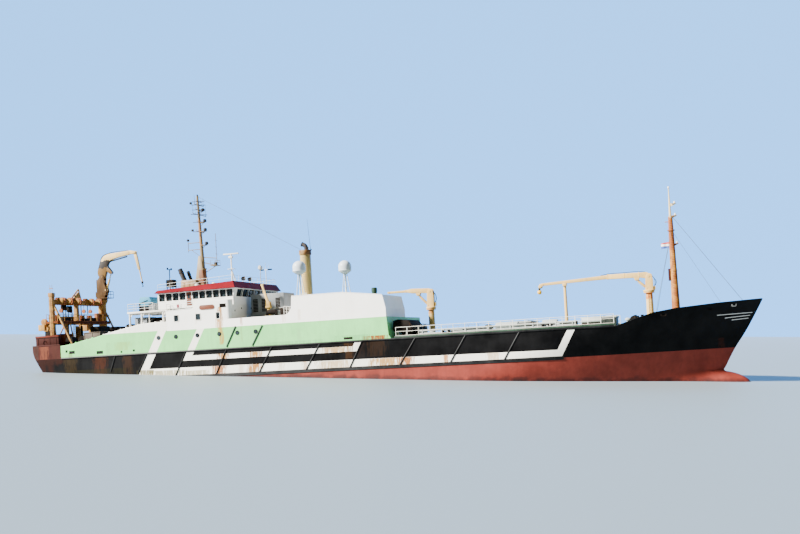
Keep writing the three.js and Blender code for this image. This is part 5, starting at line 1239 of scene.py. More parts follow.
for x, y in ((-20.5, -5.2), (-23.0, -5.4), (-22.2, 5.0), (-26.0, 4.8)):
    add_turned(bm, [(0.16, 0), (0.16, 0.5), (0.3, 0.52), (0.3, 0.64), (0.18, 0.76), (0, 0.78)],
               (x, y, ROOF_TRAY), "Z", 16)
launch("roof_lamps_and_posts", bm, "root", [white_fittings, dark_fittings])

bm = bmesh.new()
add_box(bm, (-27.8, -5.5, 13.9), (-26.7, -4.5, 14.95), 0.05)
for x in (-27.7, -26.8):
    for y in (-5.4, -4.6):
        add_box(bm, (x - 0.05, y - 0.05, ROOF_TRAY), (x + 0.05, y + 0.05, 13.95), 0.01)
add_box(bm, (-27.86, -5.56, 14.62), (-26.64, -4.44, 14.7), 0.02)
launch("roof_locker", bm, "root", dark_fittings)


# Main mast
# A tapered steel tube on a pyramid of plate, with a machinery casing and two lagged exhausts aft
# of it, yards, lamp brackets and aerials. Cream paint, rusting most on the lower tube.
MAST_FOOT, MAST_TOP = ROOF_TRAY + CLEAR, 27.3


def mast_marks(tree, x, y, z, colour):
    rag = put(tree, "TexNoise",
              {"Vector": put(tree, "TexCoord", out="Object"), "Scale": 14.0, "Detail": 5.0})
    slender = put(tree, "Math",
                  [put(tree, "Math", [put(tree, "Math", [x, 24.85], operation="ADD")],
                       operation="ABSOLUTE"), 0.47], operation="LESS_THAN")
    lower = put(tree, "Math", [slender, within(tree, z, 14.4, 16.45)], operation="MULTIPLY")
    lower = put(tree, "Math", [lower, put(tree, "MapRange", [rag, 0.32, 0.45, 0.35, 0.9])],
                operation="MULTIPLY")
    colour = put(tree, "Mix", [lower, colour, hex_colour("6e3c1c")], data_type="RGBA")
    return stained(tree, x, z, colour,
                   [(-25.0, 0.4, 24.0, 20.0, 0.55, "a06a3a"), (-27.0, 1.4, 15.0, 13.4, 0.35, "b98d5a")])


# Cream mast enamel gone brown with soot, rusting on the lower tube
mast_cream = weathered("cream_mast_enamel", "7d6a4a", rough=0.5, fade=0.12, grime=0.4, grime_hex="4f4330",
                       rust=0.5, rust_hex="8e5226", marks=mast_marks)
# Lagging and plate burnt by exhaust gas: dull, black to brown
sooty_steel = weathered("sooty_exhaust_steel", "2b2523", rough=0.7, fade=0.35, grime=0.3,
                        grime_hex="6b5a4d", rust=0.6)

bm = bmesh.new()
pyramid = bmesh.ops.create_cone(bm, cap_ends=True, segments=4, radius1=1.2, radius2=0.36, depth=5.2,
                                matrix=Matrix.Translation((-25.2, 0, MAST_FOOT + 2.6))
                                @ Matrix.Rotation(math.pi / 4, 4, "Z"))
rounded(bm, pyramid["verts"], 0.06)
add_box(bm, (-28.0, -1.2, MAST_FOOT), (-25.5, 1.2, 15.1), 0.08)
for x in (-27.6, -26.8, -26.0):
    add_box(bm, (x - 0.28, -1.24, 13.9), (x + 0.28, -1.18, 14.7), 0.02)
add_tube(bm, (-24.75, 0, MAST_FOOT), (-25.2, 0, MAST_TOP), 0.33, 0.16, 20)
add_tube(bm, (-24.72, 0, MAST_FOOT), (-24.85, 0, 16.55), 0.45, 0.42, 24)
add_turned(bm, [(0.3, 0), (0.5, 0), (0.5, 0.16), (0.3, 0.16)], (-24.85, 0, 16.5), (-0.036, 0, 1), 24)
# height and half length of each yard
for z, half in ((26.4, 0.8), (25.9, 1.3), (25.2, 1.0), (24.5, 1.9), (23.4, 0.8), (22.0, 1.1)):
    add_tube(bm, (-25.0, -half, z), (-25.0, half, z), 0.055)
    add_tube(bm, (-25.9, -half * 0.5, z + 0.06), (-24.3, half * 0.5, z + 0.06), 0.045)
    for y in (-half, -half * 0.55, half * 0.55, half):
        add_tube(bm, (-25.0, y, z), (-25.0, y, z + 0.28), 0.03, sides=8)
for z in (19.5, 20.5):
    add_box(bm, (-27.1, -0.05, z - 0.05), (-24.9, 0.05, z + 0.05), 0.015)
add_tube(bm, (-27.1, 0, 19.2), (-27.1, 0, 20.8), 0.05)
add_tube(bm, (-26.6, 0, 19.5), (-25.0, 0, 18.3), 0.04)
for a, b in (((-24.9, 0, 18.3), (-22.6, 0, 18.0)), ((-24.6, 0, 16.0), (-22.6, 0, 17.0)),
             ((-24.7, 0, 17.5), (-22.6, 0, 16.95))):
    add_tube(bm, a, b, 0.06)
add_box(bm, (-23.4, -0.7, 16.9), (-22.4, 0.7, 17.0), 0.02)
add_rail(bm, [(-23.3, -0.66, 17.0), (-22.45, -0.66, 17.0), (-22.45, 0.66, 17.0), (-23.3, 0.66, 17.0)],
         (0.35, 0.7), 0.7, 0.025, 0.018)
add_pipe(bm, [(-22.6, 0, 17.0), (-22.6, 0, 21.6)], 0.05)
for z in (18.6, 19.6, 20.6):
    add_tube(bm, (-22.6, -0.35, z), (-22.6, 0.35, z), 0.025, sides=8)
# lamp brackets: aft and fore ends, half width and height
for x0, x1, half, z in ((-25.0, -24.2, 0.35, 20.0), (-25.0, -24.3, 0.3, 23.3), (-25.0, -24.3, 0.3, 22.0),
                        (-25.1, -24.5, 0.2, 24.9)):
    add_box(bm, (x0, -half, z), (x1, half, z + 0.08), 0.015)
    add_tube(bm, (x0 + 0.1, 0, z - 0.5), (x1 - 0.1, 0, z), 0.03, sides=8)
# rungs up the fore side, which leans aft and tapers
for i in range(30):
    z = 16.9 + 0.3 * i
    x = -24.45 - 0.65 * (z - MAST_FOOT) / (MAST_TOP - ROOF_TRAY)
    add_tube(bm, (x + 0.02, -0.16, z), (x + 0.02, 0.16, z), 0.018, sides=6)
launch("main_mast_steel", bm, "root", mast_cream, ["main_mast"])

bm = bmesh.new()
# the two lagged exhausts: foot, mouth and radius
for start, end, radius in (((-27.6, -0.5, 14.8), (-28.4, -0.5, 16.8), 0.34),
                           ((-27.1, 0.55, 14.8), (-27.7, 0.55, 16.5), 0.24)):
    way = Vector(end) - Vector(start)
    add_turned(bm,
               [(radius, 0), (radius, way.length), (radius - 0.04, way.length),
                (radius - 0.05, way.length - 0.5), (0, way.length - 0.5)], start, way, 28)
    add_turned(bm, [(radius, 0), (radius + 0.05, 0), (radius + 0.05, 0.08), (radius, 0.08)], Vector(start)
               + way * 0.7, way, 28)
for x, z in ((-24.2, 20.08), (-24.3, 23.38), (-24.3, 22.08), (-24.5, 24.98), (-22.9, 17.0)):
    add_turned(bm, [(radius * 2.1, height * 1.7) for radius, height in LAMP], (x + 0.1, 0, z), "Z", 16)
add_turned(bm, LAMP, (-25.2, 0, 27.25), "Z", 12)
for x, y, z in ((-25.6, -1.3, 25.95), (-25.6, 0.9, 25.2), (-24.6, -0.9, 24.55), (-25.7, -1.0, 22.05),
                (-27.1, 0, 20.8)):
    add_turned(bm, [(radius * 1.6, height * 1.2) for radius, height in LAMP], (x, y, z), "Z", 14)
for x, y, z, tall in ((-25.0, -1.25, 25.9, 1.4), (-25.0, 1.25, 25.9, 1.2), (-25.0, 1.85, 24.5, 1.6),
                      (-25.0, -1.85, 24.5, 1.3)):
    add_tube(bm, (x, y, z), (x, y, z + tall), 0.022, 0.012, 6)
launch("exhausts_and_mast_lamps", bm, "root", sooty_steel)


# Radar post and turning scanner
# A stayed tube carries the gearbox, and over it turns the long white scanner with its rounded back.
SCANNER_X, SCANNER_Z = -20.3, 18.4
bm = bmesh.new()
add_tube(bm, (SCANNER_X, 0, MAST_FOOT), (SCANNER_X, 0, 17.85), 0.13, 0.09, 16)
for y in (-0.35, 0.35):
    add_tube(bm, (SCANNER_X + 0.8, y, MAST_FOOT), (SCANNER_X, 0, 16.2), 0.045)
add_box(bm, (SCANNER_X - 0.3, -0.45, MAST_FOOT), (SCANNER_X + 1.0, 0.45, MAST_FOOT + 0.07), 0.02)
add_box(bm, (SCANNER_X - 0.35, -0.18, 17.8), (SCANNER_X + 0.25, 0.18, 18.1), 0.06)
add_box(bm, (SCANNER_X - 0.5, -0.4, 16.2), (SCANNER_X + 0.5, 0.4, 16.26), 0.02)
launch("radar_pedestal", bm, "root", white_fittings, ["radar_post"])
bm = bmesh.new()
add_prism(bm,
          [(-0.11, SCANNER_Z - 0.07), (0.1, SCANNER_Z - 0.09), (0.11, SCANNER_Z + 0.06),
           (0.05, SCANNER_Z + 0.12), (-0.11, SCANNER_Z + 0.1)], "X", SCANNER_X - 1.2, SCANNER_X + 1.2, 0.02)
add_turned(bm, [(0, 0), (0.1, 0), (0.12, 0.08), (0.12, 0.22), (0, 0.25)], (SCANNER_X, 0, 18.11), "Z", 20)
launch("radar_scanner_bar", bm, "radar", white_fittings, ["radar_scanner"])


# Funnel
# A round casing of buff plate with a flanged crown, rusted where the exhaust gas falls on it, and a
# bent dark exhaust that stands out of it. Rungs climb its starboard side.
FUNNEL_X, FUNNEL_Y = -9.45, 1.6


def add_bent_rung(bm, x, y, z, half, reach):
    """A rung of round bar, bent at both ends to reach in from y to the plate it is welded on."""
    add_pipe(bm, [(x - half, y + reach, z), (x - half, y, z), (x + half, y, z), (x + half, y + reach, z)],
             0.018)


def funnel_marks(tree, x, y, z, colour):
    rag = put(tree, "TexNoise",
              {"Vector": put(tree, "TexCoord", out="Object"), "Scale": 8.0, "Detail": 7.0,
               "Roughness": 0.7})
    reach = put(tree, "Math", [z, put(tree, "MapRange", [rag, 0.3, 0.7, -1.5, 1.5])], operation="ADD")
    colour = put(tree, "Mix",
                 [put(tree, "MapRange", [reach, 16.9, 18.4, 0.0, 0.75]), colour, hex_colour("84562a")],
                 data_type="RGBA")
    crown = within(tree, z, 17.45, 18.2)
    return put(tree, "Mix",
               [put(tree, "Math", [crown, put(tree, "MapRange", [rag, 0.3, 0.6, 0.3, 1.0])],
                    operation="MULTIPLY"), colour, hex_colour("5e3519")], data_type="RGBA")


# Buff funnel enamel: warm, scorched to brown at the crown
funnel_buff = weathered("buff_funnel_enamel", "b9a066", rough=0.5, fade=0.08, grime=0.3, grime_hex="75633f",
                        rust=0.3, rust_hex="a8662c", marks=funnel_marks)
bm = bmesh.new()
add_turned(bm,
           [(0, 0), (0.86, 0), (0.86, 0.08), (0.78, 0.1), (0.78, 3.0), (0.8, 3.02), (0.8, 3.1),
            (0.77, 3.12), (0.76, 8.6), (0.85, 8.68), (0.87, 8.74), (0.87, 9.3), (0.84, 9.35), (0.72, 9.35),
            (0.7, 9.1), (0.0, 9.1)], (FUNNEL_X, FUNNEL_Y, HOUSE_DECK + CLEAR), "Z", 48)
for i in range(28):
    z = HOUSE_DECK + 0.5 + 0.3 * i
    add_bent_rung(bm, FUNNEL_X, FUNNEL_Y - 0.84, z, 0.18, 0.12)
launch("funnel_casing", bm, "root", funnel_buff, ["funnel"])
bm = bmesh.new()
# the main exhaust's elbow turns its mouth aft, and a small drain pipe stands beside it
add_pipe(bm,
         [(FUNNEL_X + 0.2, FUNNEL_Y, 17.7), (FUNNEL_X + 0.2, FUNNEL_Y, 18.4),
          (FUNNEL_X + 0.02, FUNNEL_Y, 18.82), (FUNNEL_X - 0.38, FUNNEL_Y, 19.02)], 0.3, 24, True)
add_turned(bm, [(0.24, 0), (0.34, 0), (0.34, 0.07), (0.24, 0.07)], (FUNNEL_X - 0.38, FUNNEL_Y, 19.02),
           (-0.92, 0, 0.4), 28)
add_turned(bm, [(0.3, 0), (0.42, 0), (0.42, 0.08), (0.3, 0.08)], (FUNNEL_X + 0.2, FUNNEL_Y, 18.12), "Z", 28)
add_tube(bm, (FUNNEL_X + 0.62, FUNNEL_Y - 0.3, 17.8), (FUNNEL_X + 0.62, FUNNEL_Y - 0.3, 18.55), 0.06)
add_tube(bm, (FUNNEL_X + 0.75, FUNNEL_Y + 0.3, 17.9), (FUNNEL_X + 0.45, FUNNEL_Y + 0.3, 22.6), 0.035, 0.015,
         8)
add_tube(bm, (FUNNEL_X + 0.75, FUNNEL_Y, 18.0), (FUNNEL_X + 1.0, FUNNEL_Y, 18.2), 0.1, sides=12)
launch("funnel_exhaust", bm, "root", sooty_steel)


# Satellite domes
# White moulded domes in two halves with a bolted seam, each on a tripod of tubes. Smooth plastic,
# with rain dirt run down the lower half.
# Moulded glass fibre with a gel coat: smooth, hardly dirty, its white painted greyer and bluer in part as
# painted shade
dome_white_with_painted_shade = weathered("moulded_dome_white", "c6ced2", rough=0.35, fade=0.02, grime=0.12,
                       grime_hex="a9a392", rust=0.0)
DOME_LINE = [(0, -0.95), (0.3, -0.95), (0.56, -0.8), (0.8, -0.6), (0.85, -0.52), (0.88, -0.5),
             (0.88, -0.42), (0.85, -0.4), (0.87, 0.02), (0.83, 0.3), (0.73, 0.5), (0.56, 0.68), (0.36, 0.8),
             (0.16, 0.87), (0, 0.88)]
DOME_DECK = 11.2
for name, x, y, z in (("aft", -7.05, -6.6, 15.0), ("fore", -1.55, -4.0, 14.8)):
    bm = bmesh.new()
    add_turned(bm, DOME_LINE, (x, y, z), "Z", 40)
    add_turned(bm, [(0, 0), (0.7, 0), (0.7, 0.06), (0, 0.06)], (x, y, DOME_DECK + CLEAR), "Z", 28)
    # three legs lean in to about a third of their spread under the dome
    spread = [(0.62 * math.cos(a), 0.62 * math.sin(a)) for a in (0, 2.094, 4.189)]
    feet = [(x + a, y + b, DOME_DECK + 0.05) for a, b in spread]
    tops = [(x + a * 0.35, y + b * 0.35, z - 0.9) for a, b in spread]
    for foot, top in zip(feet, tops):
        add_tube(bm, foot, top, 0.055)
        add_turned(bm, [(0, 0), (0.13, 0), (0.13, 0.03), (0, 0.03)], foot, "Z", 12)
    for share in (0.35, 0.68):
        ring = [Vector(foot).lerp(Vector(top), share) for foot, top in zip(feet, tops)]
        add_pipe(bm, [*ring, ring[0]], 0.025)
    add_turned(bm, [(0, 0), (0.3, 0), (0.3, 0.08), (0, 0.08)], (x, y, z - 0.99), "Z", 20)
    add_tube(bm, (x, y, DOME_DECK + 0.05), (x, y, z - 0.95), 0.11, sides=16)
    launch(f"dome_{name}", bm, "root", dome_white_with_painted_shade, [f"radome_{name}"])


# Fore crane
# Welded box boom laid aft on its rest, between the side plates of a slewing column on a tube
# pedestal, with a lift cylinder, a hook block and its yellow ball. Cream enamel over steel.
FORE_PIVOT, FORE_FOOT, FORE_EYE = (37.35, 10.75), (37.1, 9.3), (35.9, 10.42)
FORE_X, FORE_SEAT = 37.3, 8.9
BOOM_HALF, CHEEK, CHEEK_GAP = 0.26, 0.12, 0.006
PIN, PIN_REACH, FOOT_PIN = 0.13, 0.43, 0.09


def crane_marks(tree, x, y, z, colour):
    return stained(tree, x, z, colour,
                   [(FORE_X, 0.9, 8.75, 7.9, 1.0, "b9692a"), (8.2, 0.8, 8.7, 8.0, 0.8, "b9733a"),
                    (36.9, 0.25, 10.6, 9.4, 0.6, "c08a4a"), (28.0, 3.0, 11.0, 10.4, 0.3, "c7a97a")])


# Cream crane enamel: warm, with rust at the flanges
crane_cream = weathered("cream_crane_enamel", "d2ad68", rough=0.45, fade=0.07, grime=0.3,
                        grime_hex="7d6845", rust=0.24, rust_hex="a85f2a", marks=crane_marks)
# Black rubber hose: matt
hose_rubber = weathered("black_hose_rubber", "151515", rough=0.65, fade=0.3, grime=0.2, rust=0.0)

# Hard chrome of the cylinder rods, drawn with faint rings
hard_chrome, tree, shader = new_finish("hard_chrome_rod")
place = ship_place(tree)[0]
oil = put(tree, "TexNoise", {"Vector": place, "Scale": 8.0, "Detail": 3.0})
tone = put(tree, "Mix", [oil, hex_colour("c9ccd0"), hex_colour("9a9c9e")], data_type="RGBA")
gloss = put(tree, "MapRange", [oil, 0.3, 0.7, 0.12, 0.3])
feed(tree, shader, {"Base Color": tone, "Metallic": 1.0, "Roughness": gloss})


def softened(outline, reach, steps=3):
    """The outline with each corner drawn round, from reach before it to reach after it."""
    points = []
    for i, corner in enumerate(outline):
        corner = Vector(corner)
        before, after = Vector(outline[i - 1]), Vector(outline[(i + 1) % len(outline)])
        start = corner + (before - corner) * min(0.45, reach / (before - corner).length)
        end = corner + (after - corner) * min(0.45, reach / (after - corner).length)
        for k in range(steps + 1):
            s = k / steps
            points.append(tuple(start * (1 - s) ** 2 + corner * 2 * s * (1 - s) + end * s * s))
    return points


def add_pin(bm, at, y, reach, radius, sides=24):
    """A round pin across the ship at (x, z), reaching so far to each side of y."""
    add_tube(bm, (at[0], y - reach, at[1]), (at[0], y + reach, at[1]), radius, sides=sides)


def pin_hole(at, y, reach, radius):
    """The cutter for a pin's bore, a little wider than the pin."""
    bm = bmesh.new()
    add_pin(bm, at, y, reach, radius + 0.004)
    return bm


def crane_cheeks(y, outline, pivot, foot):
    """The two side plates of a column, bored for the boom's pin and the cylinder's foot pin."""
    bm = bmesh.new()
    for low in (y + BOOM_HALF + CHEEK_GAP, y - BOOM_HALF - CHEEK_GAP - CHEEK):
        add_prism(bm, softened(outline, 0.1), "Y", low, low + CHEEK, 0.02)
    return carved(bm, pin_hole(pivot, y, 1, PIN), pin_hole(foot, y, 1, FOOT_PIN))


def add_lugs(bm, y, outline):
    """Two lugs under a boom, either side of the rod's eye."""
    for low in (y + 0.18, y - 0.25):
        add_prism(bm, softened(outline, 0.08), "Y", low, low + 0.07, 0.01)


def lift_cylinder(name, y, foot, eye, share):
    """A barrel on its foot pin and a chromed rod with an eye, each on its own body."""
    foot, eye = Vector((foot[0], y, foot[1])), Vector((eye[0], y, eye[1]))
    way = eye - foot
    mouth, reach = way.length * share, BOOM_HALF + CHEEK_GAP + CHEEK + 0.02
    across = Vector((0, 1, 0))
    bm = bmesh.new()
    add_turned(bm,
               [(0, 0), (0.13, 0), (0.155, 0.04), (0.155, mouth - 0.12), (0.17, mouth - 0.11),
                (0.17, mouth - 0.01), (0.16, mouth), (0.104, mouth), (0.104, 0.21), (0, 0.21)], foot, way,
               28)
    add_tube(bm, foot - across * 0.17, foot + across * 0.17, 0.17, sides=24)
    add_tube(bm, foot - across * reach, foot + across * reach, FOOT_PIN, sides=20)
    step = way.normalized()
    side = step.cross(across) * 0.19
    add_pipe(bm,
             [tuple(foot + step * 0.3 + side * 0.7), tuple(foot + step * 0.34 + side),
              tuple(foot + step * (mouth - 0.25) + side), tuple(foot + step * (mouth - 0.2) + side * 0.7)],
             0.02)
    launch(f"{name}_cylinder_barrel", bm, f"{name}_cylinder", crane_cream,
           [f"{name}_crane_cylinder"])
    bm = bmesh.new()
    add_tube(bm, foot + step * 0.23, eye, 0.099, sides=24)
    add_tube(bm, eye - across * 0.12, eye + across * 0.12, 0.15, sides=24)
    launch(f"{name}_cylinder_rod", bm, f"{name}_ram", hard_chrome, [f"{name}_crane_ram"])


def add_pedestal(bm, x, y, foot, seat, radius):
    """A tube with a foot plate, a bolted slewing flange and stiffening webs."""
    wide = radius * 1.45
    add_turned(bm,
               [(0, foot), (wide, foot), (wide, foot + 0.06), (radius, foot + 0.08),
                (radius * 0.92, seat - 0.24), (wide, seat - 0.22), (wide, seat - CLEAR), (0, seat - CLEAR)],
               (x, y, 0), "Z", 36)
    for i in range(16):
        way = i * math.pi / 8
        at = (x + wide * 0.9 * math.cos(way), y + wide * 0.9 * math.sin(way))
        add_tube(bm, (*at, seat - 0.27), (*at, seat - 0.2), 0.035, sides=6)
    for i in range(6):
        way = i * math.pi / 3
        web = prism([(radius * 0.95, 0), (wide - 0.03, 0), (radius * 0.95, 0.4)], "Y", -0.015, 0.015)
        web.transform(Matrix.Translation((x, y, foot + 0.06)) @ Matrix.Rotation(way, 4, "Z"))
        blend(bm, web)


bm = bmesh.new()
add_pedestal(bm, FORE_X, 0, ON_FORE_DECK, FORE_SEAT, 0.45)
add_rungs(bm, (FORE_X - 0.15, -0.5, 5.6), (FORE_X + 0.15, -0.5, 5.6), 0.33, 9)
for x in (FORE_X - 0.15, FORE_X + 0.15):
    add_tube(bm, (x, -0.5, 5.4), (x, -0.5, 8.5), 0.022, sides=6)
launch("fore_crane_tube", bm, "root", crane_cream, ["fore_crane_pedestal"])

bm = crane_cheeks(0,
                  [(36.85, 9.0), (37.85, 9.0), (37.85, 10.3), (37.75, 11.0), (37.5, 11.15), (37.15, 11.1),
                   (36.95, 10.6)], FORE_PIVOT, FORE_FOOT)
add_turned(bm, [(0, 0), (0.72, 0), (0.72, 0.12), (0.68, 0.16), (0, 0.16)], (FORE_X, 0, FORE_SEAT), "Z", 40)
add_box(bm, (37.66, -0.37, 9.0), (37.85, 0.37, 10.3), 0.02)
add_box(bm, (37.85, -0.24, 9.05), (38.12, 0.24, 9.5), 0.04)
add_tube(bm, (37.0, 0.55, 9.05), (37.0, 0.55, 9.55), 0.13, sides=20)
launch("fore_crane_column_plates", bm, "fore_column", crane_cream, ["fore_crane_column"])
bm = bmesh.new()
for y in (-0.14, 0.0, 0.14):
    add_pipe(bm,
             [(38.0, y, 9.45), (38.1 + abs(y), y, 10.0), (37.98, y, 10.5), (37.8, y * 2.2, 10.75),
              (37.72, 0.33 if y > 0 else -0.33, 10.8)], 0.035, 8, True)
launch("fore_crane_column_hoses", bm, "fore_column", hose_rubber)

bm = bmesh.new()
add_prism(bm,
          softened([(37.6, 10.6), (37.55, 11.0), (37.2, 11.3), (32.3, 11.35), (32.3, 10.74), (36.2, 10.68),
                    (37.2, 10.48)], 0.12), "Y", -BOOM_HALF, BOOM_HALF, 0.03)
add_prism(bm,
          softened([(32.6, 11.3), (24.3, 10.86), (23.9, 10.83), (23.8, 10.57), (24.3, 10.52),
                    (32.6, 10.79)], 0.1), "Y", -0.2, 0.2, 0.03)
for x in (32.35, 34.4, 36.2):
    add_box(bm, (x - 0.06, -0.28, 10.7), (x + 0.06, 0.28, 11.37), 0.02)
add_pin(bm, FORE_PIVOT, 0, PIN_REACH, PIN)
add_lugs(bm, 0, [(35.7, 10.32), (36.1, 10.32), (36.3, 10.75), (35.5, 10.75)])
add_prism(bm,
          softened([(24.2, 10.75), (23.75, 10.8), (23.5, 10.45), (23.6, 10.2), (23.9, 10.3), (24.25, 10.6)],
                   0.08), "Y", -0.24, 0.24, 0.02)
launch("fore_crane_boom_box", bm, "fore_boom", crane_cream, ["fore_crane_boom"])
bm = bmesh.new()
add_pin(bm, (23.8, 10.45), 0, 0.14, 0.24)
add_box(bm, (23.5, -0.13, 9.88), (23.76, 0.13, 10.28), 0.04)
for y in (-0.12, 0.0, 0.12):
    add_pipe(bm, [(37.0, y, 11.33), (36.4, y, 11.42), (34.0, y, 11.43), (32.4, y, 11.42), (31.5, y, 11.28)],
             0.032, 8, True)
launch("fore_crane_hook_and_hoses", bm, "fore_boom", hose_rubber)
# Yellow enamel of the hook's ball: bright
safety_yellow = weathered("yellow_hook_enamel", "f0b81e", rough=0.45, fade=0.08, grime=0.3, rust=0.15)
bm = bmesh.new()
add_turned(bm,
           [(0, -0.3), (0.13, -0.28), (0.24, -0.18), (0.3, 0), (0.24, 0.18), (0.13, 0.25), (0.06, 0.28),
            (0, 0.28)], (23.62, 0, 9.72), "Z", 28)
launch("fore_crane_ball", bm, "fore_boom", safety_yellow)
lift_cylinder("fore", 0, FORE_FOOT, FORE_EYE, 0.86)

bm = bmesh.new()
add_turned(bm, [(0, 0), (0.5, 0), (0.5, 0.05), (0.22, 0.08), (0.18, 5.6), (0, 5.6)], (26.9, 0, ON_DECK),
           "Z", 24)
add_prism(bm,
          [(-0.42, 10.3), (0.42, 10.3), (0.42, 10.7), (0.34, 10.7), (0.3, 10.52), (-0.3, 10.52),
           (-0.34, 10.7), (-0.42, 10.7)], "X", 26.65, 27.15, 0.02)
launch("boom_rest_post", bm, "root", crane_cream, ["boom_rest"])


# Mid crane
# The same make as the fore crane and shorter: its knuckled boom lies aft beside the side house.
MID_X, MID_Y, MID_SEAT = 8.2, 3.0, 8.75
MID_PIVOT, MID_FOOT, MID_EYE = (8.2, 11.05), (7.9, 9.2), (6.5, 10.66)
bm = bmesh.new()
add_pedestal(bm, MID_X, MID_Y, ON_DECK, MID_SEAT, 0.45)
launch("mid_crane_tube", bm, "root", crane_cream, ["mid_crane_pedestal"])
bm = crane_cheeks(MID_Y,
                  [(7.7, 8.85), (8.7, 8.85), (8.7, 10.6), (8.6, 11.3), (8.3, 11.45), (8.0, 11.4),
                   (7.8, 10.9)], MID_PIVOT, MID_FOOT)
add_turned(bm, [(0, 0), (0.7, 0), (0.7, 0.12), (0.66, 0.16), (0, 0.16)], (MID_X, MID_Y, MID_SEAT), "Z", 40)
add_box(bm, (8.51, MID_Y - 0.37, 8.85), (8.7, MID_Y + 0.37, 10.6), 0.02)
add_box(bm, (8.7, MID_Y - 0.24, 9.0), (8.95, MID_Y + 0.24, 9.5), 0.04)
launch("mid_crane_column_plates", bm, "mid_column", crane_cream, ["mid_crane_column"])
bm = bmesh.new()
for y in (-0.1, 0.1):
    add_pipe(bm,
             [(8.85, MID_Y + y, 9.45), (9.0, MID_Y + y, 10.1), (8.85, MID_Y + y, 10.7),
              (8.62, MID_Y + 3.2 * y, 10.9)], 0.035, 8, True)
launch("mid_crane_hoses", bm, "mid_column", hose_rubber)
bm = bmesh.new()
add_prism(bm,
          softened([(8.45, 10.85), (8.45, 11.25), (8.1, 11.5), (5.6, 11.62), (5.0, 11.5), (4.7, 11.49),
                    (4.7, 11.12), (5.0, 11.1), (5.6, 10.95), (7.2, 10.9), (8.0, 10.8)], 0.12), "Y",
          MID_Y - BOOM_HALF, MID_Y + BOOM_HALF, 0.03)
add_prism(bm, softened([(5.0, 11.46), (2.1, 11.43), (2.1, 11.14), (5.0, 11.14)], 0.06), "Y", MID_Y - 0.19,
          MID_Y + 0.19, 0.03)
add_box(bm, (4.66, MID_Y - 0.28, 11.1), (4.8, MID_Y + 0.28, 11.52), 0.02)
add_pin(bm, MID_PIVOT, MID_Y, PIN_REACH, PIN)
add_pin(bm, (2.2, 11.28), MID_Y, 0.24, 0.15, 20)
add_lugs(bm, MID_Y, [(6.3, 10.56), (6.7, 10.56), (6.86, 11.0), (6.14, 11.0)])
launch("mid_crane_boom_box", bm, "mid_boom", crane_cream, ["mid_crane_boom"])
lift_cylinder("mid", MID_Y, MID_FOOT, MID_EYE, 0.86)


# Stores crane
# A small post crane on the house deck, its square arm left pointing up, on a rusty yellow post.
STORES_X, STORES_Y, STORES_PIVOT = -12.5, -5.0, (-12.55, 10.7)
# Old yellow enamel: half gone to rust
rusty_yellow = weathered("rusty_yellow_enamel", "a8873f", rough=0.6, fade=0.25, grime=0.4, rust=0.6)
bm = bmesh.new()
for low in (STORES_Y + 0.156, STORES_Y - 0.25):
    add_prism(bm, softened([(-12.85, 10.1), (-12.2, 10.1), (-12.25, 10.85), (-12.75, 10.95)], 0.08), "Y",
              low, low + 0.094, 0.012)
bm = carved(bm, pin_hole(STORES_PIVOT, STORES_Y, 1, 0.08))
add_turned(bm,
           [(0, 0), (0.5, 0), (0.5, 0.18), (0.46, 0.2), (0.26, 0.22), (0.24, 0.4), (0.2, 1.4), (0, 1.4)],
           (STORES_X, STORES_Y, HOUSE_DECK + CLEAR), "Z", 28)
add_box(bm, (-12.85, STORES_Y - 0.35, 10.0), (-12.2, STORES_Y + 0.35, 10.25), 0.03)
launch("stores_crane_stand", bm, "stores_post", rusty_yellow, ["stores_crane_post"])
arm_low, arm_high = Vector((-12.52, STORES_Y, 10.6)), Vector((-13.35, STORES_Y, 13.3))
arm = bmesh.new()
add_box(arm, (-0.15, -0.15, 0), (0.15, 0.15, 1.7), 0.03)
add_box(arm, (-0.12, -0.12, 1.6), (0.12, 0.12, 2.82), 0.02)
add_box(arm, (-0.17, -0.17, 1.62), (0.17, 0.17, 1.74), 0.02)
add_tube(arm, (0, -0.17, 2.72), (0, 0.17, 2.72), 0.13, sides=20)
arm.transform(Matrix.Translation(arm_low)
              @ (arm_high - arm_low).to_track_quat("Z", "Y").to_matrix().to_4x4())
add_pin(arm, STORES_PIVOT, STORES_Y, 0.27, 0.08, 20)
launch("stores_crane_arm", arm, "stores_boom", crane_cream, ["stores_crane_boom"])


# Stern gantry
# Ochre box posts, a beam and a walkway over the ramp, with sheaves hung for the warps, braces to
# the deck and blocks on arms aft. The paint is worn and rust shows at every edge and weld.
GANTRY_X = -46.5
# the port post is a tube that carries the stern crane
STERN_X, STERN_Y, STERN_SEAT = -46.2, 5.7, 13.7


def gantry_marks(tree, x, y, z, colour):
    rag = put(tree, "TexNoise",
              {"Vector": put(tree, "TexCoord", out="Object"), "Scale": 11.0, "Detail": 7.0,
               "Roughness": 0.7})
    return put(tree, "Mix",
               [put(tree, "MapRange", [rag, 0.47, 0.62, 0.0, 0.8]), colour, hex_colour("7a4a1e")],
               data_type="RGBA")


# Ochre enamel rubbed by wire and chain: broad brown patches of rust
gantry_ochre = weathered("worn_ochre_paint", "a57c3a", rough=0.7, fade=0.22, grime=0.35, grime_hex="4a3822",
                         rust=0.55, rust_hex="8a4a22", marks=gantry_marks)
# Orange primer of the sheaves: dull, rusted in the groove
sheave_orange = weathered("orange_sheave_paint", "8e4a1c", rough=0.6, fade=0.25, grime=0.4, rust=0.6)
SHEAVE = [(0, -0.16), (0.5, -0.16), (0.5, -0.1), (0.38, -0.04), (0.38, 0.04), (0.5, 0.1), (0.5, 0.16),
          (0, 0.16)]

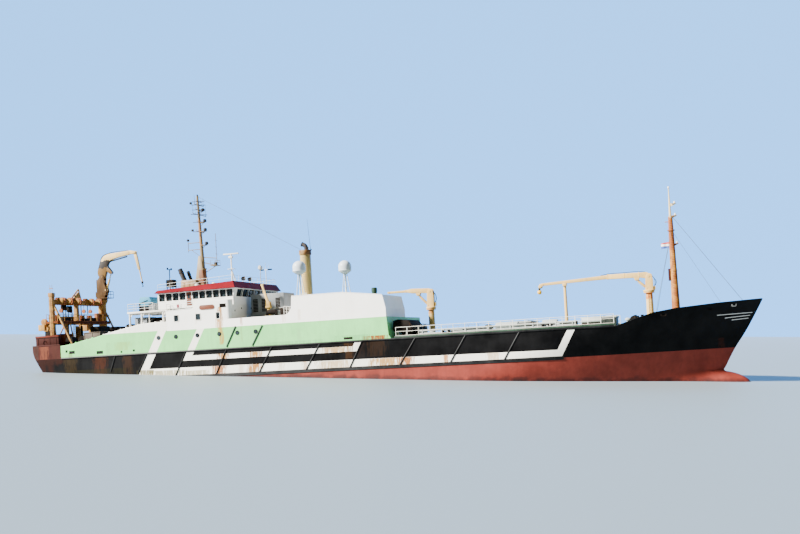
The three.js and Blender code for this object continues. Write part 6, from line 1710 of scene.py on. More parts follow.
bm = bmesh.new()
add_box(bm, (GANTRY_X - 0.3, -6.3, QUARTER_TOP + CLEAR), (GANTRY_X + 0.3, -5.7, 13.9), 0.05)
add_box(bm, (GANTRY_X - 0.36, -6.36, 13.85), (GANTRY_X + 0.36, -5.64, 14.45), 0.05)
add_turned(bm,
           [(0, QUARTER_TOP + CLEAR), (0.85, QUARTER_TOP + CLEAR), (0.85, 6.83), (0.64, 6.86), (0.62, 12.9),
            (0.94, 13.6), (0.95, STERN_SEAT - CLEAR), (0, STERN_SEAT - CLEAR)], (STERN_X, STERN_Y, 0), "Z",
           40)
for i in range(8):
    way = i * math.pi / 4
    at = (STERN_X + 0.86 * math.cos(way), STERN_Y + 0.86 * math.sin(way))
    add_tube(bm, (*at, 13.52), (*at, 13.62), 0.05, sides=6)
add_box(bm, (GANTRY_X - 0.32, -6.1, 12.75), (GANTRY_X + 0.32, 5.7, 13.4), 0.04)
for z in (12.72, 13.38):
    add_box(bm, (GANTRY_X - 0.38, -5.9, z), (GANTRY_X + 0.38, 5.2, z + 0.05), 0.015)
for y in (-5.2, -3.9, -2.4, -1.0, 1.1, 2.6, 4.1):
    add_box(bm, (GANTRY_X - 0.37, y - 0.025, 12.78), (GANTRY_X + 0.37, y + 0.025, 13.38))
coat(add_box(bm, (-47.5, -6.3, 10.0), (-45.4, 6.4, 10.22), 0.03), 1)
for x in (-47.5, -45.5):
    coat(add_box(bm, (x, -6.3, 9.82), (x + 0.1, 6.4, 10.32), 0.02), 1)
for i in range(13):
    add_box(bm, (-47.45, -6.1 + i, 9.88), (-45.45, -6.04 + i, 10.02))
add_box(bm, (GANTRY_X - 0.28, -0.7, 10.2), (GANTRY_X + 0.28, -0.1, 12.8), 0.04)
BRACE_TOP = 12.7
for y in (-6.0, 5.9):
    way = Vector((-42.4, y, DECK + 0.12)) - Vector((-46.2, y, BRACE_TOP))
    stay = bmesh.new()
    add_box(stay, (-0.13, -0.11, 0), (0.13, 0.11, way.length), 0.02)
    stay.transform(Matrix.Translation((-46.2, y, BRACE_TOP))
                   @ way.to_track_quat("Z", "Y").to_matrix().to_4x4())
    blend(bm, stay)
    add_box(bm, (-42.8, y - 0.25, ON_DECK), (-42.0, y + 0.25, DECK + 0.14), 0.02)
for y in (-2.85, 2.85):
    add_box(bm, (GANTRY_X - 0.25, y - 0.25, QUARTER_TOP + CLEAR), (GANTRY_X + 0.25, y + 0.25, 9.95), 0.04)
    add_box(bm, (GANTRY_X - 0.4, y - 0.4, QUARTER_TOP + CLEAR),
            (GANTRY_X + 0.4, y + 0.4, QUARTER_TOP + 0.06), 0.01)
for y in (-4.9, 4.9):
    add_prism(bm, [(-49.0, 9.85), (-46.5, 9.85), (-46.5, 10.25), (-48.2, 10.2), (-49.0, 10.1)], "Y",
              y - 0.2, y + 0.2, 0.03)
    for side in (-1, 1):
        add_prism(bm, soft_rectangle((-48.8, 10.3), (0.8, 0.9), 0.3), "Y", y + side * 0.17, y + side * 0.21,
                  0.01)
add_prism(bm, softened([(-1.6, 13.3), (0.9, 13.3), (0.45, 14.75), (0.15, 14.75)], 0.1), "X",
          GANTRY_X - 0.12, GANTRY_X + 0.12, 0.02)
for x in (-47.42, -45.48):
    add_rail(bm, [(x, -6.2, 10.25), (x, 6.3, 10.25)], (0.55, 1.05), 1.5, 0.04, 0.03)
for y in (-4.6, -3.2, 1.9, 3.4):
    for side in (-1, 1):
        x = GANTRY_X + side * 0.21
        cheek = softened([(y - 0.42, 13.3), (y + 0.42, 13.3), (y + 0.3, 13.82), (y - 0.3, 13.82)], 0.1)
        add_prism(bm, cheek, "X", x, x + side * 0.04, 0.01)
add_rungs(bm, (GANTRY_X - 0.18, -6.42, 7.1), (GANTRY_X + 0.18, -6.42, 7.1), 0.33, 20)
for x in (GANTRY_X - 0.18, GANTRY_X + 0.18):
    add_tube(bm, (x, -6.42, 6.9), (x, -6.42, 13.7), 0.025, sides=6)
# Walkway plate with no paint left: even brown rust
walkway_brown = weathered("rusty_walkway_brown", "6b3612", rough=0.8, shine=0.1, fade=0.3, grime=0.4,
                          grime_hex="24170d", rust=0.6)
launch("gantry_steel", bm, "root", [gantry_ochre, walkway_brown], ["gantry"])

WARP_SHEAVES = [-4.5, -2.84, -0.8, 2.4, 4.3]
HUNG_BLOCK = [(0, -0.1), (0.3, -0.1), (0.3, -0.06), (0.22, 0), (0.3, 0.06), (0.3, 0.1), (0, 0.1)]
bm = bmesh.new()
for y in (-4.6, -3.2, -1.2, 1.9, 3.4):
    add_turned(bm, SHEAVE, (GANTRY_X, y, 13.35), "X", 32)
for y in WARP_SHEAVES:
    add_turned(bm, [(radius * 1.12, height) for radius, height in SHEAVE], (GANTRY_X + 0.75, y, 13.25), "Y",
               32)
    add_turned(bm, [(0, -0.24), (0.16, -0.24), (0.16, 0.24), (0, 0.24)], (GANTRY_X + 0.75, y, 13.25), "Y",
               16)
for y in (-4.9, 4.9):
    add_turned(bm, SHEAVE, (-48.8, y, 10.3), "Y", 32)
for y in (-4.0, -1.8, 1.4, 3.0):
    # hanging blocks under the beam
    add_tube(bm, (GANTRY_X, y, 12.0), (GANTRY_X, y, 12.75), 0.04, sides=8)
    add_turned(bm, HUNG_BLOCK, (GANTRY_X, y, 11.85), "Y", 24)
add_box(bm, (GANTRY_X - 0.3, 4.3, 10.25), (GANTRY_X + 0.3, 5.1, 11.6), 0.08)
launch("gantry_sheaves", bm, "root", sheave_orange)

# dark blocks, chain and winch gear that hang under the beam and stand round the walkway
bm = bmesh.new()
# chains of links: across, top and foot
for y, top, low in ((-3.7, 12.7, 10.6), (-3.1, 12.6, 10.9), (-2.5, 12.7, 10.5), (-1.6, 12.6, 10.8),
                    (0.6, 12.7, 11.3), (2.2, 12.7, 11.6)):
    links = round((top - low) / 0.24)
    for i in range(links):
        z = top - 0.24 * i
        wide, deep = ((0.16, 0.05), (0.05, 0.16))[i % 2]
        add_box(bm, (GANTRY_X + 0.1 - wide / 2, y - deep / 2, z - 0.3),
                (GANTRY_X + 0.1 + wide / 2, y + deep / 2, z), 0.02)
# blocks and boxes in the gantry's opening: centre, foot, width and height
for y, z, long, high in ((-2.9, 10.27, 2.4, 0.75), (-3.4, 11.9, 0.5, 0.8), (-2.1, 11.7, 0.55, 0.9),
                         (1.6, 10.27, 1.2, 0.5), (3.3, 10.27, 0.9, 0.6)):
    add_box(bm, (GANTRY_X - 0.35, y - long / 2, z), (GANTRY_X + 0.4, y + long / 2, z + high), 0.08)
# winch gear round its feet, by two corners of each
for low, high in (((-45.2, -2.7, QUARTER_TOP), (-44.0, -2.4, 9.5)),
                  ((-45.0, 0.6, DECK + 0.2), (-43.4, 3.4, 9.4)),
                  ((-44.6, 3.9, DECK + 0.2), (-42.6, 6.6, 9.3)),
                  ((-48.3, -5.6, QUARTER_TOP + 0.01), (-47.3, -4.2, 8.9)),
                  ((-43.2, -6.2, DECK + 0.01), (-41.4, -3.6, 6.9))):
    add_box(bm, low, high, 0.08)
# drums on plate feet: place and radius
for x, y, radius in ((-42.0, -5.0, 0.62), (-40.9, -6.0, 0.5), (-44.2, -5.0, 0.6), (-37.6, -6.2, 0.6),
                     (-34.0, -6.2, 0.62)):
    add_tube(bm, (x, y - 0.6, 7.3), (x, y + 0.6, 7.3), radius, sides=28)
    add_box(bm, (x - 0.3, y - 0.5, DECK + 0.01), (x + 0.3, y + 0.5, 7.0), 0.04)
launch("gantry_gear", bm, "root", dark_fittings)

# the open frame on the beam, mesh screens and struts aft, and whips on the starboard post
bm = bmesh.new()
for a, b in (((-46.5, -1.9, 13.4), (-46.5, 0.3, 15.2)), ((-46.5, 0.3, 15.2), (-46.5, 0.9, 13.4)),
             ((-46.5, -0.9, 14.2), (-46.5, 0.7, 14.1)), ((-47.6, -5.2, 9.9), (-48.4, -5.6, 6.8)),
             ((-45.3, -3.6, 9.9), (-44.3, -4.2, 6.8)), ((-45.3, -1.6, 9.9), (-43.5, -2.4, 6.0)),
             ((-47.5, -2.0, 9.9), (-48.9, -2.6, 6.8)), ((-47.5, 2.0, 9.9), (-48.9, 2.6, 6.8))):
    add_tube(bm, a, b, 0.11, sides=12)
for i in range(7):
    add_box(bm, (-45.3 + 0.2 * i, -3.02, 7.6), (-45.24 + 0.2 * i, -2.98, 9.8))
    add_box(bm, (-45.3, -3.03, 7.7 + 0.33 * i), (-44.0, -2.97, 7.76 + 0.33 * i))
add_box(bm, (-45.36, -3.06, 7.5), (-43.95, -2.94, 7.62), 0.02)
for x in (-46.7, -46.35):
    add_tube(bm, (x, -6.0, 14.4), (x, -6.0, 15.6), 0.03, sides=8)
add_tube(bm, (-46.8, -6.0, 15.1), (-46.2, -6.0, 15.1), 0.06, sides=10)
for side in (-1, 1):
    add_box(bm, (-49.3, side * 4.3 - 0.25, 8.9), (-48.0, side * 4.3 + 0.25, 10.0), 0.06)
    add_box(bm, (-49.2, side * 5.6 - 0.25, 9.0), (-48.1, side * 5.6 + 0.25, 9.9), 0.06)
coat(add_box(bm, (-47.2, -5.4, QUARTER_TOP + 0.01), (-45.1, -3.3, 8.4), 0.08), 1)
cheek = softened([(-46.3, 12.8), (-45.6, 12.9), (-45.35, 13.3), (-45.6, 13.7), (-46.3, 13.7)], 0.1)
for y in WARP_SHEAVES:
    for side in (-1, 1):
        add_prism(bm, cheek, "Y", y + side * 0.19, y + side * 0.25, 0.01)
for y in (-5.4, -4.0, 0.4, 1.8, 3.6):
    coat(add_box(bm, (GANTRY_X - 0.9, y - 0.35, 10.25), (GANTRY_X - 0.4, y + 0.35, 11.3), 0.06), 1)
launch("gantry_frames", bm, "root", [gantry_ochre, walkway_brown])


# Stern crane
# A knuckle crane slewing on the gantry's port post: ochre column with a driver's stand, a goose-neck
# arm in cream, and a thin jib that hangs down from its end with a hook.
STERN_PIVOT, STERN_FOOT, STERN_EYE = (-45.7, 17.3), (-45.2, 15.2), (-44.2, 17.85)
JIB_PIVOT = (-39.75, 20.7)


def stern_brown_and_shade_marks(tree, x, y, z, colour):
    """Ochre gone brown up to the knuckle, partly in wear and partly as painted shade of the arm's shaded
    side, and a near-black band of painted shade under the knuckle's bend.
    """
    rag = put(tree, "TexNoise",
              {"Vector": put(tree, "TexCoord", out="Object"), "Scale": 9.0, "Detail": 6.0})
    edge = put(tree, "Math", [z, put(tree, "MapRange", [rag, 0.3, 0.7, -0.3, 0.3])], operation="ADD")
    # below the knuckle: brown, partly the paint's wear and partly painted shade of the shaded side
    low = put(tree, "Math",
              [put(tree, "Math", [edge, 19.0], operation="LESS_THAN"),
               put(tree, "Math", [x, -42.5], operation="LESS_THAN")], operation="MULTIPLY")
    colour = put(tree, "Mix", [low, colour, hex_colour("6e501f")], data_type="RGBA")
    # a near-black band across the bend: painted shade under the knuckle
    dark = put(tree, "Math",
               [within(tree, edge, 18.7, 19.9), put(tree, "Math", [x, -44.3], operation="LESS_THAN")],
               operation="MULTIPLY")
    return put(tree, "Mix", [dark, colour, hex_colour("1d150d")], data_type="RGBA")


# Cream enamel of the stern crane: worn, and brown up to the knuckle, partly as painted shade
stern_cream = weathered("worn_stern_crane_enamel_with_painted_shade", "d6b678", rough=0.5, fade=0.12, grime=0.4,
                        grime_hex="5d4b2e", rust=0.4, rust_hex="7a4218", marks=stern_brown_and_shade_marks)
# Ochre of the column gone dark under grease and rust
column_brown = weathered("brown_column_paint", "4a3213", rough=0.6, shine=0.12, fade=0.25, grime=0.45,
                         grime_hex="2f2414", rust=0.5, rust_hex="5a2e12")
bm = crane_cheeks(STERN_Y,
                  [(-46.8, 13.95), (-45.5, 13.95), (-45.0, 14.9), (-45.0, 15.4), (-45.45, 16.4),
                   (-45.35, 17.3), (-45.6, 17.65), (-46.0, 17.6), (-46.55, 16.9), (-46.8, 16.9)],
                  STERN_PIVOT, STERN_FOOT)
add_turned(bm, [(0, 0), (0.9, 0), (0.9, 0.22), (0.84, 0.3), (0, 0.3)], (STERN_X, STERN_Y, STERN_SEAT), "Z",
           40)
add_box(bm, (-46.8, STERN_Y - 0.37, 13.95), (-46.57, STERN_Y + 0.37, 16.9), 0.02)
add_box(bm, (-47.1, STERN_Y - 0.3, 14.1), (-46.8, STERN_Y + 0.3, 15.0), 0.04)
add_box(bm, (-45.8, STERN_Y - 0.8, 13.87), (-44.5, STERN_Y + 0.8, 13.97), 0.02)
add_rail(bm,
         [(-45.45, STERN_Y - 0.75, 13.95), (-44.55, STERN_Y - 0.75, 13.95), (-44.55, STERN_Y + 0.75, 13.95),
          (-45.45, STERN_Y + 0.75, 13.95)], (0.55, 1.01), 1.0, 0.035, 0.03)
launch("stern_crane_column_plates", bm, "stern_column", column_brown,
       ["stern_crane_column"])

bm = bmesh.new()
arm = [(-45.9, 17.05), (-46.4, 17.35), (-46.62, 18.0), (-46.35, 18.9), (-45.95, 19.8), (-45.35, 20.6),
       (-44.5, 20.85), (-40.2, 21.1), (-40.2, 20.55), (-43.0, 20.15), (-44.2, 19.85), (-44.65, 19.3),
       (-45.0, 18.0), (-45.35, 17.0)]
for low in (STERN_Y + 0.166, STERN_Y - 0.266):
    add_prism(bm, softened([(-40.5, 20.5), (-40.5, 21.1), (-39.55, 20.9), (-39.5, 20.55)], 0.1), "Y", low,
              low + 0.1, 0.012)
bm = carved(bm, pin_hole(JIB_PIVOT, STERN_Y, 1, 0.1))
add_prism(bm, softened(arm, 0.35, 4), "Y", STERN_Y - BOOM_HALF, STERN_Y + BOOM_HALF, 0.03)
add_pin(bm, STERN_PIVOT, STERN_Y, PIN_REACH, PIN)
add_lugs(bm, STERN_Y, [(-44.4, 17.7), (-44.05, 17.65), (-43.95, 17.95), (-44.75, 18.95), (-45.05, 18.3)])
launch("stern_crane_arm", bm, "stern_boom", stern_cream, ["stern_crane_boom"])
bm = bmesh.new()
for y in (-0.13, 0.0, 0.13):
    add_pipe(bm,
             [(-46.2, STERN_Y + y, 19.4), (-45.6, STERN_Y + y, 20.55), (-44.6, STERN_Y + y, 20.93),
              (-41.0, STERN_Y + y, 21.12)], 0.035, 8, True)
add_tube(bm, (-44.4, STERN_Y - 0.02, 19.65), (-41.2, STERN_Y - 0.02, 20.2), 0.11, sides=16)
launch("stern_crane_hoses", bm, "stern_boom", hose_rubber)

bm = bmesh.new()
add_prism(bm,
          softened([(-39.95, 20.75), (-39.75, 20.9), (-39.5, 20.75), (-38.95, 18.0), (-39.3, 17.95),
                    (-39.9, 20.4)], 0.1), "Y", STERN_Y - 0.16, STERN_Y + 0.16, 0.02)
add_tube(bm, (-39.15, STERN_Y, 18.2), (-38.72, STERN_Y, 16.0), 0.11, 0.1, 16)
add_pin(bm, JIB_PIVOT, STERN_Y, 0.3, 0.1, 20)
launch("stern_crane_jib_arm", bm, "stern_jib", stern_cream, ["stern_crane_jib"])
bm = bmesh.new()
add_box(bm, (-38.86, STERN_Y - 0.1, 15.75), (-38.58, STERN_Y + 0.1, 16.1), 0.03)
add_pipe(bm,
         [(-38.72, STERN_Y, 15.8), (-38.7, STERN_Y, 15.5), (-38.58, STERN_Y, 15.38),
          (-38.66, STERN_Y, 15.28), (-38.8, STERN_Y, 15.32)], 0.05, 8, True)
launch("stern_crane_hook", bm, "stern_jib", dark_fittings)
lift_cylinder("stern", STERN_Y, STERN_FOOT, STERN_EYE, 0.62)


# Otter boards
# Steel trawl doors stowed on the quarters: a plated box with a heavier shoe, a lid rail, ribs and
# the towing bracket, in red primer gone brown.
BOARD_AFT, BOARD_FORE = -48.8, -44.9
# Primer of the boards scoured by the sea bed: dark red-brown, dented
otter_red = weathered("rusty_otter_primer", "34120b", rough=0.8, shine=0.1, fade=0.3, grime=0.45,
                      grime_hex="21130e", rust=0.45, rust_hex="6a3418", plates=1.5)
bm = bmesh.new()
add_box(bm, (BOARD_AFT, -7.0, QUARTER_TOP + CLEAR), (BOARD_FORE, -6.42, 7.92), 0.03)
coat(add_box(bm, (BOARD_AFT + 0.02, -7.02, 7.84), (BOARD_FORE - 0.02, -6.42, 7.93), 0.01), 2)
# the lid takes the lighter copy of the primer, painted sunlight
coat(add_box(bm, (BOARD_AFT - 0.05, -7.05, 7.93), (BOARD_FORE + 0.05, -6.42, 8.2), 0.05), 1)
add_box(bm, (BOARD_AFT - 0.03, -7.03, 6.76), (BOARD_FORE + 0.03, -6.46, 6.86), 0.02)
for x in (-48.4, -47.4, -46.4, -45.3):
    add_box(bm, (x - 0.04, -7.04, 6.8), (x + 0.04, -6.44, 7.9), 0.01)
add_pipe(bm, [(-47.6, -7.02, 7.1), (-47.2, -7.06, 7.5), (-46.9, -7.02, 7.1)], 0.04, 8, True)
port_side = mirrored(bm)
# The same primer on top, painted lighter as painted sunlight on the lids
sunlit_lid_red = weathered("sunlit_otter_primer", "5a2214", rough=0.75, shine=0.1, fade=0.25, grime=0.3,
                    grime_hex="4a2a20", rust=0.4)
launch("otter_board_stbd", bm, "root", [otter_red, sunlit_lid_red, dark_fittings],
       ["trawl_door_stbd"])
launch("otter_board_port", port_side, "root", [otter_red, sunlit_lid_red, dark_fittings],
       ["trawl_door_port"])


# Net drum and trawl winches
# Flanged steel drums on plate stands across the working deck. The winches are wound with greased
# wire warp, and the net drum's core is bare.
DRUM_X, DRUM_Z, DRUM_HALF = -39.8, 7.1, 2.6
WINCH_X, WINCH_Z, WINCH_Y = -35.6, 6.2, 5.1
# Deck machinery paint under old grease: brown and half matt
deck_machine_paint = weathered("deck_machine_paint", "46382a", rough=0.6, fade=0.25, grime=0.45, rust=0.55)
# Steel wire rope in grease: dull metal, its turns lying one rope's thickness apart on the drum
WIRE_THICK = 0.032
greased_wire, tree, shader = new_finish("greased_wire_warp")
place = ship_place(tree)[0]
lay = put(tree, "TexWave",
          {"Vector": place, "Scale": wave_scale(WIRE_THICK), "Distortion": 0.6, "Detail": 1.0}, "Fac",
          bands_direction="Y")
tone = put(tree, "Mix", [lay, hex_colour("2a2622"), hex_colour("6f675c")], data_type="RGBA")
bump = put(tree, "Bump", {"Height": lay, "Strength": 0.8, "Distance": 0.0015})
feed(tree, shader, {"Base Color": tone, "Metallic": 0.7, "Roughness": 0.45, "Normal": bump})


def add_flange(bm, x, y, z, radius):
    """A drum flange with a rolled rim, its flat face at y - 0.04."""
    add_turned(bm,
               [(0, -0.04), (radius - 0.06, -0.04), (radius, -0.03), (radius, 0.05), (radius - 0.05, 0.05),
                (radius - 0.06, 0.0), (0, 0.0)], (x, y, z), "Y", 40)


bm = bmesh.new()
for side in (-1, 1):
    low = DRUM_HALF + 0.1 if side > 0 else -DRUM_HALF - 0.4
    add_prism(bm, softened([(-41, ON_DECK), (-38.6, ON_DECK), (-39.4, 7.5), (-40.2, 7.5)], 0.15), "Y", low,
              low + 0.3, 0.02)
bm = carved(bm, pin_hole((DRUM_X, DRUM_Z), 0, 4, 0.201))
add_box(bm, (-41, -DRUM_HALF - 0.2, ON_DECK), (-40.6, DRUM_HALF + 0.2, DECK + 0.3), 0.03)
launch("net_drum_frame", bm, "root", deck_machine_paint, ["net_drum_stand"])
bm = bmesh.new()
add_tube(bm, (DRUM_X, -DRUM_HALF - 0.35, DRUM_Z), (DRUM_X, DRUM_HALF + 0.35, DRUM_Z), 0.2, sides=28)
add_tube(bm, (DRUM_X, -DRUM_HALF, DRUM_Z), (DRUM_X, DRUM_HALF, DRUM_Z), 0.8, sides=40)
add_flange(bm, DRUM_X, -DRUM_HALF + 0.04, DRUM_Z, 1.25)
add_flange(bm, DRUM_X, DRUM_HALF - 0.06, DRUM_Z, 1.25)
for i in range(8):
    way = i * math.pi / 4
    add_box(bm,
            (DRUM_X + 0.82 * math.cos(way) - 0.04, -DRUM_HALF + 0.1, DRUM_Z + 0.82 * math.sin(way) - 0.04),
            (DRUM_X + 0.82 * math.cos(way) + 0.04, DRUM_HALF - 0.1, DRUM_Z + 0.82 * math.sin(way) + 0.04),
            0.01)
launch("net_drum_barrel", bm, "net_drum", deck_machine_paint, ["net_drum"])

bm = bmesh.new()
for centre in (-WINCH_Y, WINCH_Y):
    for low in (centre + 1.1, centre - 1.3):
        add_prism(bm, softened([(-36.8, ON_DECK), (-34.4, ON_DECK), (-35.2, 6.6), (-36.0, 6.6)], 0.12), "Y",
                  low, low + 0.2, 0.02)
bm = carved(bm, pin_hole((WINCH_X, WINCH_Z), 0, 8, 0.151))
add_box(bm, (-36.8, -6.3, ON_DECK), (-36.4, 6.3, DECK + 0.28), 0.03)
launch("trawl_winch_stands", bm, "root", deck_machine_paint, ["trawl_winch_frame"])
for name, y in (("stbd", -WINCH_Y), ("port", WINCH_Y)):
    bm = bmesh.new()
    add_tube(bm, (WINCH_X, y - 1.25, WINCH_Z), (WINCH_X, y + 1.25, WINCH_Z), 0.15, sides=24)
    add_flange(bm, WINCH_X, y - 0.96, WINCH_Z, 1.0)
    add_flange(bm, WINCH_X, y + 0.94, WINCH_Z, 1.0)
    coat(add_tube(bm, (WINCH_X, y - 0.96, WINCH_Z), (WINCH_X, y + 0.9, WINCH_Z), 0.74, sides=48), 1)
    launch(f"trawl_winch_{name}_drum", bm, f"winch_{name}", [deck_machine_paint, greased_wire],
           [f"trawl_winch_drum_{name}"])


# Aft platform
# The bridge deck carried on aft over the trawl winches: a plated deck and its girders on white
# tube posts, with rails, a gear stowage covered in blue, deck machinery and lockers.
PLATFORM_AFT, PLATFORM_FORE, PLATFORM_HALF = -33.0, -26.63, 7.5
PLATFORM_LOW, PLATFORM_DECK = 10.45, 10.7
bm = bmesh.new()
add_box(bm, (PLATFORM_AFT, -PLATFORM_HALF, PLATFORM_LOW), (PLATFORM_FORE, PLATFORM_HALF, PLATFORM_DECK),
        0.03)
for y in (-6.5, -4.0, -1.5, 1.5, 4.0, 6.5):
    add_box(bm, (PLATFORM_AFT + 0.1, y - 0.06, PLATFORM_LOW - 0.2),
            (PLATFORM_FORE - 0.1, y + 0.06, PLATFORM_LOW + 0.02), 0.01)
for side in (-1, 1):
    for x in (-32.7, -30.8, -27.4):
        add_tube(bm, (x, side * 7.3, ON_DECK), (x, side * 7.3, PLATFORM_LOW + 0.05), 0.13, sides=16)
        add_prism(bm, [(x + 0.1, PLATFORM_LOW - 0.6), (x + 0.5, PLATFORM_LOW), (x + 0.1, PLATFORM_LOW)],
                  "Y", side * 7.3 - 0.03, side * 7.3 + 0.03)
    add_tube(bm, (-29.6, side * 7.3, ON_DECK), (-29.6, side * 7.3, PLATFORM_LOW + 0.05), 0.07, sides=12)
    add_rail(bm, [(-32.9, side * 7.4, PLATFORM_DECK), (-28.9, side * 7.4, PLATFORM_DECK)], (0.4, 0.75, 1.1),
             1.3)
add_rail(bm, [(-32.9, -7.4, PLATFORM_DECK), (-32.9, 7.4, PLATFORM_DECK)], (0.4, 0.75, 1.1), 1.5)
decked(bm, 10.6)
launch("aft_platform_steel", bm, "root", [white_fittings, deck_green], ["aft_platform"])


def add_locker(bm, low, high, index=0):
    """A steel locker: rounded box, a lid that overhangs, stiffeners, two doors with handles."""
    start = len(bm.verts)
    add_box(bm, low, (high[0], high[1], high[2] - 0.12), 0.05)
    add_box(bm, (low[0] - 0.06, low[1] - 0.06, high[2] - 0.12), (high[0] + 0.06, high[1] + 0.06, high[2]),
            0.03)
    middle = (low[0] + high[0]) / 2
    for x in (low[0] + 0.12, middle, high[0] - 0.12):
        add_box(bm, (x - 0.05, low[1] - 0.04, low[2]), (x + 0.05, high[1] + 0.04, high[2] - 0.1), 0.01)
    for y in (low[1] - 0.06, high[1] + 0.03):
        for x in (middle - 0.25, middle + 0.2):
            add_box(bm, (x, y, (low[2] + high[2]) / 2 - 0.2),
                    (x + 0.05, y + 0.03, (low[2] + high[2]) / 2 + 0.2), 0.01)
    for y in (low[1] + 0.12, (low[1] + high[1]) / 2, high[1] - 0.12):
        add_box(bm, (low[0] - 0.04, y - 0.05, low[2]), (high[0] + 0.04, y + 0.05, high[2] - 0.1), 0.01)
    bm.verts.ensure_lookup_table()
    coat(bm.verts[start:], index)


# Blue enamel of the gear cover: faded in patches
cover_blue = weathered("blue_cover_enamel", "2f86a8", rough=0.6, fade=0.2, grime=0.25, grime_hex="1d4a5c",
                       rust=0.05)
bm = bmesh.new()
# lockers on the platform and under it: two corners, and which of the piece's finishes each has
for low, high, index in (((-32.3, -5.2, PLATFORM_DECK), (-30.6, -2.8, 11.5), 0),
                         ((-30.3, -6.2, PLATFORM_DECK), (-29.2, -4.9, 11.75), 1),
                         ((-32.2, 2.8, PLATFORM_DECK), (-30.4, 5.0, 11.9), 2)):
    add_locker(bm, low, high, index)
add_turned(bm,
           [(0, -0.5), (0.42, -0.5), (0.42, -0.44), (0.2, -0.4), (0.2, 0.4), (0.42, 0.44), (0.42, 0.5),
            (0, 0.5)], (-29.9, -3.4, 11.25), "Y", 24)
for y in (-3.95, -2.85):
    add_box(bm, (-30.1, y - 0.05, PLATFORM_DECK), (-29.7, y + 0.05, 11.3), 0.02)
for low, high, index in (((-32.4, -6.6, ON_DECK), (-30.4, -4.4, 9.9), 1),
                         ((-29.4, -6.4, ON_DECK), (-27.9, -4.8, 9.6), 0),
                         ((-32.3, 4.0, ON_DECK), (-29.0, 6.6, 9.9), 1),
                         ((-34.2, -4.4, ON_DECK), (-33.1, -2.4, 9.0), 3),
                         ((-34.2, 1.4, ON_DECK), (-33.1, 3.9, 9.3), 3),
                         ((-32.2, -3.4, ON_DECK), (-27.6, -1.0, 9.9), 0),
                         ((-40.7, -6.9, ON_DECK), (-37.9, -5.1, 8.3), 3)):
    add_locker(bm, low, high, index)
# guide rollers on posts
for x, y, z in ((-33.6, -5.7, 8.6), (-37.4, -4.2, 7.8), (-33.6, 5.7, 8.4)):
    add_tube(bm, (x, y - 0.7, z), (x, y + 0.7, z), 0.5, sides=28)
    add_box(bm, (x - 0.15, y - 0.1, DECK + 0.01), (x + 0.15, y + 0.1, z), 0.02)
add_tube(bm, (-31.5, -6.6, PLATFORM_DECK), (-31.5, -6.6, 11.9), 0.12, sides=16)
add_tube(bm, (-31.5, -6.6, 11.8), (-30.2, -6.6, 12.2), 0.08)
launch("aft_platform_machinery", bm, "root",
       [dark_fittings, casing_grey, white_fittings, deck_machine_paint])
bm = bmesh.new()
add_prism(bm,
          softened([(-32.45, 11.5), (-30.5, 11.5), (-30.5, 12.35), (-30.75, 12.8), (-32.2, 12.85),
                    (-32.45, 12.4)], 0.15), "Y", -5.3, -2.7, 0.05)
launch("aft_platform_blue_cover", bm, "root", cover_blue)
bm = bmesh.new()
add_prism(bm, softened([(-31.6, PLATFORM_DECK), (-30.2, PLATFORM_DECK), (-30.2, 11.5), (-31.6, 11.5)], 0.1),
          "Y", -1.0, 1.6, 0.04)
for y in (-2.2, 2.2):
    add_turned(bm, [(0, 0), (0.2, 0), (0.2, 0.7), (0.34, 0.74), (0.34, 0.92), (0.2, 1.06), (0, 1.08)],
               (-29.2, y, PLATFORM_DECK), "Z", 20)
launch("aft_platform_lockers", bm, "root", white_fittings)


# Foredeck hatches
# Steel coamings with a flanged head and brackets, and ribbed grey covers hinged at one end and held
# by cleats.
# Light grey hatch enamel: rust at every rib and cleat
hatch_grey = weathered("grey_hatch_enamel", "aab0ab", rough=0.55, fade=0.08, grime=0.35, rust=0.32)
# Dull dark green of the coamings: dirty, and darkened as painted shade under the lids' overhang
coaming_green_and_painted_shade = weathered("dull_coaming_green", "27302b", rough=0.6, fade=0.2, grime=0.3, rust=0.3)
COAMING = 5.85
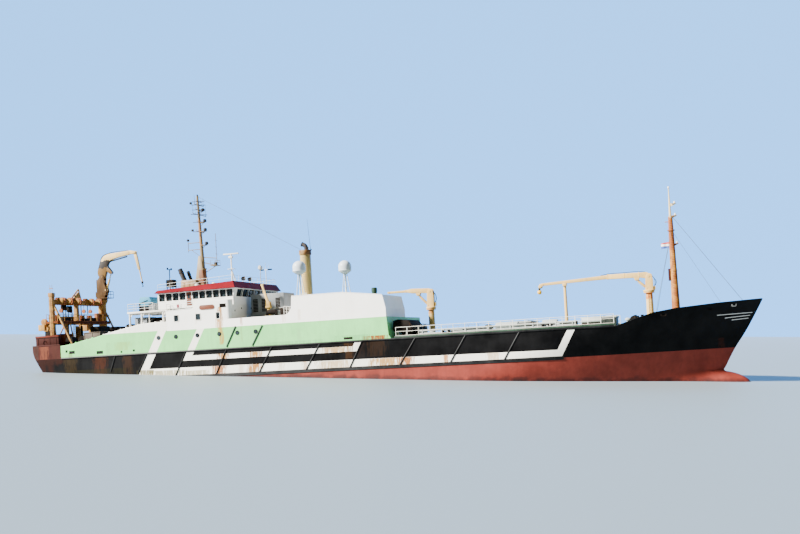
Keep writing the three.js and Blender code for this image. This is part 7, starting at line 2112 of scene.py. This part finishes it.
# aft and fore end of each coaming, its half width, and the end that carries the hinges
for name, x0, x1, half, hinge in (("aft", 18.5, 22.7, 3.2, 18.5), ("fore", 29.0, 33.2, 2.8, 33.2)):
    middle = (x0 + x1) / 2
    bm = bmesh.new()
    add_ring(bm, (middle, 0), (x1 - x0, 2 * half, 0.12), (x1 - x0 - 0.3, 2 * half - 0.3, 0.08), "Z",
             ON_DECK, COAMING)
    add_ring(bm, (middle, 0), (x1 - x0 + 0.08, 2 * half + 0.08, 0.14),
             (x1 - x0 - 0.2, 2 * half - 0.2, 0.08), "Z", COAMING - 0.1, COAMING - 0.002, 0.01)
    for i in range(5):
        x = x0 + 0.5 + (x1 - x0 - 1.0) * i / 4
        for side in (-1, 1):
            add_box(bm, (x - 0.02, side * half, DECK + 0.01),
                    (x + 0.02, side * (half + 0.04), COAMING - 0.1))
    coat(add_box(bm, (x0 + 0.1, -half + 0.1, DECK + 0.01), (x1 - 0.1, half - 0.1, DECK + 0.2)), 1)
    launch(f"hatch_{name}_coaming", bm, "root", [coaming_green_and_painted_shade, deck_green],
           [f"hatch_coaming_{name}"])
    bm = bmesh.new()
    add_box(bm, (x0 - 0.08, -half - 0.08, COAMING + CLEAR), (x1 + 0.08, half + 0.08, COAMING + 0.22), 0.04)
    for i in range(4):
        x = x0 + 0.45 + (x1 - x0 - 0.9) * i / 3
        add_box(bm, (x - 0.06, -half + 0.1, COAMING + 0.2), (x + 0.06, half - 0.1, COAMING + 0.3), 0.02)
    for y in (-half * 0.6, half * 0.6):
        lug = (x0 - 0.06, x0 + 0.2) if hinge == x0 else (x1 - 0.2, x1 + 0.06)
        add_box(bm, (lug[0], y - 0.12, COAMING + 0.18), (lug[1], y + 0.12, COAMING + 0.29), 0.02)
    launch(f"hatch_{name}_lid", bm, f"hatch_{name}", hatch_grey, [f"hatch_cover_{name}"])


# Foredeck rails and deck gear
# Three-bar tube rails along the deck edge, mooring bitts, mushroom ventilators and the pipes that
# run along the deck beside the hatches, with stowage bins, reels and moulded lids between them.
RAIL_FROM = 6.2
# White rail paint: yellowed, rusted at the feet
rail_white = weathered("rail_enamel", "dcdacb", rough=0.5, fade=0.06, grime=0.35, rust=0.35)
deck_row = waterline(DECK)
bm = bmesh.new()
rail_path = [(x, -half_breadth(x, deck_row) + 0.2, ON_DECK)
             for x in (RAIL_FROM + 3.0 * i for i in range(10))]
add_rail(bm, rail_path, (0.4, 0.93, 1.46), 1.5, 0.035, 0.028)
port_side = mirrored(bm)
launch("foredeck_rails_stbd", bm, "root", rail_white, ["foredeck_rail_stbd"])
launch("foredeck_rails_port", port_side, "root", rail_white, ["foredeck_rail_port"])

bm = bmesh.new()
# a pair of bitts on each side: place along, place across and the deck it stands on
for x, y, deck in ((12.5, 6.8, DECK), (25.0, 6.2, DECK), (36.0, 4.3, FORE_DECK), (43.9, 2.2, FORE_DECK)):
    for side in (-1, 1):
        add_box(bm, (x - 0.7, side * y - 0.2, deck), (x + 0.7, side * y + 0.2, deck + 0.1), 0.02)
        for dx in (-0.4, 0.4):
            add_turned(bm, [(0.16, 0), (0.16, 0.62), (0.21, 0.64), (0.21, 0.7), (0, 0.72)],
                       (x + dx, side * y, deck + 0.05), "Z", 20)
launch("mooring_bitts", bm, "root", dark_fittings)

bm = bmesh.new()
for y, z, radius in ((-1.2, DECK + 0.35, 0.09), (-1.5, DECK + 0.35, 0.06), (1.3, DECK + 0.35, 0.11)):
    add_pipe(bm,
             [(8.5, y, DECK), (8.5, y, z), (16.5, y, z), (16.9, y * 2.9, z), (24.5, y * 2.9, z),
              (24.9, y, z), (28.4, y, z), (28.4, y, DECK)], radius, 12)
for x, y in ((10.5, -5.6), (14.2, 5.4), (26.4, -4.4), (34.6, -2.4), (34.8, 2.6)):
    add_turned(bm, [(0.18, 0), (0.18, 0.62), (0.34, 0.66), (0.34, 0.82), (0.2, 0.95), (0, 0.98)],
               (x, y, DECK), "Z", 24)
for z in (5.25, 5.6):
    for side in (-1, 1):
        run = ((9.0, 6.6), (17.6, 6.6), (18.2, 6.3), (28.6, 5.9))
        add_pipe(bm, [(x, side * y, z) for x, y in run], 0.09, 12)
for x in (9.4, 12.2, 15.0, 17.8, 20.6, 23.4, 26.2, 28.2):
    for side in (-1, 1):
        y = 6.6 if x < 17.9 else 6.3 - 0.04 * (x - 18.2)
        add_box(bm, (x - 0.05, side * y - 0.14, DECK), (x + 0.05, side * y + 0.14, 5.7), 0.01)
launch("deck_pipes_and_vents", bm, "root", hatch_grey)

# dark stowage bins and reels between the pipes and the hatches
bm = bmesh.new()
for low, high in (((10.0, -6.1, DECK + 0.01), (13.6, -4.7, 5.35)),
                  ((14.4, -5.8, DECK + 0.01), (17.0, -4.2, 5.5)),
                  ((23.4, -5.6, DECK + 0.01), (26.0, -4.1, 5.5)),
                  ((26.8, -5.0, DECK + 0.01), (28.6, -3.2, 5.7)),
                  ((10.4, 4.4, DECK + 0.01), (13.0, 6.0, 5.5)),
                  ((23.6, 4.0, DECK + 0.01), (26.0, 5.5, 5.5))):
    add_box(bm, low, high, 0.06)
for x, y in ((17.6, -4.8), (23.0, -3.4), (35.4, -3.0)):
    add_turned(bm,
               [(0, -0.6), (0.5, -0.6), (0.5, -0.54), (0.26, -0.5), (0.26, 0.5), (0.5, 0.54), (0.5, 0.6),
                (0, 0.6)], (x, y, 5.42), "Y", 28)
launch("deck_bins_and_reels", bm, "root", dark_fittings)

# moulded grey lids over the deck gear
bm = bmesh.new()
# aft, fore, starboard and port edge of each
for x0, x1, y0, y1 in ((18.6, 21.4, -5.9, -3.6), (24.2, 26.0, -3.6, -1.2), (29.2, 31.6, -5.2, -3.2),
                       (19.0, 21.6, 3.6, 5.8)):
    add_prism(bm,
              softened([(y0, 5.35), (y1, 5.35), (y1, 5.75), ((y0 + y1) / 2, 6.15), (y0, 5.75)], 0.35, 4),
              "X", x0, x1, 0.05)
    coat(add_box(bm, (x0 + 0.06, y0 + 0.08, DECK + 0.01), (x1 - 0.06, y1 - 0.08, 5.37), 0.02), 1)
launch("deck_gear_lids", bm, "root", [hatch_grey, dark_fittings])


# Windlass
# Twin gypsies and warping heads on one shaft with a gearcase between, on a bedplate in the bow well.
bm = bmesh.new()
add_box(bm, (42.0, -1.8, ON_FORE_DECK), (43.6, 1.8, 5.45), 0.04)
add_tube(bm, (42.8, -2.2, 5.95), (42.8, 2.2, 5.95), 0.15, sides=20)
for side in (-1, 1):
    add_turned(bm,
               [(0, 0), (0.42, 0), (0.45, 0.06), (0.3, 0.16), (0.26, 0.34), (0.3, 0.5), (0.43, 0.58),
                (0, 0.6)], (42.8, side * 1.5, 5.95), (0, side, 0), 28)
    add_turned(bm, [(0, 0), (0.4, 0), (0.44, 0.05), (0.34, 0.12), (0.44, 0.2), (0.4, 0.25), (0, 0.25)],
               (42.8, side * 0.65, 5.95), (0, side, 0), 28)
    add_prism(bm, softened([(42.5, 5.4), (43.1, 5.4), (42.98, 6.1), (42.62, 6.1)], 0.08), "Y",
              side * 1.1, side * 1.3, 0.02)
add_box(bm, (42.3, -0.5, 5.4), (43.3, 0.5, 6.4), 0.08)
add_tube(bm, (43.3, 0, 5.9), (43.55, 0, 5.9), 0.25, sides=24)
launch("windlass_machine", bm, "root", deck_machine_paint, ["windlass"])


# Foremast and rigging
# A tapered steel tube, rust-orange below and buff above, with rungs and lamp brackets, held by wire
# stays. A small banded flag hangs aft of it, and the main mast's aerial runs to the funnel.
FOREMAST_X, MAST_HEAD = 40.4, 18
MAST_FOOT_RADIUS, MAST_HEAD_RADIUS = 0.52, 0.27


def foremast_marks(tree, x, y, z, colour):
    rag = put(tree, "TexNoise",
              {"Vector": put(tree, "TexCoord", out="Object"), "Scale": 7.0, "Detail": 6.0,
               "Roughness": 0.65})
    reach = put(tree, "Math", [z, put(tree, "MapRange", [rag, 0.3, 0.7, -0.6, 0.6])], operation="ADD")
    colour = put(tree, "Mix", [put(tree, "MapRange", [reach, 17.6, 18.2]), colour, hex_colour("cbb88c")],
                 data_type="RGBA")
    pale = put(tree, "Math",
               [put(tree, "MapRange", [rag, 0.48, 0.6]), put(tree, "MapRange", [z, 17.0, 12.0, 0.25, 0.7])],
               operation="MULTIPLY")
    colour = put(tree, "Mix", [pale, colour, hex_colour("c48c3c")], data_type="RGBA")
    return stained(tree, x, z, colour,
                   [(FOREMAST_X, 0.6, 17.4, 14.0, 0.5, "8a4a22"),
                    (FOREMAST_X, 0.6, 9.2, 5.4, 0.45, "8a4a22")])


# Orange-brown mast enamel, rusting through, under a buff top
mast_orange = weathered("rusty_mast_enamel", "8a4c1a", rough=0.6, fade=0.15, grime=0.25, rust=0.4,
                        rust_hex="6e3614", marks=foremast_marks)
bm = bmesh.new()
add_tube(bm, (FOREMAST_X, 0, ON_FORE_DECK), (FOREMAST_X, 0, MAST_HEAD), MAST_FOOT_RADIUS, MAST_HEAD_RADIUS,
         32)
add_tube(bm, (FOREMAST_X, 0, 17.9), (FOREMAST_X, 0, 21.7), 0.16, 0.05, 16)
add_turned(bm, [(0, 0), (0.75, 0), (0.75, 0.06), (0.53, 0.1), (0.5, 0.1)], (FOREMAST_X, 0, ON_FORE_DECK),
           "Z", 28)
for z in (14.5, 18.0, 19.5):
    add_prism(bm,
              [(FOREMAST_X + 0.1, z - 0.3), (FOREMAST_X + 0.8, z + 0.02), (FOREMAST_X + 0.8, z + 0.1),
               (FOREMAST_X + 0.1, z + 0.1)], "Y", -0.06, 0.06, 0.01)
    add_box(bm, (FOREMAST_X + 0.2, -0.2, z + 0.06), (FOREMAST_X + 0.8, 0.2, z + 0.1), 0.01)
add_box(bm, (FOREMAST_X - 0.7, -0.06, 17.3), (FOREMAST_X, 0.06, 17.4), 0.02)
for z in (16.2, 11.2):
    add_turned(bm, [(0.3, 0), (0.46, 0), (0.46, 0.1), (0.3, 0.1)], (FOREMAST_X, 0, z), "Z", 28)
taper = (MAST_FOOT_RADIUS - MAST_HEAD_RADIUS) / (MAST_HEAD - FORE_DECK)
for i in range(38):
    z = 6.4 + 0.3 * i
    radius = MAST_FOOT_RADIUS - taper * (z - FORE_DECK)
    add_bent_rung(bm, FOREMAST_X, -radius - 0.1, z, 0.16, 0.16)
launch("foremast_tube", bm, "root", mast_orange, ["foremast"])
bm = bmesh.new()
add_box(bm, (FOREMAST_X - 0.66, -0.25, 10.0), (FOREMAST_X - 0.38, 0.25, 11.5), 0.04)
launch("foremast_box", bm, "root", otter_red)
bm = bmesh.new()
for z in (14.6, 18.1, 19.6):
    add_turned(bm, LAMP, (FOREMAST_X + 0.6, 0, z), "Z", 14)
add_turned(bm, LAMP, (FOREMAST_X, 0, 21.5), "Z", 12)
launch("foremast_lamps", bm, "root", white_fittings)

# Galvanised wire rope: dull grey metal
wire_steel = weathered("galvanised_wire", "77797a", rough=0.45, metal=0.6, fade=0.2, grime=0.2, rust=0.1)
bm = bmesh.new()
add_tube(bm, (FOREMAST_X + 0.2, 0, 18.0), (48.2, 0, 7.0), 0.03, sides=8)
add_tube(bm, (FOREMAST_X + 0.1, 0, 16.2), (46.0, 0, 6.3), 0.02, sides=6)
for side in (-1, 1):
    add_tube(bm, (FOREMAST_X, side * 0.25, 16.2), (37.9, side * 4.1, FORE_DECK + 0.4), 0.022, sides=6)
add_tube(bm, (-25.2, 0, 27.2), (FUNNEL_X, FUNNEL_Y, 17.9), 0.018, sides=6)
launch("stays_and_aerial", bm, "root", wire_steel)

# Woven bunting in three plain bands
bunting, tree, shader = new_finish("woven_bunting")
place, x, y, z = ship_place(tree)
bands = put(tree, "Mix",
            [put(tree, "Math", [z, 14.35], operation="GREATER_THAN"), hex_colour("2c4f9c"),
             hex_colour("ecebe6")], data_type="RGBA")
bands = put(tree, "Mix",
            [put(tree, "Math", [z, 14.6], operation="GREATER_THAN"), bands, hex_colour("c0362c")],
            data_type="RGBA")
weave = put(tree, "TexWave", {"Vector": place, "Scale": 30.0, "Distortion": 0.2}, "Fac",
            bands_direction="Z")
thread = put(tree, "MapRange", [weave, 0.0, 1.0, 0.0, 0.15])
tone = put(tree, "Mix", [thread, bands, hex_colour("555555")], data_type="RGBA")
feed(tree, shader, {"Base Color": tone, "Roughness": 0.85, "Sheen Weight": 0.2})
bm = bmesh.new()
bmesh.ops.create_grid(bm, x_segments=16, y_segments=8, size=1)
for vert in bm.verts:
    along, up = (vert.co.x + 1) / 2, vert.co.y
    vert.co = (FOREMAST_X - 0.36 - 0.95 * along, 0.1 * math.sin(7 * along) * along + 0.03 * up, 14.47
               + 0.37 * up - 0.12 * along * along)
bmesh.ops.solidify(bm, geom=bm.faces[:], thickness=0.006)
add_tube(bm, (FOREMAST_X - 0.36, 0, 13.6), (FOREMAST_X - 0.36, 0, 17.3), 0.01, sides=6)
flag = launch("courtesy_flag", bm, "root", bunting)


# Bow fittings
# A rounded capping bar along the bulwark's edge, and cast hawse rings let into its plate: a white
# pair near the stem and dark ones aft of it.
bm = bmesh.new()
cap = [(33.6, 4.78), *BOW_SHEER[1:-1], (47.5, 6.88), (49.2, 6.97)]
for side in (-1, 1):
    line = [(x, side * (half_breadth(x, waterline(z)) - 0.06), z) for x, z in cap]
    add_pipe(bm, [*line, (50.38, side * 0.05, 7.03)], 0.075, 12)
launch("bow_capping", bm, "root", black_topsides)
bm = bmesh.new()
for side in (-1, 1):
    for x, z in ((47.0, 6.45), (44.2, 6.15), (38.9, 5.75)):
        y = side * half_breadth(x, waterline(z))
        ring = bmesh.new()
        add_ring(ring, (0, 0), (0.7, 0.36, 0.17), (0.5, 0.2, 0.1), "Y", -0.05, 0.07, 0.02)
        slope = math.atan2(half_breadth(x + 0.5, waterline(z)) - half_breadth(x - 0.5, waterline(z)), 1.0)
        ring.transform(Matrix.Translation((x, y, z)) @ Matrix.Rotation(side * slope, 4, "Z"))
        if x < 46:
            coat(ring.verts, 1)
        blend(bm, ring)
launch("hawse_castings", bm, "root", [white_fittings, dark_fittings])
